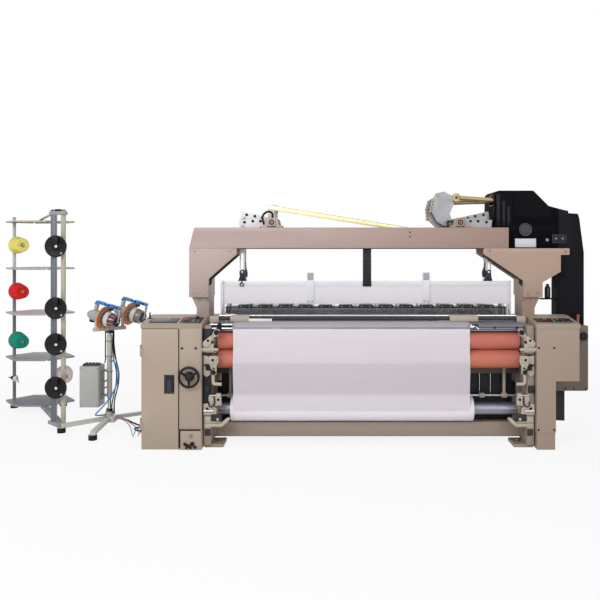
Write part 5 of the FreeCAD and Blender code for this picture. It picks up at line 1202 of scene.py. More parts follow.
@dataclass
class Sley:
    """The rocking sley with its relay nozzles and main nozzle, and the reed."""

    shop: Workshop
    half: float = 1150.0
    foot: float = 920.0
    top: float = 1035.0
    wall: float = -110.0
    clamp_pitch: float = 165.0
    clamps: int = 13

    def build(self) -> None:
        """Builds the sley and the reed."""
        self.shop.refined("sley", Finishes.ALUMINIUM, 1.5)
        self.reed()
        self.relay_nozzles()
        self.main_nozzle()

    def reed(self) -> None:
        """Makes the profiled dents, the cap and the foot, and the clamps along the cap."""
        shop, y = self.shop, self.wall
        dent = [
            (y - 3.6, self.foot), (y + 3.6, self.foot), (y + 3.6, self.top - 12), (y - 3.6, self.top - 12),
            (y - 3.6, self.foot + 68), (y - 1.0, self.foot + 62), (y - 1.0, self.foot + 50), (y - 3.6, self.foot + 44)]
        first = 22 - self.half
        count = int((2 * self.half - 44) / WARP_PITCH)
        piece = shop.prism(dent, Plane.YZ, first, first + 1.1, 0.0)
        shop.row(piece, (WARP_PITCH, 0, 0), count)
        shop.standing_for("reed_dents", piece, "reed", Finishes.DARK)
        rails = [
            shop.prism([
                (y - 8, self.top - 12), (y - 6, self.top - 13), (y + 6, self.top - 13), (y + 8, self.top - 12),
                (y + 8, self.top - 1), (y - 8, self.top - 1)], Plane.YZ, -self.half, self.half, 1.0),
            shop.prism(box_outline(y - 4, self.foot - 0.5, y + 4, self.foot + 23), Plane.YZ, -self.half, self.half, 0.8)
        ]
        for side in (-1, 1):
            low, high = sorted((side * (self.half - 20), side * self.half))
            rails.append(shop.block((low, y - 4, self.foot), (high, y + 4, self.top - 6), 1.0))
        shop.fitted("reed_rails", rails, Finishes.DARK, "dark_steel", "sley")
        start = -self.clamp_pitch * (self.clamps - 1) / 2
        clamp = shop.prism([
            (start - 66, self.top - 14), (start + 66, self.top - 14), (start + 66, self.top - 9),
            (start + 52, self.top + 15.5), (start - 52, self.top + 15.5),
            (start - 66, self.top - 9)], Plane.XZ, -124, -118.4, 1.2)
        shop.row(clamp, (self.clamp_pitch, 0, 0), self.clamps)
        shop.fitted("reed_clamps", clamp, Finishes.MOTOR, "dark_steel", "sley")
        places = [(start + self.clamp_pitch * i + away, -123.4, self.top - 1)
                  for i in range(self.clamps) for away in (-34, 34)]
        shop.fitted("reed_clamp_screws", shop.bolts(places, FRONT, 5), Finishes.BOLT, "dark_steel", "sley")

    def relay_nozzles(self) -> None:
        """Adds the row of relay nozzles in front of the reed, each on its block."""
        shop, count, pitch = self.shop, 31, 72.0
        start = -pitch * (count - 1) / 2
        tube = shop.rod((start, -126, self.foot - 4), (start, -126, self.foot + 15), 1.8, 10, 0.5)
        block = shop.block((start - 9, -139, self.foot - 30), (start + 9, -119, self.foot - 3), 1.2)
        shop.row(tube, (pitch, 0, 0), count)
        shop.row(block, (pitch, 0, 0), count)
        shop.fitted("relay_nozzles", tube, Finishes.CHROME, "bright_steel", "sley")
        shop.fitted("relay_blocks", block, Finishes.SATIN_BLACK, "black_plastic", "sley")

    def main_nozzle(self) -> None:
        """Adds the pair of main nozzles at the sley's left end."""
        shop = self.shop
        tubes = [shop.rod((-1148, -128, z), (-1058, -128, z), 4, 20) for z in (956, 968)]
        bodies = [shop.rod((-1150, -128, z), (-1118, -128, z), 6.5, 24) for z in (955, 969)]
        bodies.append(shop.block((-1148, -137, 922), (-1128, -121, 976), 1.5))
        shop.fitted("main_nozzles", tubes, Finishes.CHROME, "bright_steel", "sley")
        shop.fitted("main_nozzle_bodies", bodies, Finishes.BRASS, "rod_brass", "sley")


@dataclass
class Healds:
    """The heald frames, the healds that they hold, their hangers, and the yarns of the shed."""

    shop: Workshop
    first: float = -50.0
    pitch: float = 38.0
    middle: float = 945.0
    half_width: float = 1120.0
    window: float = 152.0
    hanger: float = 1020.0
    heald_pitch: float = 9.2

    def places(self, word: str) -> list[float]:
        """Gives the fore and aft places of the frames in a set."""
        start = 0 if word == "front" else 2
        return [self.first + self.pitch * (start + i) for i in range(2)]

    def build(self) -> None:
        """Builds both sets."""
        for word in ("front", "back"):
            self.shop.refined("heald_frames_" + word, Finishes.ALUMINIUM, 0.8)
            self.wires(word)
            self.harness(word)
            self.shed(word)

    def wires(self, word: str) -> None:
        """Fills the frames' windows with flat healds, each with its eye."""
        shop, level, rows = self.shop, self.middle + REST[word], []
        for y in self.places(word):
            outline = [(-0.9, -self.window), (0.9, -self.window), (0.9, -8), (2.0, 0), (0.9, 8), (0.9, self.window),
                       (-0.9, self.window), (-0.9, 8), (-2.0, 0), (-0.9, -8)]
            first = 10 - self.half_width
            wire = shop.prism([(first + x, level + z) for x, z in outline], Plane.XZ, y - 0.4, y + 0.4, 0.0)
            rows.append(shop.row(wire, (self.heald_pitch, 0, 0), int((2 * self.half_width - 20) / self.heald_pitch)))
        shop.fitted("healds_" + word, rows, Finishes.CHROME, "heald_aluminium", "heald_frames_" + word)

    def harness(self, word: str) -> None:
        """Dresses the hangers: white straps, black hook blocks and a connector."""
        shop, base, body = self.shop, self.middle + REST[word], "heald_frames_" + word
        straps, hooks, joints, tops = [], [], [], []
        for y in self.places(word):
            front = y - 9.4
            for side in (-1, 1):
                x = side * self.hanger
                straps.append(shop.prism([
                    (x - 21, base + 420), (x - 21, base + 640), (x - 12, base + 668), (x + 12, base + 668),
                    (x + 21, base + 640), (x + 21, base + 420), (x + 8, base + 404), (x + 8, base + 560),
                    (x - 8, base + 560), (x - 8, base + 404)], Plane.XZ, front - 3.2, front, 0.8))
                hooks.append(shop.prism([
                    (x - 30, base + 288), (x + 30, base + 288), (x + 33, base + 320), (x + 22, base + 366),
                    (x + 18, base + 424), (x - 14, base + 424), (x - 18, base + 372),
                    (x - 34, base + 330)], Plane.XZ, y - 13, y + 5.2, 3.0))
                tops.append(shop.block((x - 14.5, y - 10.6, base + 744), (x + 14.5, y - 9.1, base + 793.4), 0.5))
                joints.append(shop.rod((x, y - 16, base + 404), (x, y + 7, base + 404), 9, 24))
        shop.fitted("harness_straps_" + word, straps, Finishes.LABEL, "heald_aluminium", body)
        shop.fitted("harness_hooks_" + word, hooks, Finishes.SATIN_BLACK, "black_plastic", body)
        shop.fitted("harness_tops_" + word, tops, Finishes.PLATE, "heald_aluminium", body)
        shop.fitted("harness_pins_" + word, joints, Finishes.STEEL, "bright_steel", body)
        if word == "front":
            self.ring_handle(body, self.places(word)[0], base)

    def ring_handle(self, body: str, y: float, base: float) -> None:
        """Hangs the small ring before the left hook block."""
        shop, x = self.shop, -self.hanger
        ring = shop.ring((x, -104, base + 302), BACK, 14, 4)
        stem = shop.piped(
            [(x, y - 10, base + 352), (x, -92, base + 352), (x, -104, base + 350), (x, -104, base + 314)], 3.5)
        shop.fitted("harness_ring", [ring, stem], Finishes.DARK, "bright_steel", body)

    def shed(self, word: str) -> None:
        """Runs the warp yarns from the fell to the healds, and on to the drop wires."""
        shop, body = self.shop, "heald_frames_" + word
        level, step = self.middle + REST[word], 4 * WARP_PITCH
        fell, race, drop = (-203.0, 940.4), (-98.0, 945.2), (262.0, 951.0)
        for part, line, last, near in (("front_yarns", (race, fell), 770, 0), ("rear_yarns", (drop,), 1034 - 20, 1)):
            rows = []
            for turn, y in enumerate(self.places(word)):
                offset = (0 if word == "front" else 2) + turn
                x = 22 - 1150 + 3.1 + WARP_PITCH * (20 + offset)
                outline = [(y, level - 0.35), (y, level + 0.35), *((a, b + 0.35) for a, b in line),
                           *((a, b - 0.35) for a, b in line[::-1])]
                yarn = shop.prism(outline, Plane.YZ, x - 0.5, x + 0.5, 0.0)
                rows.append(shop.row(yarn, (step, 0, 0), int((last - x) / step)))
            piece = shop.strung(f"{part}_{word}", rows)
            metres((0, self.places(word)[near], 940))
            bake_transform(piece)


@dataclass
class LeverMotion:
    """The cranks, the coupling bars, the dobby's rods and the pillow blocks they turn in."""

    shop: Workshop
    pivot_x: float = 770.0
    pivot_z: float = 1722.0
    arm: float = 193.0
    lift_arm: float = 250.0
    places: dict[str, Pair] = field(default_factory=lambda: {"front": (-50.0, -12.0), "back": (26.0, 64.0)})
    holes: tuple[Pair, ...] = (
        (230.0, 36.0), (230.0, -33.0), (160.0, 34.0), (160.0, -33.0), (98.0, 26.0), (98.0, -30.0))

    def build(self) -> None:
        """Builds the whole motion."""
        shop = self.shop
        for word in ("front", "back"):
            for side in ("left", "right"):
                # The left cranks get the lighter copy of the plate steel as painted light.
                shop.refined(
                    f"{side}_cranks_{word}", Finishes.PLATE if side == "right" else Finishes.PLATE_PAINTED_LIGHT, 0.7, 1)
                self.crank_details(side, word)
            # The back coupling bars get dark steel as painted shade under the yellow front bars.
            shop.refined(f"coupling_bars_{word}", Finishes.ZINC if word == "front" else Finishes.DARK, 1.0)
            self.rods(word)
        self.blocks()

    def crank_point(self, side: str, word: str, x: float, z: float) -> Pair:
        """Gives where a point of a level crank stands at rest."""
        tilt = math.atan(REST[word] / self.lift_arm) * (-1 if side == "right" else 1)
        sign = 1 if side == "right" else -1
        turned_x = x * math.cos(tilt) + z * math.sin(tilt)
        turned_z = -x * math.sin(tilt) + z * math.cos(tilt)
        return sign * self.pivot_x + turned_x, self.pivot_z + turned_z

    def crank_details(self, side: str, word: str) -> None:
        """Adds each crank's bushes and screws and, on the right, the small link blocks."""
        shop, body = self.shop, f"{side}_cranks_{word}"
        sign = 1 if side == "right" else -1
        screws, blocks, holes = [], [], []
        for y in self.places[word]:
            for x, z in self.holes:
                px, pz = self.crank_point(side, word, sign * x, z)
                holes.append(shop.rod((px, y + 4.4, pz), (px, y - 4.4, pz), 12, 24, 0.5))
            px, pz = self.crank_point(side, word, sign * 60, 24)
            screws.append((px, y - 3.8, pz))
            if side == "right":
                for step in range(4):
                    bx, bz = self.crank_point(side, word, -self.arm - 46 + step * 2, 64 + step * 27)
                    blocks.append(shop.block((bx - 12, y - 11, bz - 11.5), (bx + 12, y - 4, bz + 11.5), 2.0))
                    holes.append(shop.rod((bx, y - 11.4, bz), (bx, y - 8, bz), 5, 20, 0.4))
        shop.fitted(f"{side}_crank_screws_{word}", shop.bolts(screws, FRONT, 5), Finishes.BOLT, "lever_steel", body)
        if blocks:
            shop.fitted("link_blocks_" + word, blocks, Finishes.CREAM, "yellow_zinc", body)
        shop.fitted(f"{side}_crank_bushes_{word}", holes, Finishes.BLACK, "black_plastic", body)

    def rods(self, word: str) -> None:
        """Refines the dobby's rods, and adds the round eye bosses and lock nuts."""
        shop, body = self.shop, "dobby_rods_" + word
        shop.refined(body, Finishes.BRASS, 1.0)
        tilt = math.atan(REST[word] / self.lift_arm)
        pin = Vector((self.pivot_x - self.arm * math.cos(tilt) - self.arm * math.sin(tilt), 0,
                      self.pivot_z + self.arm * math.cos(tilt) - self.arm * math.sin(tilt)))
        aim = (Vector((1150, 0, 1905)) - pin).normalized()
        bosses, nuts, holes = [], [], []
        for y in self.places[word]:
            middle = pin + aim * 150
            bosses.append(shop.turned(
                [(0, 0), (0, 32), (2, 36), (15, 36), (17, 34), (17, 12), (14, 10), (14, 0)],
                (middle.x, y + 22.5, middle.z), FRONT, 48))
            holes.append(shop.rod((middle.x, y + 8.4, middle.z), (middle.x, y + 5, middle.z), 9.5, 28, 0.5))
            start, end = pin + aim * 172, pin + aim * 468
            bosses.append(shop.rod((start.x, y + 14, start.z), (end.x, y + 14, end.z), 17.5, 28, 3.0))
            nuts.append(
                shop.rod((end.x, y + 14, end.z), tuple(Vector((end.x, y + 14, end.z)) + aim * 12), 11.5, 6, 1.0))
        shop.fitted("rod_eye_bosses_" + word, bosses, Finishes.BRASS, "rod_brass", body)
        shop.fitted("rod_nuts_" + word, nuts, Finishes.BOLT, "rod_brass", body)
        shop.fitted("rod_eye_holes_" + word, holes, Finishes.BLACK, "black_plastic", body)

    def blocks(self) -> None:
        """Dresses the pillow blocks with round caps, base bolts and a lubrication line."""
        shop = self.shop
        shop.refined("crank_bearings", Finishes.GANTRY, 2.0)
        caps, dark, places = [], [], []
        for x in (-self.pivot_x, self.pivot_x):
            for y, way in ((-156, -1), (190, 1)):
                caps.append(shop.turned(
                    [(0, 0), (0, 33), (3, 33), (5, 30), (5, 24), (3, 22), (3, 12), (8, 11), (9, 8), (9, 0)],
                    (x, y, self.pivot_z), (0, way, 0), 40))
                dark.append(shop.turned(
                    [(3.05, 12.5), (3.7, 12.5), (3.7, 21.5), (3.05, 21.5)], (x, y, self.pivot_z), (0, way, 0), 40))
                dark.append(shop.rod((x, y + way * 8, self.pivot_z), (x, y + way * 9.6, self.pivot_z), 5.5, 20, 0.4))
            dark.append(shop.block((x - 36, -150.8, 1683.5), (x + 36, -149.9, 1690.5), 0.3, 1))
            places += [(x + away, y, 1693) for away in (-68, 68) for y in (-122, 160)]
        dark.append(shop.prism(
            [(664, 1680.2), (678, 1680.2), (678, 1722), (712, 1722), (712, 1738), (664, 1738)], Plane.XZ, -140, -112,
            2.0))
        shop.fitted("bearing_dark_rings", dark, Finishes.BLACK, "black_plastic")
        shop.fitted("bearing_caps", caps, Finishes.GANTRY, "gantry_paint")
        shop.fitted("pillow_block_bolts", shop.bolts(places, UP, 9), Finishes.BOLT, "bright_steel")
        x = -self.pivot_x
        line = shop.piped([
            (x - 58, -128, 1696), (x - 74, -128, 1730), (x - 80, -126, 1772), (x - 52, -124, 1806),
            (x - 20, -122, 1812), (x + 4, -121, 1800), (x + 6, -120, 1770), (x + 2, -120, 1757)], 9)
        shop.fitted("lubrication_line", line, Finishes.RUBBER, "black_plastic")


@dataclass
class Gantry:
    """The overhead beams, their heads and base castings, the cable duct and the guard."""

    shop: Workshop

    def build(self) -> None:
        """Builds the gantry and the guard."""
        shop = self.shop
        beams = shop.refined("gantry_beams", Finishes.GANTRY, 4.0, 3)
        for vertex in beams.data.vertices:
            place = vertex.co / MM
            if place.x < -1398:
                vertex.co.x = max(place.x, -1444 + (place.z - 1510) / 170 * 40) * MM
        for node in ("gantry_head_left", "gantry_head_right"):
            shop.refined(node, Finishes.HEAD, 3.0)
        self.base_bolts()
        self.gusset_shade_strips()
        self.guard()
        self.duct()

    def base_bolts(self) -> None:
        """Bolts the base castings and the gussets, and drills two holes in the front beam."""
        shop = self.shop
        feet = [(side * x, BASE_FACE, z) for side in (-1, 1) for x in (1302, 1368) for z in (948, 1088)]
        shop.fitted("column_bolts", shop.bolts(feet, FRONT, 11), Finishes.BOLT, "bright_steel")
        corners = [(-1110, 1490), (-1400, 1490), (-1400, 1150), (-1320, 1136), (1010, 1492), (1630, 1482),
                   (1402, 1150), (1320, 1136)]
        for word, y, way in (("front", -150, -1), ("rear", 190, 1)):
            heads = shop.bolts([(x, y, z) for x, z in corners], (0, way, 0), 9)
            shop.fitted("gusset_bolts_" + word, heads, Finishes.GANTRY, "gantry_paint")
        holes = [shop.turned([(0, 0), (0, 7), (0.8, 7), (0.8, 0)], (359, -150, z), FRONT, 20) for z in (1606, 1641)]
        shop.fitted("beam_holes", holes, Finishes.BLACK, "black_plastic")

    def gusset_shade_strips(self) -> None:
        """Adds dark strips along the gussets' inner slopes and under the front beam, as painted shade."""
        # Painted shade: dark strips where the gussets' inner faces and the beam's underside lie in shade.
        shop, strips = self.shop, []
        for outline in (
                [(961, 1462), (1284, 1245), (1284, 1200), (1262, 1222), (1262, 1248), (961, 1446)],
                [(-1055, 1460), (-1284, 1260), (-1284, 1200), (-1266, 1222), (-1266, 1252), (-1055, 1442)]):
            strips.append(shop.prism(outline, Plane.XZ, -112, -72, 2.0))
        edge = shop.block((-1055, -149.4, 1504.5), (961, -146, 1510.2), 0.8, 1)
        shop.fitted("gusset_shade_lips", [*strips, edge], Finishes.MOTOR, "dark_steel")

    def guard(self) -> None:
        """Dresses the white guard: a lighter top band, end posts with screws, and hinges."""
        shop = self.shop
        shop.refined("heald_guard", Finishes.GUARD, 1.0)
        band = shop.block((-1158, -93.6, 1196), (1158, -92.0, 1239), 0.4)
        shop.fitted("guard_top_band", band, Finishes.GUARD, "guard_white")
        posts = [shop.rod((x, -106, 884), (x, -106, 1246), 6) for x in (-1177, 1177)]
        clips = [shop.block((x - 9, -112, z - 8), (x + 9, -92, z + 8), 1.5)
                 for x in (-1177, 1177) for z in (905, 1060, 1225)]
        shop.fitted("guard_posts", posts, Finishes.CHROME, "bright_steel")
        shop.fitted("guard_clips", clips, Finishes.LABEL, "guard_white")
        screws = [(x, -104.2, z) for x in (-470, -440, 481, 513) for z in (1075, 1290)]
        shop.fitted("guard_guide_screws", shop.bolts(screws, FRONT, 5), Finishes.BOLT, "bright_steel")
        glides = [shop.block((x - 24, -106.5, 1250), (x + 24, -104, 1308), 1.0) for x in (-455, 497)]
        shop.fitted("guard_glides", glides, Finishes.BOX, "guard_white")

    def duct(self) -> None:
        """Makes the black centre duct that comes down from the front beam."""
        shop = self.shop
        body = shop.block((-24, -104, 1196), (45, -88.6, 1508), 3.0)
        cap = shop.block((-16, -108, 1462), (36, -86, 1509.5), 3.0)
        ribs = [shop.block((-26, -106, z), (47, -98, z + 5), 1.0) for z in evenly(1215, 1440, 7)]
        shop.fitted("centre_duct", [body, cap, *ribs], Finishes.SATIN_BLACK, "black_plastic")


@dataclass
class WarpSide:
    """The warp beam with its winding, the back rest on its levers, the warp and the drop wires."""

    shop: Workshop
    beam: Pair = (620.0, 480.0)
    rest: Pair = (650.0, 905.0)
    wound: float = 240.0
    half: float = 1072.0
    band: float = 3.3
    tilt: float = 0.3653
    slope: float = 0.041
    sheet_front: float = 262.0
    level: float = 949.5
    rows: int = 6
    row_pitch: float = 30.0
    first_row: float = 265.0
    wire_pitch: float = 13.8

    def build(self) -> None:
        """Builds the back of the loom."""
        shop = self.shop
        shop.refined("warp_beam", Finishes.ALUMINIUM, 2.0)
        self.flange_bolts()
        self.winding()
        shop.refined("tension_levers", Finishes.DARK, 2.0)
        shop.refined("backrest_roller", Finishes.CHROME, 1.5)
        self.collars()
        self.warp()
        self.drop_wires()

    def flange_bolts(self) -> None:
        """Puts a ring of bolts on each flange of the warp beam."""
        y, z = self.beam
        for side, word in SIDES:
            places = [(side * 1096, y + radius * math.cos(turn), z + radius * math.sin(turn))
                      for radius, count in ((120, 6), (300, 12)) for turn in around(count)]
            heads = self.shop.bolts(places, (side, 0, 0), 9)
            self.shop.fitted("flange_ring_bolts_" + word, heads, Finishes.BOLT, "bright_steel", "warp_beam")

    def winding(self) -> None:
        """Winds the warp: a slightly ridged surface and coned ends."""
        shop, draw, end = self.shop, random.Random(9), 1079.0
        profile: list[Pair] = [(-end, 76), (-end, self.wound - 4), (2 - end, self.wound - 1)]
        profile += [(x, self.wound - draw.uniform(0.0, 1.0)) for x in evenly(6 - end, end - 6, 90)]
        profile += [(end - 2, self.wound - 1), (end, self.wound - 4), (end, 76)]
        piece = shop.turned(profile, (0, *self.beam), RIGHT, 112)
        shop.wrapped(piece, (0, *self.beam), RIGHT, self.wound)
        shop.standing_for("wound_warp", piece, "warp_winding", Finishes.WARP, 50.0)

    def collars(self) -> None:
        """Puts a clamp collar on each end of the tension levers' shaft."""
        shop = self.shop
        collars = [shop.turned([(0, 25.2), (0, 38), (1.5, 40), (14, 40), (15.5, 38), (15.5, 25.2)],
                               (side * 1116, 520, 840), (side, 0, 0), 40) for side in (-1, 1)]
        shop.fitted("lever_collars", collars, Finishes.BOLT, "dark_steel", "tension_levers")

    def band_row(self, line: Sequence[Pair], thick: float = 0.8) -> bpy.types.Object:
        """Makes one band of warp along a line, and repeats it over the working width."""
        shop = self.shop
        outer, inner = [], []
        for index, (y, z) in enumerate(line):
            before, after = line[max(index - 1, 0)], line[min(index + 1, len(line) - 1)]
            run = Vector((after[0] - before[0], after[1] - before[1])).normalized()
            outer.append((y - run.y * thick / 2, z + run.x * thick / 2))
            inner.append((y + run.y * thick / 2, z - run.x * thick / 2))
        start = -self.half + self.band / 2
        piece = shop.prism(outer + inner[::-1], Plane.YZ, start - self.band / 2, start + self.band / 2, 0.0)
        return shop.row(piece, (WARP_PITCH, 0, 0), int((2 * self.half - self.band) / WARP_PITCH) + 1)

    def warp(self) -> None:
        """Runs the warp up to the back rest, over it and on to the drop wires."""
        shop = self.shop
        (beam_y, beam_z), (rest_y, rest_z) = self.beam, self.rest
        normal = Vector((math.cos(self.tilt), math.sin(self.tilt)))
        low = (beam_y + normal.x * (self.wound + 0.9), beam_z + normal.y * (self.wound + 0.9))
        reach = 61.3
        turns = evenly(self.tilt, math.pi / 2 + self.slope, 10)
        over = [(rest_y + reach * math.cos(turn), rest_z + reach * math.sin(turn)) for turn in turns]
        flat_end = (self.sheet_front, self.level + self.slope * (self.sheet_front - 235) + 0.8)
        for name, line in (("warp_rear_run", [low, over[0]]), ("warp_over_rest", over[::-1]),
                           ("warp_top_run", [flat_end, over[-1]])):
            piece = shop.strung(name, [self.band_row(line)])
            if name == "warp_over_rest":
                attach(piece, "tension_levers")
                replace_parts(piece, "warp_sheet")
            else:
                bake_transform(piece)

    def drop_wires(self) -> None:
        """Makes the warp stop unit: two side rails, contact bars and rows of drop wires."""
        shop, rails, bars, wires = self.shop, [], [], []
        for side in (-1, 1):
            low, high = sorted((side * 1112.0, side * 1194.5))
            rails.append(shop.prism(
                [(240, 868), (445, 868), (445, 990), (425, 1000), (260, 990), (240, 970)], Plane.YZ, low, high, 3.0))
        shop.standing_for("warp_stop_rails", rails, "drop_wire_unit", Finishes.ALUMINIUM)
        for row in range(self.rows):
            y = self.first_row + self.row_pitch * row
            level = self.level + self.slope * (y - 235)
            bars.append(shop.block((-1112, y - 1.6, level + 8), (1112, y + 1.6, level + 20), 0.6, 1))
            wire = shop.prism([
                (-1070, level - 72), (-1064, level - 72), (-1062.4, level - 20), (-1062.4, level + 22),
                (-1064, level + 26), (-1070, level + 26), (-1071.6, level + 22),
                (-1071.6, level - 20)], Plane.XZ, y - 0.25, y + 0.25, 0.0)
            wires.append(shop.row(wire, (self.wire_pitch, 0, 0), int(2130 / self.wire_pitch)))
        shop.fitted("contact_bars", bars, Finishes.CHROME, "bright_steel")
        shop.fitted("drop_wires", wires, Finishes.STEEL, "bright_steel")
        trays = [shop.block((-1112, y, 870), (1112, y + 4, 902), 1.0, 1) for y in (242, 438)]
        shop.fitted("warp_stop_trays", trays, Finishes.ALUMINIUM, "bright_steel")


@dataclass
class Dobby:
    """The overhead dobby, the cover of its belt and the grease bottle on its shelf."""

    shop: Workshop
    face: float = -85.0
    left: float = 1063.0

    def build(self) -> None:
        """Builds the dobby."""
        shop = self.shop
        shop.refined("dobby_housing", Finishes.GLOSS, 4.0, 3)
        shop.refined("dobby_belt_cover", Finishes.BELT, 4.0, 3)
        self.front()
        self.glass()
        self.window_lip()
        self.belt_side()
        self.bottle()

    def front(self) -> None:
        """Adds the raised strips, the bare plates and the screws on the front."""
        shop, face = self.shop, self.face
        strips = [shop.block((low, face - 7.5, 1690), (high, face - 0.1, top), 7.0, 4)
                  for low, high, top in ((1076, 1108, 1958), (1122, 1150, 1902), (1164, 1190, 1856))]
        shop.fitted("dobby_strips", strips, Finishes.RIB, "dobby_black")
        plates = [shop.block((1231, face - 2.2, 1518), (1404, face - 0.1, 1590), 0.8),
                  shop.block((1212, face - 2.0, 1884), (1250, face - 0.1, 1898), 0.6)]
        shop.fitted("dobby_plates", plates, Finishes.LABEL, "guard_white")
        cover = shop.prism(
            [(1207, 1700), (1560, 1700), (1560, 1826), (1500, 1846), (1372, 1966), (1207, 1966)], Plane.XZ, face - 3.0,
            face - 0.1, 2.5, 3)
        shop.fitted("dobby_lid", cover, Finishes.GLOSS, "dobby_black")
        places = [(x, face - 3.0, z) for x, z in ((1222, 1715), (1545, 1715), (1222, 1950), (1366, 1950), (1540, 1812))]
        places += [(x, face, z) for x, z in ((1078, 1530), (1200, 1530), (1574, 1530), (1078, 1655), (1574, 1655))]
        shop.fitted("dobby_screws", shop.bolts(places, FRONT, 6), Finishes.GLOSS, "dobby_black")
        panel = shop.block((1533, face - 9, 1550), (1656, face - 0.1, 1627), 4.0, 3)
        shop.fitted("dobby_display", panel, Finishes.BLACK, "black_plastic")
        rim = [shop.block((x0, face - 10.5, z0), (x1, face - 8.9, z1), 0.7) for x0, z0, x1, z1 in (
            (1538, 1554, 1651, 1558), (1538, 1619, 1651, 1623), (1538, 1558, 1542, 1619), (1647, 1558, 1651, 1619))]
        rim += [shop.turned(
            [(0.1, 11), (0.1, 15), (1.8, 14.5), (1.8, 11.5)], (x, face - 9, 1590), FRONT, 32) for x in (1566, 1622)]
        shop.fitted("dobby_display_rim", rim, Finishes.SCREEN, "black_plastic")
        lights = [shop.rod((x, face - 8.9, 1590), (x, face - 11, 1590), 6.5, 24, 0.8) for x in (1566, 1622)]
        shop.fitted("dobby_lights", lights, Finishes.BOLT, "guard_white")
        knob = shop.turned(
            [(0.1, 0), (0.1, 13), (2, 14), (4, 12), (5, 7), (12, 6), (12, 0)], (1496, face, 1578), FRONT, 32)
        shop.fitted("dobby_switch", knob, Finishes.BOLT, "black_plastic")

    def glass(self) -> None:
        """Makes the round inspection window with its bezel and screws."""
        shop, y = self.shop, self.face - 10
        place = (1315, y, 1664)
        bezel = shop.turned(
            [(0.1, 41), (0.1, 54), (2.5, 54), (4, 52.5), (4, 45), (2.5, 42.5), (0.5, 41)], place, FRONT, 56)
        shop.fitted("dobby_bezel", bezel, Finishes.SCREEN, "black_plastic")
        pane = shop.turned([(-5.6, 0), (-5.6, 41.6), (0.4, 41.6), (1.2, 30), (1.5, 0)], place, FRONT, 56)
        shop.fitted("dobby_pane", pane, Finishes.DARK, "dobby_black")
        places = [(1315 + 49 * math.cos(t), y - 3.8, 1664 + 49 * math.sin(t)) for t in around(6, 0.3)]
        shop.fitted("dobby_bezel_screws", shop.bolts(places, FRONT, 3.2), Finishes.DARK, "bright_steel")

    def window_lip(self) -> None:
        """Frames the window through which the rods enter."""
        shop, x = self.shop, self.left
        parts = [shop.block((x - 4, -68, 1862), (x - 0.1, 120, 1871.5), 1.0),
                 shop.block((x - 4, -68, 1944.5), (x - 0.1, 120, 1953), 1.0),
                 shop.block((x - 4, -68, 1872), (x - 0.1, -60.5, 1944), 1.0),
                 shop.block((x - 4, 112.5, 1872), (x - 0.1, 120, 1944), 1.0)]
        shop.fitted("rod_window_lip", parts, Finishes.BLACK, "dobby_black")

    def belt_side(self) -> None:
        """Adds the belt cover's seams, screws and side louvres."""
        shop, face = self.shop, self.face
        rim = [shop.block((1594, face - 2.5, z), (1795, face - 0.1, z + 10), 1.0) for z in (1096, 1462)]
        edge = shop.block((1594, face - 2.2, 900), (1602, face - 0.1, 1780), 1.0)
        shop.fitted("belt_cover_seams", [*rim, edge], Finishes.BELT, "dobby_black")
        places = [(x, face, z) for x in (1616, 1782) for z in (930, 1070, 1125, 1435)]
        places += [(1616, face, 1500), (1616, face, 1770), (1736, face, 1740)]
        shop.fitted("belt_cover_screws", shop.bolts(places, FRONT, 6), Finishes.BELT, "dobby_black")
        louvres = [shop.block((1798.4, -50, z), (1798.9, 84, z + 5), 0.2, 1) for z in evenly(960, 1080, 9)]
        shop.fitted("belt_cover_louvres", louvres, Finishes.DARK, "dobby_black")

    def bottle(self) -> None:
        """Makes the smoked grease bottle with its cap and bands, and the cover's lip and wedge."""
        shop, place = self.shop, (1520, -10, 1093)
        body = shop.turned(
            [(0, 0), (0, 18), (3, 22), (9, 23.8), (84, 23.8), (94, 21), (101, 14), (103, 10.5), (106, 10), (106, 0)],
            place, UP, 48)
        shop.standing_for("grease_bottle_body", body, "grease_bottle", Finishes.BOTTLE)
        cap = shop.turned([(104, 0), (104, 12), (105, 13), (117, 12.6), (119.5, 10), (119.5, 0)], place, UP, 32)
        shop.fitted("grease_cap", cap, Finishes.BLACK, "black_plastic")
        bands = [shop.ring((1520, -10, 1093 + z), UP, 24.4, 1.1) for z in (26, 74)]
        shop.fitted("grease_bottle_bands", bands, Finishes.BOLT, "bright_steel")
        lip = shop.block((1446, -64, 1086), (1589, -60, 1094), 1.0)
        wedge = shop.prism([(1556, 1318), (1589.8, 1318), (1589.8, 1180), (1572, 1204)], Plane.XZ, -80, 20, 2.0)
        shop.fitted("belt_cover_side_parts", [lip, wedge], Finishes.BELT, "dobby_black")


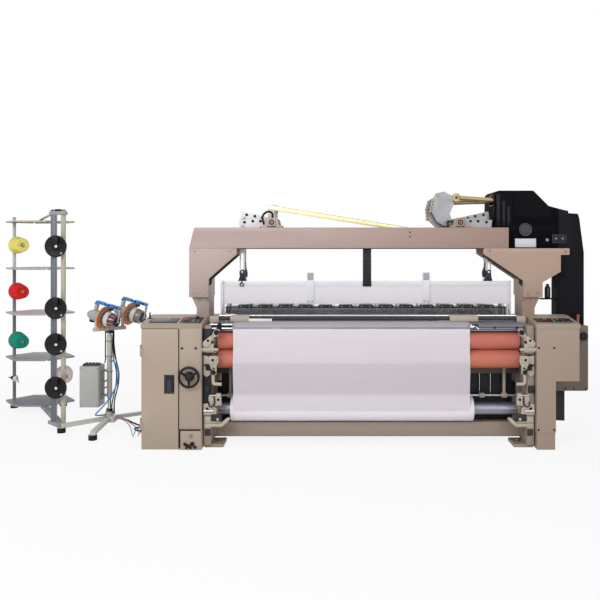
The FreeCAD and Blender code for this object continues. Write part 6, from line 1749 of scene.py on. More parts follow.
@dataclass
class Cabinets:
    """The control cabinet with its door, the right cover, the drive's cover and the motor."""

    shop: Workshop
    face: float = -650.0

    def build(self) -> None:
        """Builds the covers at both ends."""
        shop = self.shop
        shop.refined("control_cabinet", Finishes.COVER, 2.0)
        shop.refined("cabinet_door", Finishes.COVER, 2.0)
        shop.refined("door_latch", Finishes.SATIN_BLACK, 0.8)
        shop.refined("side_cover_right", Finishes.COVER, 2.5, 3)
        shop.refined("drive_cover", Finishes.DRIVE, 4.0, 3)
        self.service_panel()
        self.inside()
        self.latch()
        self.right_side()
        self.drive_side()
        self.motor()

    def service_panel(self) -> None:
        """Adds the panel beside the door, the lock below it and the side louvres."""
        shop, face = self.shop, self.face
        panel = shop.block((-1415, face - 2.4, 167), (-1266, face - 0.1, 909), 1.2)
        shop.fitted("service_panel", panel, Finishes.PANEL, "cover_paint")
        foot = shop.block((-1417, face - 1.6, 14), (-1264, face - 0.1, 154), 1.0)
        shop.fitted("service_foot", foot, Finishes.COVER, "cover_paint")
        screws = shop.bolts([(x, face - 2.4, 763) for x in (-1404, -1300)], FRONT, 8)
        shop.fitted("service_screws", screws, Finishes.BLACK, "black_plastic")
        lock = shop.turned(
            [(0, 0), (0, 14), (4, 14), (6, 11.5), (6, 5), (4.4, 4.6), (4.4, 0)], (-1338, face - 1.6, 106), FRONT, 36)
        shop.fitted("service_lock", lock, Finishes.BOLT, "bright_steel")
        rim = shop.turned([(0.1, 14), (0.1, 34), (2, 36), (5, 33), (5, 14)], (-1345, face - 2.4, 552), FRONT, 48)
        shop.fitted("handwheel_rim_plate", rim, Finishes.BLACK, "black_plastic")
        seams = [shop.block((-1417, face - 1.9, 143), (-1264, face - 0.1, 156), 0.8),
                 shop.block((-1428, face - 1.9, 14), (-1415, face - 0.1, 156), 0.8),
                 shop.block((-1430.5, face - 2.0, 156), (-1425, face - 0.1, 906), 0.6)]
        for x, z, radius, reach in ((-1382, 44, 13, 16), (-1358, 30, 15, 20), (-1326, 46, 16, 14), (-1306, 22, 12, 18),
                                    (-1338, 18, 9, 24), (-1372, 16, 9, 12)):
            seams.append(shop.turned(
                [(0, 0), (0, radius), (4, radius), (6, radius - 3), (reach, radius - 4), (reach, 0)],
                (x, face - 1.2, z), FRONT, 28))
        seams.append(shop.piped(
            [(-1358, face - 18, 30), (-1350, face - 34, 34), (-1334, face - 36, 40), (-1326, face - 14, 46)], 5))
        shop.fitted("service_dark_parts", seams, Finishes.BLACK, "black_plastic")
        slats = [shop.prism([(-570, z), (-350, z), (-350, z + 3), (-570, z + 3)], Plane.YZ,
                            -1713.0, -1711.0, 0.6, 1) for z in evenly(700, 820, 9)]
        shop.fitted("cabinet_louvres", slats, Finishes.COVER, "cover_paint")
        skirt = shop.block((-1706, -628, 1), (-1264, -250, 9.5), 1.0)
        shop.fitted("cabinet_skirt", skirt, Finishes.DARK, "dark_steel")

    def inside(self) -> None:
        """Fits the mounting plate, the units, the trunking and the seal behind the door."""
        shop, back = self.shop, -252.0
        plate = shop.block((-1700, back - 3, 30), (-1447, back, 890), 1.0)
        shop.fitted("mounting_plate", plate, Finishes.STEEL, "bright_steel")
        units, trunks, fronts = [], [], []
        for low, high, x0, x1, deep in (
                (60, 220, -1690, -1580, 150), (60, 220, -1570, -1460, 120), (300, 430, -1690, -1610, 90),
                (300, 430, -1600, -1530, 90), (300, 430, -1520, -1460, 90), (520, 650, -1690, -1570, 160),
                (520, 650, -1560, -1460, 110), (740, 840, -1690, -1460, 70)):
            units.append(shop.block((x0, back - 3 - deep, low), (x1, back - 3, high), 2.0))
            fronts.append(shop.block((x0 + 8, back - 5 - deep, low + 12), (x1 - 8, back - 2.9 - deep, low + 52), 1.0))
        for z in (246, 462, 680):
            trunks.append(shop.block((-1694, back - 48, z), (-1456, back - 3, z + 30), 1.5))
        shop.fitted("cabinet_units", units, Finishes.BOX, "box_grey")
        shop.fitted("cabinet_unit_fronts", fronts, Finishes.SATIN_BLACK, "black_plastic")
        shop.fitted("cabinet_trunking", trunks, Finishes.LABEL, "box_grey")
        seal = [shop.block(low, high, 1.0) for low, high in (
            ((-1702, -633, 14), (-1696, -632.1, 898)), ((-1446, -633, 14), (-1440, -632.1, 898)),
            ((-1702, -633, 892), (-1440, -632.1, 898)), ((-1702, -633, 14), (-1440, -632.1, 20)))]
        shop.fitted("door_seal", seal, Finishes.RUBBER, "cable_black", "door")

    def latch(self) -> None:
        """Rims the latch's recess and adds its key lock."""
        shop, face = self.shop, self.face
        rim = [shop.block(low, high, 0.8) for low, high in (
            ((-1538, face - 1.6, 422), (-1532, face - 0.1, 563)), ((-1467, face - 1.6, 422), (-1461, face - 0.1, 563)),
            ((-1532, face - 1.6, 557), (-1467, face - 0.1, 563)), ((-1532, face - 1.6, 422), (-1467, face - 0.1, 428)))]
        shop.fitted("latch_rim", rim, Finishes.SATIN_BLACK, "black_plastic", "door")
        barrel = shop.turned(
            [(0, 0), (0, 11), (2, 11), (3, 9.6), (3, 3), (1.6, 3), (1.6, 0)], (-1500, face + 2.1, 530), FRONT, 28)
        shop.fitted("latch_barrel", barrel, Finishes.SATIN_BLACK, "black_plastic", "latch")
        grip = shop.block((-1516, face - 1.4, 436), (-1483, face + 2.2, 522), 1.6, 3)
        shop.fitted("latch_grip", grip, Finishes.SCREEN, "black_plastic", "latch")

    def right_side(self) -> None:
        """Adds the right cover's screws, seams and folded top edge."""
        shop, face = self.shop, self.face
        places = [(x, face, z) for x, z in ((1273, 766), (1388, 766), (1270, 151), (1388, 151))]
        screws = shop.bolts(places, FRONT, 7)
        shop.fitted("right_cover_screws", screws, Finishes.BLACK, "black_plastic")
        seam = shop.block((1260, face - 1.6, 898), (1578, face - 0.1, 904), 0.6)
        foot = shop.block((1260, face + 2, 122), (1399, face + 6.2, 130), 1.0)
        shop.fitted("right_cover_edges", [seam, foot], Finishes.COVER, "cover_paint")

    def drive_side(self) -> None:
        """Adds the red cap on the post, the black knob and the drive cover's screws."""
        shop = self.shop
        cap = shop.turned([(0, 0), (0, 11), (2, 13), (12, 13), (16, 10), (17, 0)], (1728, -150, 953), UP, 32)
        shop.fitted("start_cap", cap, Finishes.RED, "red_plastic")
        knob = shop.turned(
            [(0, 0), (0, 12), (10, 14), (14, 32), (20, 34), (30, 33), (34, 28), (35, 0)], (1752, -200, 800), FRONT, 40)
        spots = [(1752 + 30 * math.cos(t), 800 + 30 * math.sin(t)) for t in around(8)]
        spokes = [shop.block((x - 5, -232, z - 5), (x + 5, -216, z + 5), 3.0) for x, z in spots]
        shop.fitted("brake_knob", [knob, *spokes], Finishes.BLACK, "black_plastic")
        places = [(x, -200, z) for x in (1610, 1680) for z in (376, 560, 860)] + [(1776, -200, 376)]
        shop.fitted("drive_cover_screws", shop.bolts(places, FRONT, 6), Finishes.BLACK, "black_plastic")
        ribs = [shop.block((1797.8, -120, z), (1799.0, 120, z + 6), 0.4, 1) for z in evenly(420, 560, 8)]
        shop.fitted("drive_cover_louvres", ribs, Finishes.DARK, "cover_paint")

    def motor(self) -> None:
        """Dresses the motor with cooling ribs, a fan cowl and its terminal box's lid."""
        shop, y, z = self.shop, 40.0, 235.0
        shop.refined("main_motor", Finishes.MOTOR, 1.5)
        ribs = []
        for turn in around(36):
            if abs(turn - math.pi / 2) < 0.55:
                continue
            rib = shop.block((1418, -2, 88), (1562, 2, 101), 0.8, 1)
            ribs.append(shop.moved(rib, shift((0, y, z)) @ Matrix.Rotation(turn - math.pi / 2, 4, "X")))
        shop.fitted("motor_ribs", ribs, Finishes.MOTOR, "motor_paint")
        cowl = shop.turned([
            (165, 90.4), (165, 98), (168, 100), (196, 98), (201, 92), (201, 60), (199, 58), (199, 90), (194, 94),
            (168, 94)], (1400, y, z), RIGHT, 64)
        shop.fitted("motor_cowl", cowl, Finishes.MOTOR, "motor_paint")
        lid = shop.block((1442, -4, 350.6), (1533, 84, 354), 1.2)
        shop.fitted("motor_box_lid", lid, Finishes.MOTOR, "motor_paint")
        heads = shop.bolts(
            [(1414, y + 97 * math.cos(t), z + 97 * math.sin(t)) for t in (0.4, 1.0, 2.2, 2.8, 3.6, 4.3, 5.1, 5.9)],
            RIGHT, 7)
        shop.fitted("motor_flange_bolts", heads, Finishes.BOLT, "bright_steel")


@dataclass
class Consoles:
    """The two sloping consoles with their screen, buttons and knobs."""

    shop: Workshop
    slope: float = 6.9
    front: float = -650.0
    top: float = 945.0
    sunk: float = -3.0

    @property
    def frame(self) -> Matrix:
        """Gives the consoles' own frame, with Z square to the slope."""
        return shift((0, self.front, self.top)) @ Matrix.Rotation(math.radians(self.slope), 4, "X")

    def build(self) -> None:
        """Builds both consoles."""
        for word in ("left", "right"):
            self.shop.refined("console_" + word, Finishes.CONSOLE, 2.5, 3)
            self.stop_button(word)
        self.left()
        self.right()
        self.seams()

    def sloped(self, name: str, pieces: Pieces, finish: Any, slot: str) -> None:
        """Lays pieces that were modelled level on the slope."""
        pieces = pieces if isinstance(pieces, list) else [pieces]
        for piece in pieces:
            self.shop.moved(piece, self.frame)
        self.shop.fitted(name, pieces, finish, slot)

    def stop_button(self, word: str) -> None:
        """Makes the red mushroom head and the yellow ring under it."""
        shop = self.shop
        x, y = {"left": (-1400, 150), "right": (1350, 131)}[word]
        head = shop.turned(
            [(-19, 0), (-19, 7.6), (4.5, 7.6), (5, 13.5), (7, 15.8), (10.5, 15.6), (13, 12.5), (14, 7), (14.2, 0)],
            (x, y, 0), UP, 48)
        shop.moved(head, self.frame)
        shop.standing_for("stop_head_" + word, head, "stop_button_" + word, Finishes.RED)
        collar = shop.turned([(0.1, 8.4), (0.1, 17), (1.2, 18), (1.6, 17), (1.6, 8.4)], (x, y, self.sunk), UP, 40)
        self.sloped("stop_collar_" + word, collar, Finishes.BOLT, "black_plastic")

    def keys(self, name: str, places: Sequence[Pair], floor: float, finish: Any, slot: str,
             radius: float = 9.0, high: float = 6.0) -> None:
        """Makes a row of round push buttons, each in its ring."""
        shop = self.shop
        rings = [shop.turned([(0.1, radius), (0.1, radius + 4), (2, radius + 3.4), (2, radius)],
                             (x, y, floor), UP, 32) for x, y in places]
        caps = [shop.turned(
            [(0.1, 0), (0.1, radius - 0.4), (high - 1.2, radius - 0.4), (high, radius - 1.6), (high + 0.3, 0)],
            (x, y, floor), UP, 32) for x, y in places]
        self.sloped(name + "_rings", rings, Finishes.BOLT, "bright_steel")
        self.sloped(name + "_caps", caps, finish, slot)

    def left(self) -> None:
        """Fits the screen, the keypad, the buttons and the signal post."""
        shop, sunk = self.shop, self.sunk
        bezel = shop.prism(box_outline(-1664, 44, -1456, 196), Plane.XY, sunk + 0.1, sunk + 5.5, 2.5, 3)
        self.sloped("terminal_bezel", bezel, Finishes.SATIN_BLACK, "black_plastic")
        pane = shop.block((-1652, 60, sunk + 5.4), (-1522, 186, sunk + 6.4), 0.4)
        self.sloped("terminal_screen", pane, Finishes.PANE, "black_plastic")
        pads = [shop.block((-1512 + 16 * i, 72 + 19 * j, sunk + 5.4),
                           (-1500 + 16 * i, 86 + 19 * j, sunk + 7.2), 0.8) for i in range(3) for j in range(6)]
        self.sloped("terminal_keys", pads, Finishes.PANE, "box_grey")
        self.keys("jog", [(-1338, 60), (-1304, 60)], sunk, Finishes.BLACK, "black_plastic")
        self.keys("start", [(-1338, 104)], sunk, Finishes.GREEN, "feeder_plastic")
        self.keys("lamp", [(-1304, 104), (-1304, 148), (-1338, 148)], sunk, Finishes.BOLT, "guard_white", 8.0, 4.0)
        plate = shop.block((-1434, 34, sunk + 0.05), (-1274, 246, sunk + 0.6), 0.2, 1)
        self.sloped("button_plate", plate, Finishes.BLACK, "black_plastic")
        self.keys("rocker", [(-1400, 60), (-1400, 98)], sunk, Finishes.BLACK, "black_plastic", 10.0, 8.0)
        knob = shop.turned([(0.1, 0), (0.1, 13), (6, 12), (12, 10.5), (13, 9), (13, 0)], (-1322, 206, sunk), UP, 36)
        bar = shop.block((-1334, 202.5, sunk + 10), (-1310, 209.5, sunk + 18), 1.5)
        self.sloped("selector_knob", [knob, bar], Finishes.BLACK, "black_plastic")
        post = shop.turned(
            [(0, 0), (0, 13), (3, 14), (7, 9), (10, 6), (44, 6), (48, 4.5), (49, 0)], (-1688, 190, 0), UP, 32)
        self.sloped("signal_post", post, Finishes.BLACK, "black_plastic")

    def right(self) -> None:
        """Fits the right console's buttons in their plate."""
        shop, sunk = self.shop, self.sunk
        plate = shop.block((1278, 64, sunk + 0.05), (1557, 207, sunk + 0.7), 0.2, 1)
        self.sloped("right_button_plate", plate, Finishes.BLACK, "black_plastic")
        self.keys("right_green", [(1420, 110)], sunk, Finishes.GREEN, "feeder_plastic")
        self.keys("right_dark", [(1456, 110), (1492, 110), (1528, 110)], sunk, Finishes.BLACK, "black_plastic")
        self.keys("right_lamp", [(1420, 160), (1456, 160)], sunk, Finishes.BOLT, "guard_white", 8.0, 4.0)
        self.keys("right_switch", [(1502, 162)], sunk, Finishes.BLACK, "black_plastic", 12.0, 12.0)

    def seams(self) -> None:
        """Adds the screws at the consoles' corners."""
        places = [(x, y, 0) for x in (-1698, -1270, 1270, 1570) for y in (14, 282)]
        screws = self.shop.bolts(places, UP, 4)
        self.sloped("console_screws", screws, Finishes.BOLT, "black_plastic")


@dataclass
class Handwheel:
    """The handwheel on the service panel."""

    shop: Workshop
    centre: Point = (-1345.0, -692.0, 552.0)
    ring: float = 72.4
    rim: float = 9.6

    def build(self) -> None:
        """Makes the rim, the spokes and the hub as one piece, and the spinner knob and the centre cap beside them."""
        shop, (x, y, z) = self.shop, self.centre
        parts = [shop.ring(self.centre, BACK, self.ring, self.rim, 64)]
        parts.append(shop.turned(
            [(-15, 0), (-15, 14), (-12, 24), (-8, 29), (11, 30), (12, 27), (12, 12), (94, 12), (96, 10), (96, 0)],
            self.centre, BACK, 48))
        for turn in (150, 270, 30):
            way = Vector((math.cos(math.radians(turn)), math.sin(math.radians(turn))))
            side = Vector((-way.y, way.x))
            line = [(way.x * r + side.x * w, way.y * r + side.y * w) for r, w in (
                (12, -22), (34, -10), (70, -8.5), (70, 8.5), (34, 10), (12, 22))]
            parts.append(shop.prism([(x + a, z + b) for a, b in line], Plane.XZ, y - 4.5, y + 4.5, 3.0, 3))
        shop.standing_for("handwheel_turned", parts, "handwheel", Finishes.BLACK)
        turn = math.radians(142)
        place = (x + self.ring * math.cos(turn), y - 6, z + self.ring * math.sin(turn))
        knob = shop.turned([(0, 0), (0, 7), (6, 8), (9, 13), (24, 14), (34, 12), (38, 7), (38, 0)], place, FRONT, 32)
        shop.fitted("spinner_knob", knob, Finishes.SATIN_BLACK, "black_plastic", "handwheel")
        cap = shop.turned([(0, 0), (0, 11), (1.5, 10), (2.5, 4), (2.5, 0)], (x, y - 14.9, z), FRONT, 32)
        shop.fitted("wheel_cap", cap, Finishes.SATIN_BLACK, "black_plastic", "handwheel")


@dataclass
class Feeders:
    """The two weft feeders, each modelled on its own axis with its nose along +X."""

    shop: Workshop
    middles: tuple[Point, ...] = ((-2171.0, 14.0, 921.0), (-1991.0, 173.0, 941.0))
    turn: float = -20.0
    tilt: float = 12.0
    drum: float = 61.5
    fingers: int = 10

    def build(self) -> None:
        """Builds both feeders, then joins what is alike."""
        made: dict[str, list[bpy.types.Object]] = {}
        for number, middle in enumerate(self.middles, start=1):
            turn = Matrix.Rotation(math.radians(self.turn), 4, "Z")
            tilt = Matrix.Rotation(math.radians(self.tilt), 4, "Y")
            spot = shift(middle) @ turn @ tilt
            for word, piece in self.parts().items():
                made.setdefault(word, []).append(self.shop.moved(piece, spot))
            self.flyer(number, spot)
        finishes = {
            "shell": (Finishes.FEEDER_GREY, "feeder_plastic"), "blue": (Finishes.FEEDER_BLUE, "feeder_plastic"),
            "ring": (Finishes.WHITE, "guard_white"), "core": (Finishes.DARK_RED, "red_plastic"),
            "fingers": (Finishes.BOLT, "bright_steel"), "black": (Finishes.BLACK, "black_plastic"),
            "yarn": (Finishes.CONE_PALE, "warp_yarn"), "eyes": (Finishes.WHITE, "guard_white")}
        for word, (finish, slot) in finishes.items():
            if word == "core":
                self.shop.fitted("feeder_core_grey", made[word].pop(), Finishes.DRUM_GREY, slot)
            piece = self.shop.fitted("feeder_" + word, made[word], finish, slot)
            if word == "shell":
                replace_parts(piece, "weft_feeders")

    def parts(self) -> dict[str, bpy.types.Object]:
        """Makes one feeder's fixed parts about the origin."""
        shop, drum = self.shop, self.drum
        shell = shop.turned([
            (-180, 0), (-180, 14), (-178, 20), (-170, 27), (-150, 39.5), (-120, 46), (-86, 51), (-84, 49), (-80, 49),
            (-78, 52), (-50, 55.6), (-40, 55.8), (-38.5, 52), (-38.5, 12), (-8, 12), (-8, 0)], (0, 0, 0), RIGHT, 56)
        arm = shop.prism([(-126, 44), (-96, 50), (-94, 103), (-40, 105.5), (-40, 118), (-106, 116), (-118, 104)],
                         Plane.XZ, -15.5, 15.5, 5.0, 3)
        nose = shop.prism(
            [(112, 108), (130, 112), (131, 62), (127, 14), (127, -10), (119, -10), (119, 18), (120, 60)], Plane.XZ, -9,
            9, 2.5)
        wings = [shop.prism([(x, 40), (x + 4, 40), (x + 4, 54 + x * 0.02), (x, 54 + x * 0.02)], Plane.XZ,
                            -34, 34, 1.0) for x in (-70, -62, -54)]
        blue = [
            shop.prism(
                [(-128, 98), (-112, 131), (-30, 129), (-24, 118), (-24, 106), (-96, 104), (-108, 92)], Plane.XZ, -19,
                19, 6.0, 3),
            shop.prism([(-14, 106), (-10, 128), (60, 130), (66, 118), (66, 106)], Plane.XZ, -22, 22, 6.0, 3),
            shop.prism([(72, 107), (76, 129), (118, 128), (132, 118), (130, 108)], Plane.XZ, -20, 20, 6.0, 3),
            shop.prism([(-4, -24), (50, -24), (56, -14), (56, 14), (50, 24), (-4, 24)], Plane.XY, 98.5, 108, 3.0)]
        rail = shop.block((-40, -11, 104), (122, 11, 114), 2.0)
        knobs = [shop.rod((x, -26, 119), (x, 26, 119), 8, 24, 2.0) for x in (18, 98)]
        sensor = shop.block((22, -13, 78), (52, 13, 103), 3.0)
        brake = shop.ring((114, 0, 0), RIGHT, 38, 5)
        socket = shop.block((-150, -14, -62), (-112, 14, -40), 3.0)
        core = shop.turned(
            [(-7.5, 0), (-7.5, 50), (-4, 53), (84, 51), (100, 40), (111, 36), (111, 0)], (0, 0, 0), RIGHT, 48)
        finger = shop.prism(
            [(-6, 50), (-6, drum), (70, drum), (88, drum - 2), (106, 46), (110, 38), (104, 38), (84, 50)], Plane.XZ,
            -7.5, 7.5, 2.5, 2)
        fingers = shop.joined(
            "f_fingers", shop.copied(finger, [Matrix.Rotation(turn, 4, "X") for turn in around(self.fingers)]))
        turns = [(x + 0.65 * math.cos(t), drum + 0.5 + 0.65 * math.sin(t)) for x in evenly(14, 52, 20)
                 for t in (math.pi, 2.2, 1.57, 0.9, 0.0)]
        yarn = shop.turned([(13, drum + 0.1), *turns, (53, drum + 0.1)], (0, 0, 0), RIGHT, 40)
        ring = shop.turned(
            [(-40, 50), (-44, 55), (-43, 72), (-40, 76), (-37.5, 76), (-36.5, 72), (-36.5, 50)], (0, 0, 0), RIGHT, 56)
        eyes = [shop.ring((x, 0, z), RIGHT, 4.6, 2.0, 28) for x, z in ((130.5, 0), (-180.5, 0))]
        return {
            "shell": shop.joined("f_shell", [shell, arm, nose, *wings]), "blue": shop.joined("f_blue", blue),
            "ring": ring, "core": core, "fingers": fingers,
            "black": shop.joined("f_black", [rail, *knobs, sensor, brake, socket]), "yarn": yarn,
            "eyes": shop.joined("f_eyes", eyes)}

    def flyer(self, number: int, spot: Matrix) -> None:
        """Makes the flyer: an orange dished rim on a dark hub, with its yarn eye."""
        shop, body = self.shop, f"flyer_{number}"
        rim = shop.turned(
            [(-31, 72), (-28.5, 92), (-27, 96.5), (-24, 97.8), (-18, 97.8), (-16.4, 96), (-16.4, 90), (-18, 70)],
            (0, 0, 0), RIGHT, 72)
        shop.moved(rim, spot)
        shop.standing_for(f"flyer_rim_{number}", rim, f"feeder_flyer_{number}", Finishes.ORANGE)
        hub = shop.turned(
            [(-33.6, 13), (-32, 40), (-30.6, 72.4), (-18.4, 72.4), (-19.6, 40), (-20, 13)], (0, 0, 0), RIGHT, 56)
        shop.fitted(f"flyer_hub_{number}", shop.moved(hub, spot), Finishes.FEEDER_GREY, "flyer_orange", body)
        eye = shop.ring((-17.6, 0, 86), RIGHT, 4.5, 1.6, 24)
        weight = shop.block((-18, -8, -92), (-15.5, 8, -78), 0.8)
        marks = shop.joined(f"flyer_marks_{number}", [eye, weight])
        shop.fitted(f"flyer_marks_{number}", shop.moved(marks, spot), Finishes.WHITE, "guard_white", body)


@dataclass
class Stand:
    """The feeders' stand: pole, legs and feet, and its control box."""

    shop: Workshop
    pole: Pair = (-2173.0, 127.0)
    low: Point = (-2369.0, -60.0, 192.0)
    high: Point = (-2208.0, 110.0, 530.0)

    def build(self) -> None:
        """Builds the stand."""
        shop = self.shop
        stand = shop.refined("feeder_stand", Finishes.STAND, 2.0)
        shop.region(stand, Finishes.RUBBER, lambda p: p.z < 36)
        shop.region(
            stand, Finishes.CHROME,
            lambda p: 215 < p.z < 806 and math.hypot(p.x - self.pole[0], p.y - self.pole[1]) < 24)
        shop.region(stand, Finishes.BRASS, lambda p: p.x > -2111.5 and p.z < 90 and p.y < 128)
        self.fittings()
        self.box()

    def fittings(self) -> None:
        """Adds the pole's collars and clamp screws, and the hoses' nuts."""
        shop = self.shop
        collars = [shop.turned(
            [(0, 16.2), (0, 25), (2, 27), (22, 27), (24, 25), (24, 16.2)], (*self.pole, z), UP, 36) for z in (122, 786)]
        shop.fitted("stand_collars", collars, Finishes.BLACK, "black_plastic")
        screws = [shop.rod((-2173, 101, z), (-2173, 84, z), 7, 20, 2.0) for z in (134, 798)]
        shop.fitted("collar_screws", screws, Finishes.BOLT, "bright_steel")
        nuts = []
        for y, z, radius in ((70, 70, 9.0), (92, 70, 9.0), (114, 62, 13.0)):
            nuts.append(shop.rod((-2111.8, y, z), (-2102, y, z), radius, 6, 1.0))
        for place, aim in (((-2173, 115, 560), (25, -27, 0)), ((-2191, 117, 93.5), (-27, -39, 4.5))):
            start, toward = Vector(place), Vector(aim).normalized()
            nuts.append(shop.rod(start + toward * 16, start + toward * 26, 11, 6, 1.0))
        shop.fitted("hose_nuts", nuts, Finishes.BRASS, "rod_brass")
        cables = [shop.piped(line, 5.0) for line in (
            [(-2180, 154, 800), (-2183, 155, 740), (-2182, 156, 640), (-2184, 155, 540), (-2182, 154, 430),
             (-2198, 146, 380), (-2214, 124, 372)],
            [(-2168, 156, 800), (-2169, 157, 700), (-2170, 156, 560), (-2170, 156, 420), (-2182, 154, 330),
             (-2214, 126, 318)],
            [(-2140, 120, 812), (-2142, 116, 740), (-2143, 118, 640), (-2132, 104, 560), (-2106, 92, 490),
             (-2100, 88, 400), (-2118, 92, 300), (-2140, 100, 214), (-2146, 92, 160), (-2136, 78, 112)],
            [(-2136, 130, 806), (-2136, 128, 700), (-2134, 128, 600), (-2104, 112, 530), (-2082, 104, 440),
             (-2094, 106, 330), (-2124, 108, 240), (-2124, 92, 170), (-2118, 82, 104)],
            [(-2138, 138, 700), (-2130, 140, 600), (-2112, 134, 520), (-2092, 130, 430), (-2104, 130, 320),
             (-2128, 126, 230), (-2132, 112, 160), (-2126, 96, 108)],
            [(-2206, 122, 810), (-2204, 118, 700), (-2206, 116, 610), (-2203, 118, 548), (-2212, 112, 536)],
        )]
        shop.fitted("pole_leads", cables, Finishes.RUBBER, "cable_black")
        sleeve = shop.turned(
            [(0, 16.3), (0, 21), (2, 22.5), (534, 22.5), (536, 21), (536, 16.3)], (*self.pole, 236), UP, 40)
        shop.fitted("pole_sleeve", sleeve, Finishes.STAND, "box_grey")
        ties = [shop.ring((-2173, 131, z), UP, 29, 1.6, 32) for z in (460, 590, 720)]
        shop.fitted("cable_ties", ties, Finishes.BLACK, "black_plastic")

    def box(self) -> None:
        """Refines the control box, and adds its lid's seam, screws, strip and sockets."""
        shop, low, high = self.shop, self.low, self.high
        box = shop.refined("stand_control_box", Finishes.BOX, 2.0)
        shop.region(box, Finishes.SATIN_BLACK, lambda p: p.z > high[2] + 1)
        seam = shop.block((low[0] + 5, low[1] - 1.6, low[2] + 6), (high[0] - 5, low[1] - 0.1, high[2] - 6), 1.2)
        shop.fitted("control_box_lid", seam, Finishes.BOX, "box_grey")
        places = [(x, low[1] - 1.6, z) for x in (low[0] + 14, high[0] - 14) for z in (low[2] + 16, high[2] - 16)]
        shop.fitted("control_box_screws", shop.bolts(places, FRONT, 4), Finishes.BOLT, "bright_steel")
        sockets = [shop.rod((x, 20, high[2] + 15.9), (x, 20, high[2] + 23), 9, 24, 1.5)
                   for x in evenly(low[0] + 36, high[0] - 36, 4)]
        shop.fitted("box_sockets", sockets, Finishes.BLACK, "black_plastic")
        fins = [shop.block((high[0] + 0.1, -30, z), (high[0] + 6, 80, z + 3), 0.6, 1) for z in evenly(250, 470, 14)]
        shop.fitted("box_fins", fins, Finishes.BOX, "box_grey")


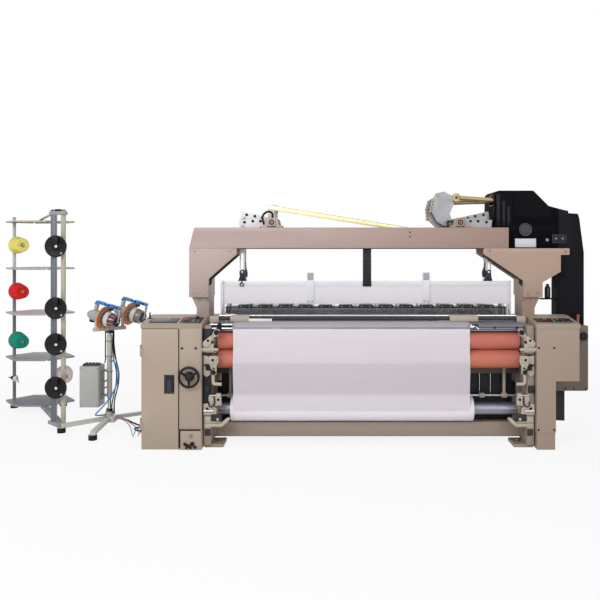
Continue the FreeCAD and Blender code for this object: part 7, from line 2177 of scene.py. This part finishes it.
@dataclass
class Creel:
    """The yarn creel: poles, shelves, cones on their spindles and the disc tensioners."""

    shop: Workshop
    pole: Pair = (-3275.0, 827.0)
    back_pole: Pair = (-2840.0, 905.0)
    centre: Pair = (-3020.0, 800.0)
    turn: float = -51.5
    collar: float = 84.0
    length: float = 170.0
    big: float = 82.0
    small: float = 62.0
    front: Pair = (-2562.0, -20.0)

    def build(self) -> None:
        """Builds the creel."""
        shop = self.shop
        frame = shop.refined("creel_frame", Finishes.SHELF, 1.5)
        for level, finish in ((905, Finishes.SHELF_PALE), (1320, Finishes.SHELF_PALE), (75, Finishes.SHELF_DARK)):
            shop.region(frame, finish, lambda p, level=level: level - 16 < p.z < level + 8 and p.x < -2680)
        for pole in (self.pole, self.back_pole):
            shop.region(
                frame, Finishes.POLE, lambda p, pole=pole: p.z > 25 and math.hypot(p.x - pole[0], p.y - pole[1]) < 17)
        shop.region(
            frame, Finishes.STAND, lambda p: p.z > 1340 and math.hypot(p.x - self.pole[0], p.y - self.pole[1]) < 17)
        shop.region(frame, Finishes.POLE, lambda p: abs(p.x + 2601) < 21 and abs(p.y) < 21 and p.z > 60)
        shop.region(frame, Finishes.TAN_POST, lambda p: abs(p.x + 2522) < 17 and abs(p.y) < 17 and p.z > 60)
        shop.region(frame, Finishes.RUBBER, lambda p: p.z < 24)
        shop.region(frame, Finishes.STEEL, self.on_spindle)
        self.fittings()
        self.cones()
        self.tensioners()

    def on_spindle(self, place: Vector) -> bool:
        """Tells whether a point of the frame is on a package spindle."""
        for (x, y), z, turn in (*((self.pole, z, self.turn) for z in (1535, 1105, 648)),
                                (self.pole, 284, -60.0), (self.back_pole, 320, -66.0)):
            way = Vector((math.cos(math.radians(turn)), math.sin(math.radians(turn))))
            away = Vector((place.x - x, place.y - y))
            along, across = away.dot(way), abs(away.cross(way))
            if 17 < along < 280 and across < 28 and abs(place.z - z) < 28:
                return True
        return False

    def fittings(self) -> None:
        """Adds the poles' clamps, the shelves' folded edges and bolts, and the head's caps."""
        shop, clamps, edges = self.shop, [], []
        for (x, y), levels in ((self.pole, (284, 648, 1105, 1535)), (self.back_pole, (320,))):
            for z in levels:
                clamps.append(shop.block((x - 25, y - 23, z - 17), (x + 25, y + 23, z + 17), 4.0))
                clamps.append(shop.rod((x - 22, y, z), (x - 52, y - 4, z + 3), 5, 20, 1.5))
        shop.fitted("pole_clamps", clamps, Finishes.BLACK, "black_plastic")
        cx, cy = self.centre
        corners = [(cx - 325, cy), (cx - 150, cy - 240), (cx + 150, cy - 240), (cx + 325, cy), (cx + 150, cy + 240),
                   (cx - 150, cy + 240)]
        for z in (75, 490, 905, 1320, 1755):
            for index, (x0, y0) in enumerate(corners):
                x1, y1 = corners[(index + 1) % 6]
                run = Vector((x1 - x0, y1 - y0, 0))
                edge = shop.block((6, -0.2, z - 11), (run.length - 6, 1.6, z + 4.8), 0.7, 1)
                edges.append(shop.moved(edge, shift((x0, y0, 0)) @ Matrix.Rotation(math.atan2(run.y, run.x), 4, "Z")))
        shelf = shop.fitted("shelf_edges", edges, Finishes.SHELF, "creel_grey")
        shop.region(shelf, Finishes.TAN_POST, lambda p: p.z > 1700)
        shop.region(shelf, Finishes.SHELF_PALE, lambda p: 880 < p.z < 1340)
        collars = [
            shop.turned([(0, 15.6), (0, 24), (2, 26), (12, 26), (14, 24), (14, 15.6)], (x, y, z - 14.2), UP, 28)
            for x, y in (self.pole, self.back_pole) for z in (490, 905, 1320, 1755)]
        shop.fitted("shelf_collars", collars, Finishes.BOLT, "bright_steel")
        caps = [shop.dome((x, y, 1789), 16.5, 0.5) for x, y in (self.pole, self.back_pole)]
        caps += [
            shop.block((x - h - 1, -h - 1, 1822), (x + h + 1, h + 1, 1832), 3.0) for x, h in ((-2601, 20), (-2522, 16))]
        caps.append(shop.block((-2584, -26, 1790), (-2540, 26, 1836), 5.0))
        shop.fitted("creel_caps", caps, Finishes.BLACK, "black_plastic")

    def cones(self) -> None:
        """Makes the four cross-wound cones on their card tubes."""
        shop, tubes = self.shop, []
        rows = ((self.pole, 1535, self.turn, Finishes.CONE_YELLOW), (self.pole, 1105, self.turn, Finishes.CONE_RED),
                (self.pole, 648, self.turn, Finishes.CONE_GREEN), (self.back_pole, 320, -66.0, Finishes.CONE_PALE))
        for number, ((x, y), z, turn, finish) in enumerate(rows):
            way = Vector((math.cos(math.radians(turn)), math.sin(math.radians(turn)), 0))
            base = Vector((x, y, z)) + way * self.collar
            draw, length = random.Random(number), self.length
            side = [(at, self.big - 1 - (self.big - self.small) * at / length - draw.uniform(0, 0.7))
                    for at in evenly(9, length - 9, 26)]
            cone = shop.turned([
                (1.5, 22), (0.5, self.big - 16), (2.5, self.big - 6), (5.5, self.big - 2), *side,
                (length - 5, self.small - 2), (length - 2, self.small - 6), (length - 0.6, self.small - 14),
                (length - 3, 40), (length - 4, 17)], tuple(base), tuple(way), 64)
            shop.wrapped(cone, tuple(base), tuple(way), (self.big + self.small) / 2)
            shop.fitted(f"yarn_cone_{number}", cone, finish, "cone_yarn", smooth=50.0)
            if number == 0:
                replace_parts(cone, "yarn_cones")
            tubes.append(shop.turned([
                (0.5, 9.2), (0.5, 22), (3, 22.4), (length - 5, 17.4), (length + 3, 17), (length + 4, 15.5),
                (length + 4, 9.2)], tuple(base), tuple(way), 40))
        shop.fitted("cone_tubes", tubes, Finishes.CARD, "cone_yarn")

    def tensioners(self) -> None:
        """Makes the four tensioners: bracket, dished disc, brake box and eyelets."""
        shop, (x, y) = self.shop, self.front
        black, bright, eyes = [], [], []
        for z in (1526, 1014, 716, 357):
            black.append(shop.block((x - 64, y - 24, z - 26), (x + 62, y - 0.4, z + 26), 4.0))
            black.append(shop.turned([
                (24, 0), (24, 33), (34, 52), (42, 88), (43.5, 91.5), (49.5, 91.5), (50.5, 88), (46, 70), (44, 40),
                (50, 30), (56, 22), (56, 0)], (x, y, z), FRONT, 72))
            black.append(shop.block((x - 24, y - 72, z + 16), (x + 26, y - 44, z + 84), 5.0, 3))
            black.append(shop.block((x + 38, y - 24, z - 60), (x + 54, y - 16, z - 20), 2.0))
            black.append(
                shop.turned([(18, 0), (18, 11), (20, 12), (44, 12), (46, 10), (46, 0)], (x + 46, y, z - 58), FRONT, 28))
            bright.append(shop.rod((x + 12, y - 56, z), (x + 12, y - 74, z), 7, 24, 2.0))
            bright.append(shop.piped(
                [(x + 46, y - 30, z - 58), (x + 70, y - 34, z - 40), (x + 74, y - 36, z - 8), (x + 62, y - 40, z + 14)],
                2.2))
            eyes.append(shop.ring((x + 12, y - 74, z), BACK, 8, 3.2, 32))
            eyes.append(shop.ring((x + 46, y - 47, z - 58), BACK, 6, 2.2, 28))
        shop.standing_for("tensioner_bodies", black, "yarn_tensioners", Finishes.BLACK)
        shop.fitted("tensioner_wires", bright, Finishes.CHROME, "bright_steel")
        shop.fitted("tensioner_eyes", eyes, Finishes.WHITE, "guard_white")


@dataclass(frozen=True)
class Hose:
    """One hose or cable of the stand: its route, its size and its finish."""

    name: str
    bore: float
    length: float
    finish: Any
    route: tuple[Point, ...]

    def build(self, shop: Workshop) -> None:
        """Lays the hose along its route as one smooth curve."""
        piece = shop.curved(self.name + "_line", self.route, self.bore / 2, 5)
        piece.data.materials.append(shop.palette.get(self.finish))
        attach(piece, "root")
        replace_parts(piece, self.name)
        LOG.info("%s is laid", self.name)


HOSES = (
    Hose("hose_blue", 8.0, 757.0, Finishes.HOSE_BLUE, (
        (-2098, 70, 70), (-2056, 70, 70), (-2004, 52, 46), (-1966, 8, 16), (-1936, -66, 6), (-1912, -150, 5),
        (-1884, -232, 5), (-1860, -308, 12), (-1838, -374, 42), (-1812, -430, 88), (-1772, -462, 125),
        (-1725, -462, 125))),
    Hose("hose_red", 8.0, 741.0, Finishes.HOSE_RED, (
        (-2098, 92, 70), (-2052, 92, 70), (-1994, 86, 38), (-1940, 56, 10), (-1900, -2, 5), (-1872, -84, 5),
        (-1850, -170, 5), (-1832, -252, 7), (-1816, -324, 22), (-1798, -382, 52), (-1768, -415, 80),
        (-1725, -415, 80))),
    Hose("signal_cable", 14.0, 787.0, Finishes.CABLE, (
        (-2098, 114, 62), (-2044, 114, 62), (-1972, 106, 28), (-1894, 74, 9), (-1842, 4, 8), (-1822, -82, 10),
        (-1828, -168, 22), (-1848, -246, 48), (-1850, -318, 78), (-1808, -370, 104), (-1725, -370, 104))),
    Hose("hose_blue_loop", 12.0, 715.0, Finishes.HOSE_BLUE, (
        (-2148, 88, 560), (-2110.5, 47.5, 560), (-2070, -2, 518), (-2052, -32, 440), (-2070, -48, 358),
        (-2110, -58, 276), (-2168, -62, 204), (-2226, -48, 148), (-2256, -10, 118), (-2245, 39, 102.5),
        (-2218, 78, 98))))


@dataclass
class Studio:
    """The floor, the pale surroundings, the soft lamps and the camera."""

    shop: Workshop
    eye: Point = (-294.0, -6350.0, 1545.0)
    lens: float = 45.6
    shift: Pair = (-0.05, -0.0933)
    air: float = 0.5
    glow: float = 0.87
    fade: Pair = (3.0, 8.0)

    def build(self) -> None:
        """Sets the whole studio up."""
        self.floor()
        self.surroundings()
        self.lamps()
        self.camera()
        bpy.context.scene.view_settings.view_transform = "Standard"

    def floor(self) -> None:
        """Lays a wide floor that shows nearly white, and keeps the loom's shadow."""
        self.shop.deselect()
        bpy.ops.mesh.primitive_plane_add(size=90.0, location=(0, 0, -0.001))
        floor = self.shop.settled("studio_floor")
        graph = Surface("pale_floor")
        graph.finish(Base_Color=(0.85, 0.85, 0.85), Roughness=0.9)
        away = graph.node("ShaderNodeVectorMath", {"operation": "LENGTH"}, {0: graph.place()}, "Value")
        glow = graph.node("ShaderNodeEmission", {}, {"Color": WHITE_LIGHT, "Strength": 1.0})
        mixed = graph.node("ShaderNodeMixShader", {}, {
            0: graph.seen() * away.spread(*self.fade, self.glow, 1.0), 1: Socket(graph, graph.shader.outputs[0]),
            2: glow})
        graph.tree.links.new(mixed.output, graph.end.inputs["Surface"])
        floor.data.materials.append(graph.material)

    def surroundings(self) -> None:
        """Lights the world softly, and shows it white to the camera and in reflections."""
        world = bpy.data.worlds.new("studio_air")
        graph = Graph(world)
        air, white = (graph.node(
            "ShaderNodeBackground", {}, {"Color": WHITE_LIGHT, "Strength": strength}) for strength in (self.air, 1.0))
        mixed = graph.node("ShaderNodeMixShader", {}, {0: graph.seen(), 1: air, 2: white})
        end = graph.tree.nodes.new("ShaderNodeOutputWorld")
        graph.tree.links.new(mixed.output, end.inputs["Surface"])
        bpy.context.scene.world = world

    def lamps(self) -> None:
        """Hangs three soft lamps: before, beside and behind the loom."""
        for name, place, aim, size, power in (
                ("key_lamp", (-3.6, -6.5, 4.6), (-0.6, 0, 0.9), 3.5, 262),
                ("fill_lamp", (3.0, -7.0, 3.0), (0.2, 0, 0.9), 4.0, 90),
                ("back_lamp", (0.5, 5.5, 5.0), (-0.5, 0, 0.9), 4.0, 70)):
            lamp = bpy.data.lights.new(name, "AREA")
            lamp.energy, lamp.size = power, size
            holder = bpy.data.objects.new(name, lamp)
            holder.location = place
            holder.rotation_euler = (Vector(aim) - Vector(place)).to_track_quat("-Z", "Y").to_euler()
            bpy.context.scene.collection.objects.link(holder)

    def camera(self) -> None:
        """Places the camera at the photograph's viewing point."""
        camera = bpy.data.cameras.new("photo_camera")
        camera.lens, camera.sensor_width = self.lens, 36.0
        camera.shift_x, camera.shift_y = self.shift
        camera.clip_end = 100.0
        holder = bpy.data.objects.new("photo_camera", camera)
        holder.location = metres(self.eye)
        holder.rotation_euler = (math.radians(90), 0, 0)
        bpy.context.scene.collection.objects.link(holder)
        bpy.context.scene.camera = holder


def main() -> None:
    """Builds the loom's sub-assemblies around the frame."""
    logging.basicConfig(level=logging.INFO, format="%(message)s", stream=sys.stdout)
    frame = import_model()
    shop = Workshop(frame)
    Studio(shop).build()
    for hose in HOSES:
        hose.build(shop)
    for assembly in (SideFrames, TakeUp, Temples, Sley, Healds, LeverMotion, Gantry, WarpSide, Dobby, Cabinets,
                     Consoles, Handwheel, Feeders, Stand, Creel):
        LOG.info("building %s", assembly.__name__)
        assembly(shop).build()
    shop.refined("air_tank", Finishes.MOTOR, 3.0)


if __name__ == "__main__":
    main()
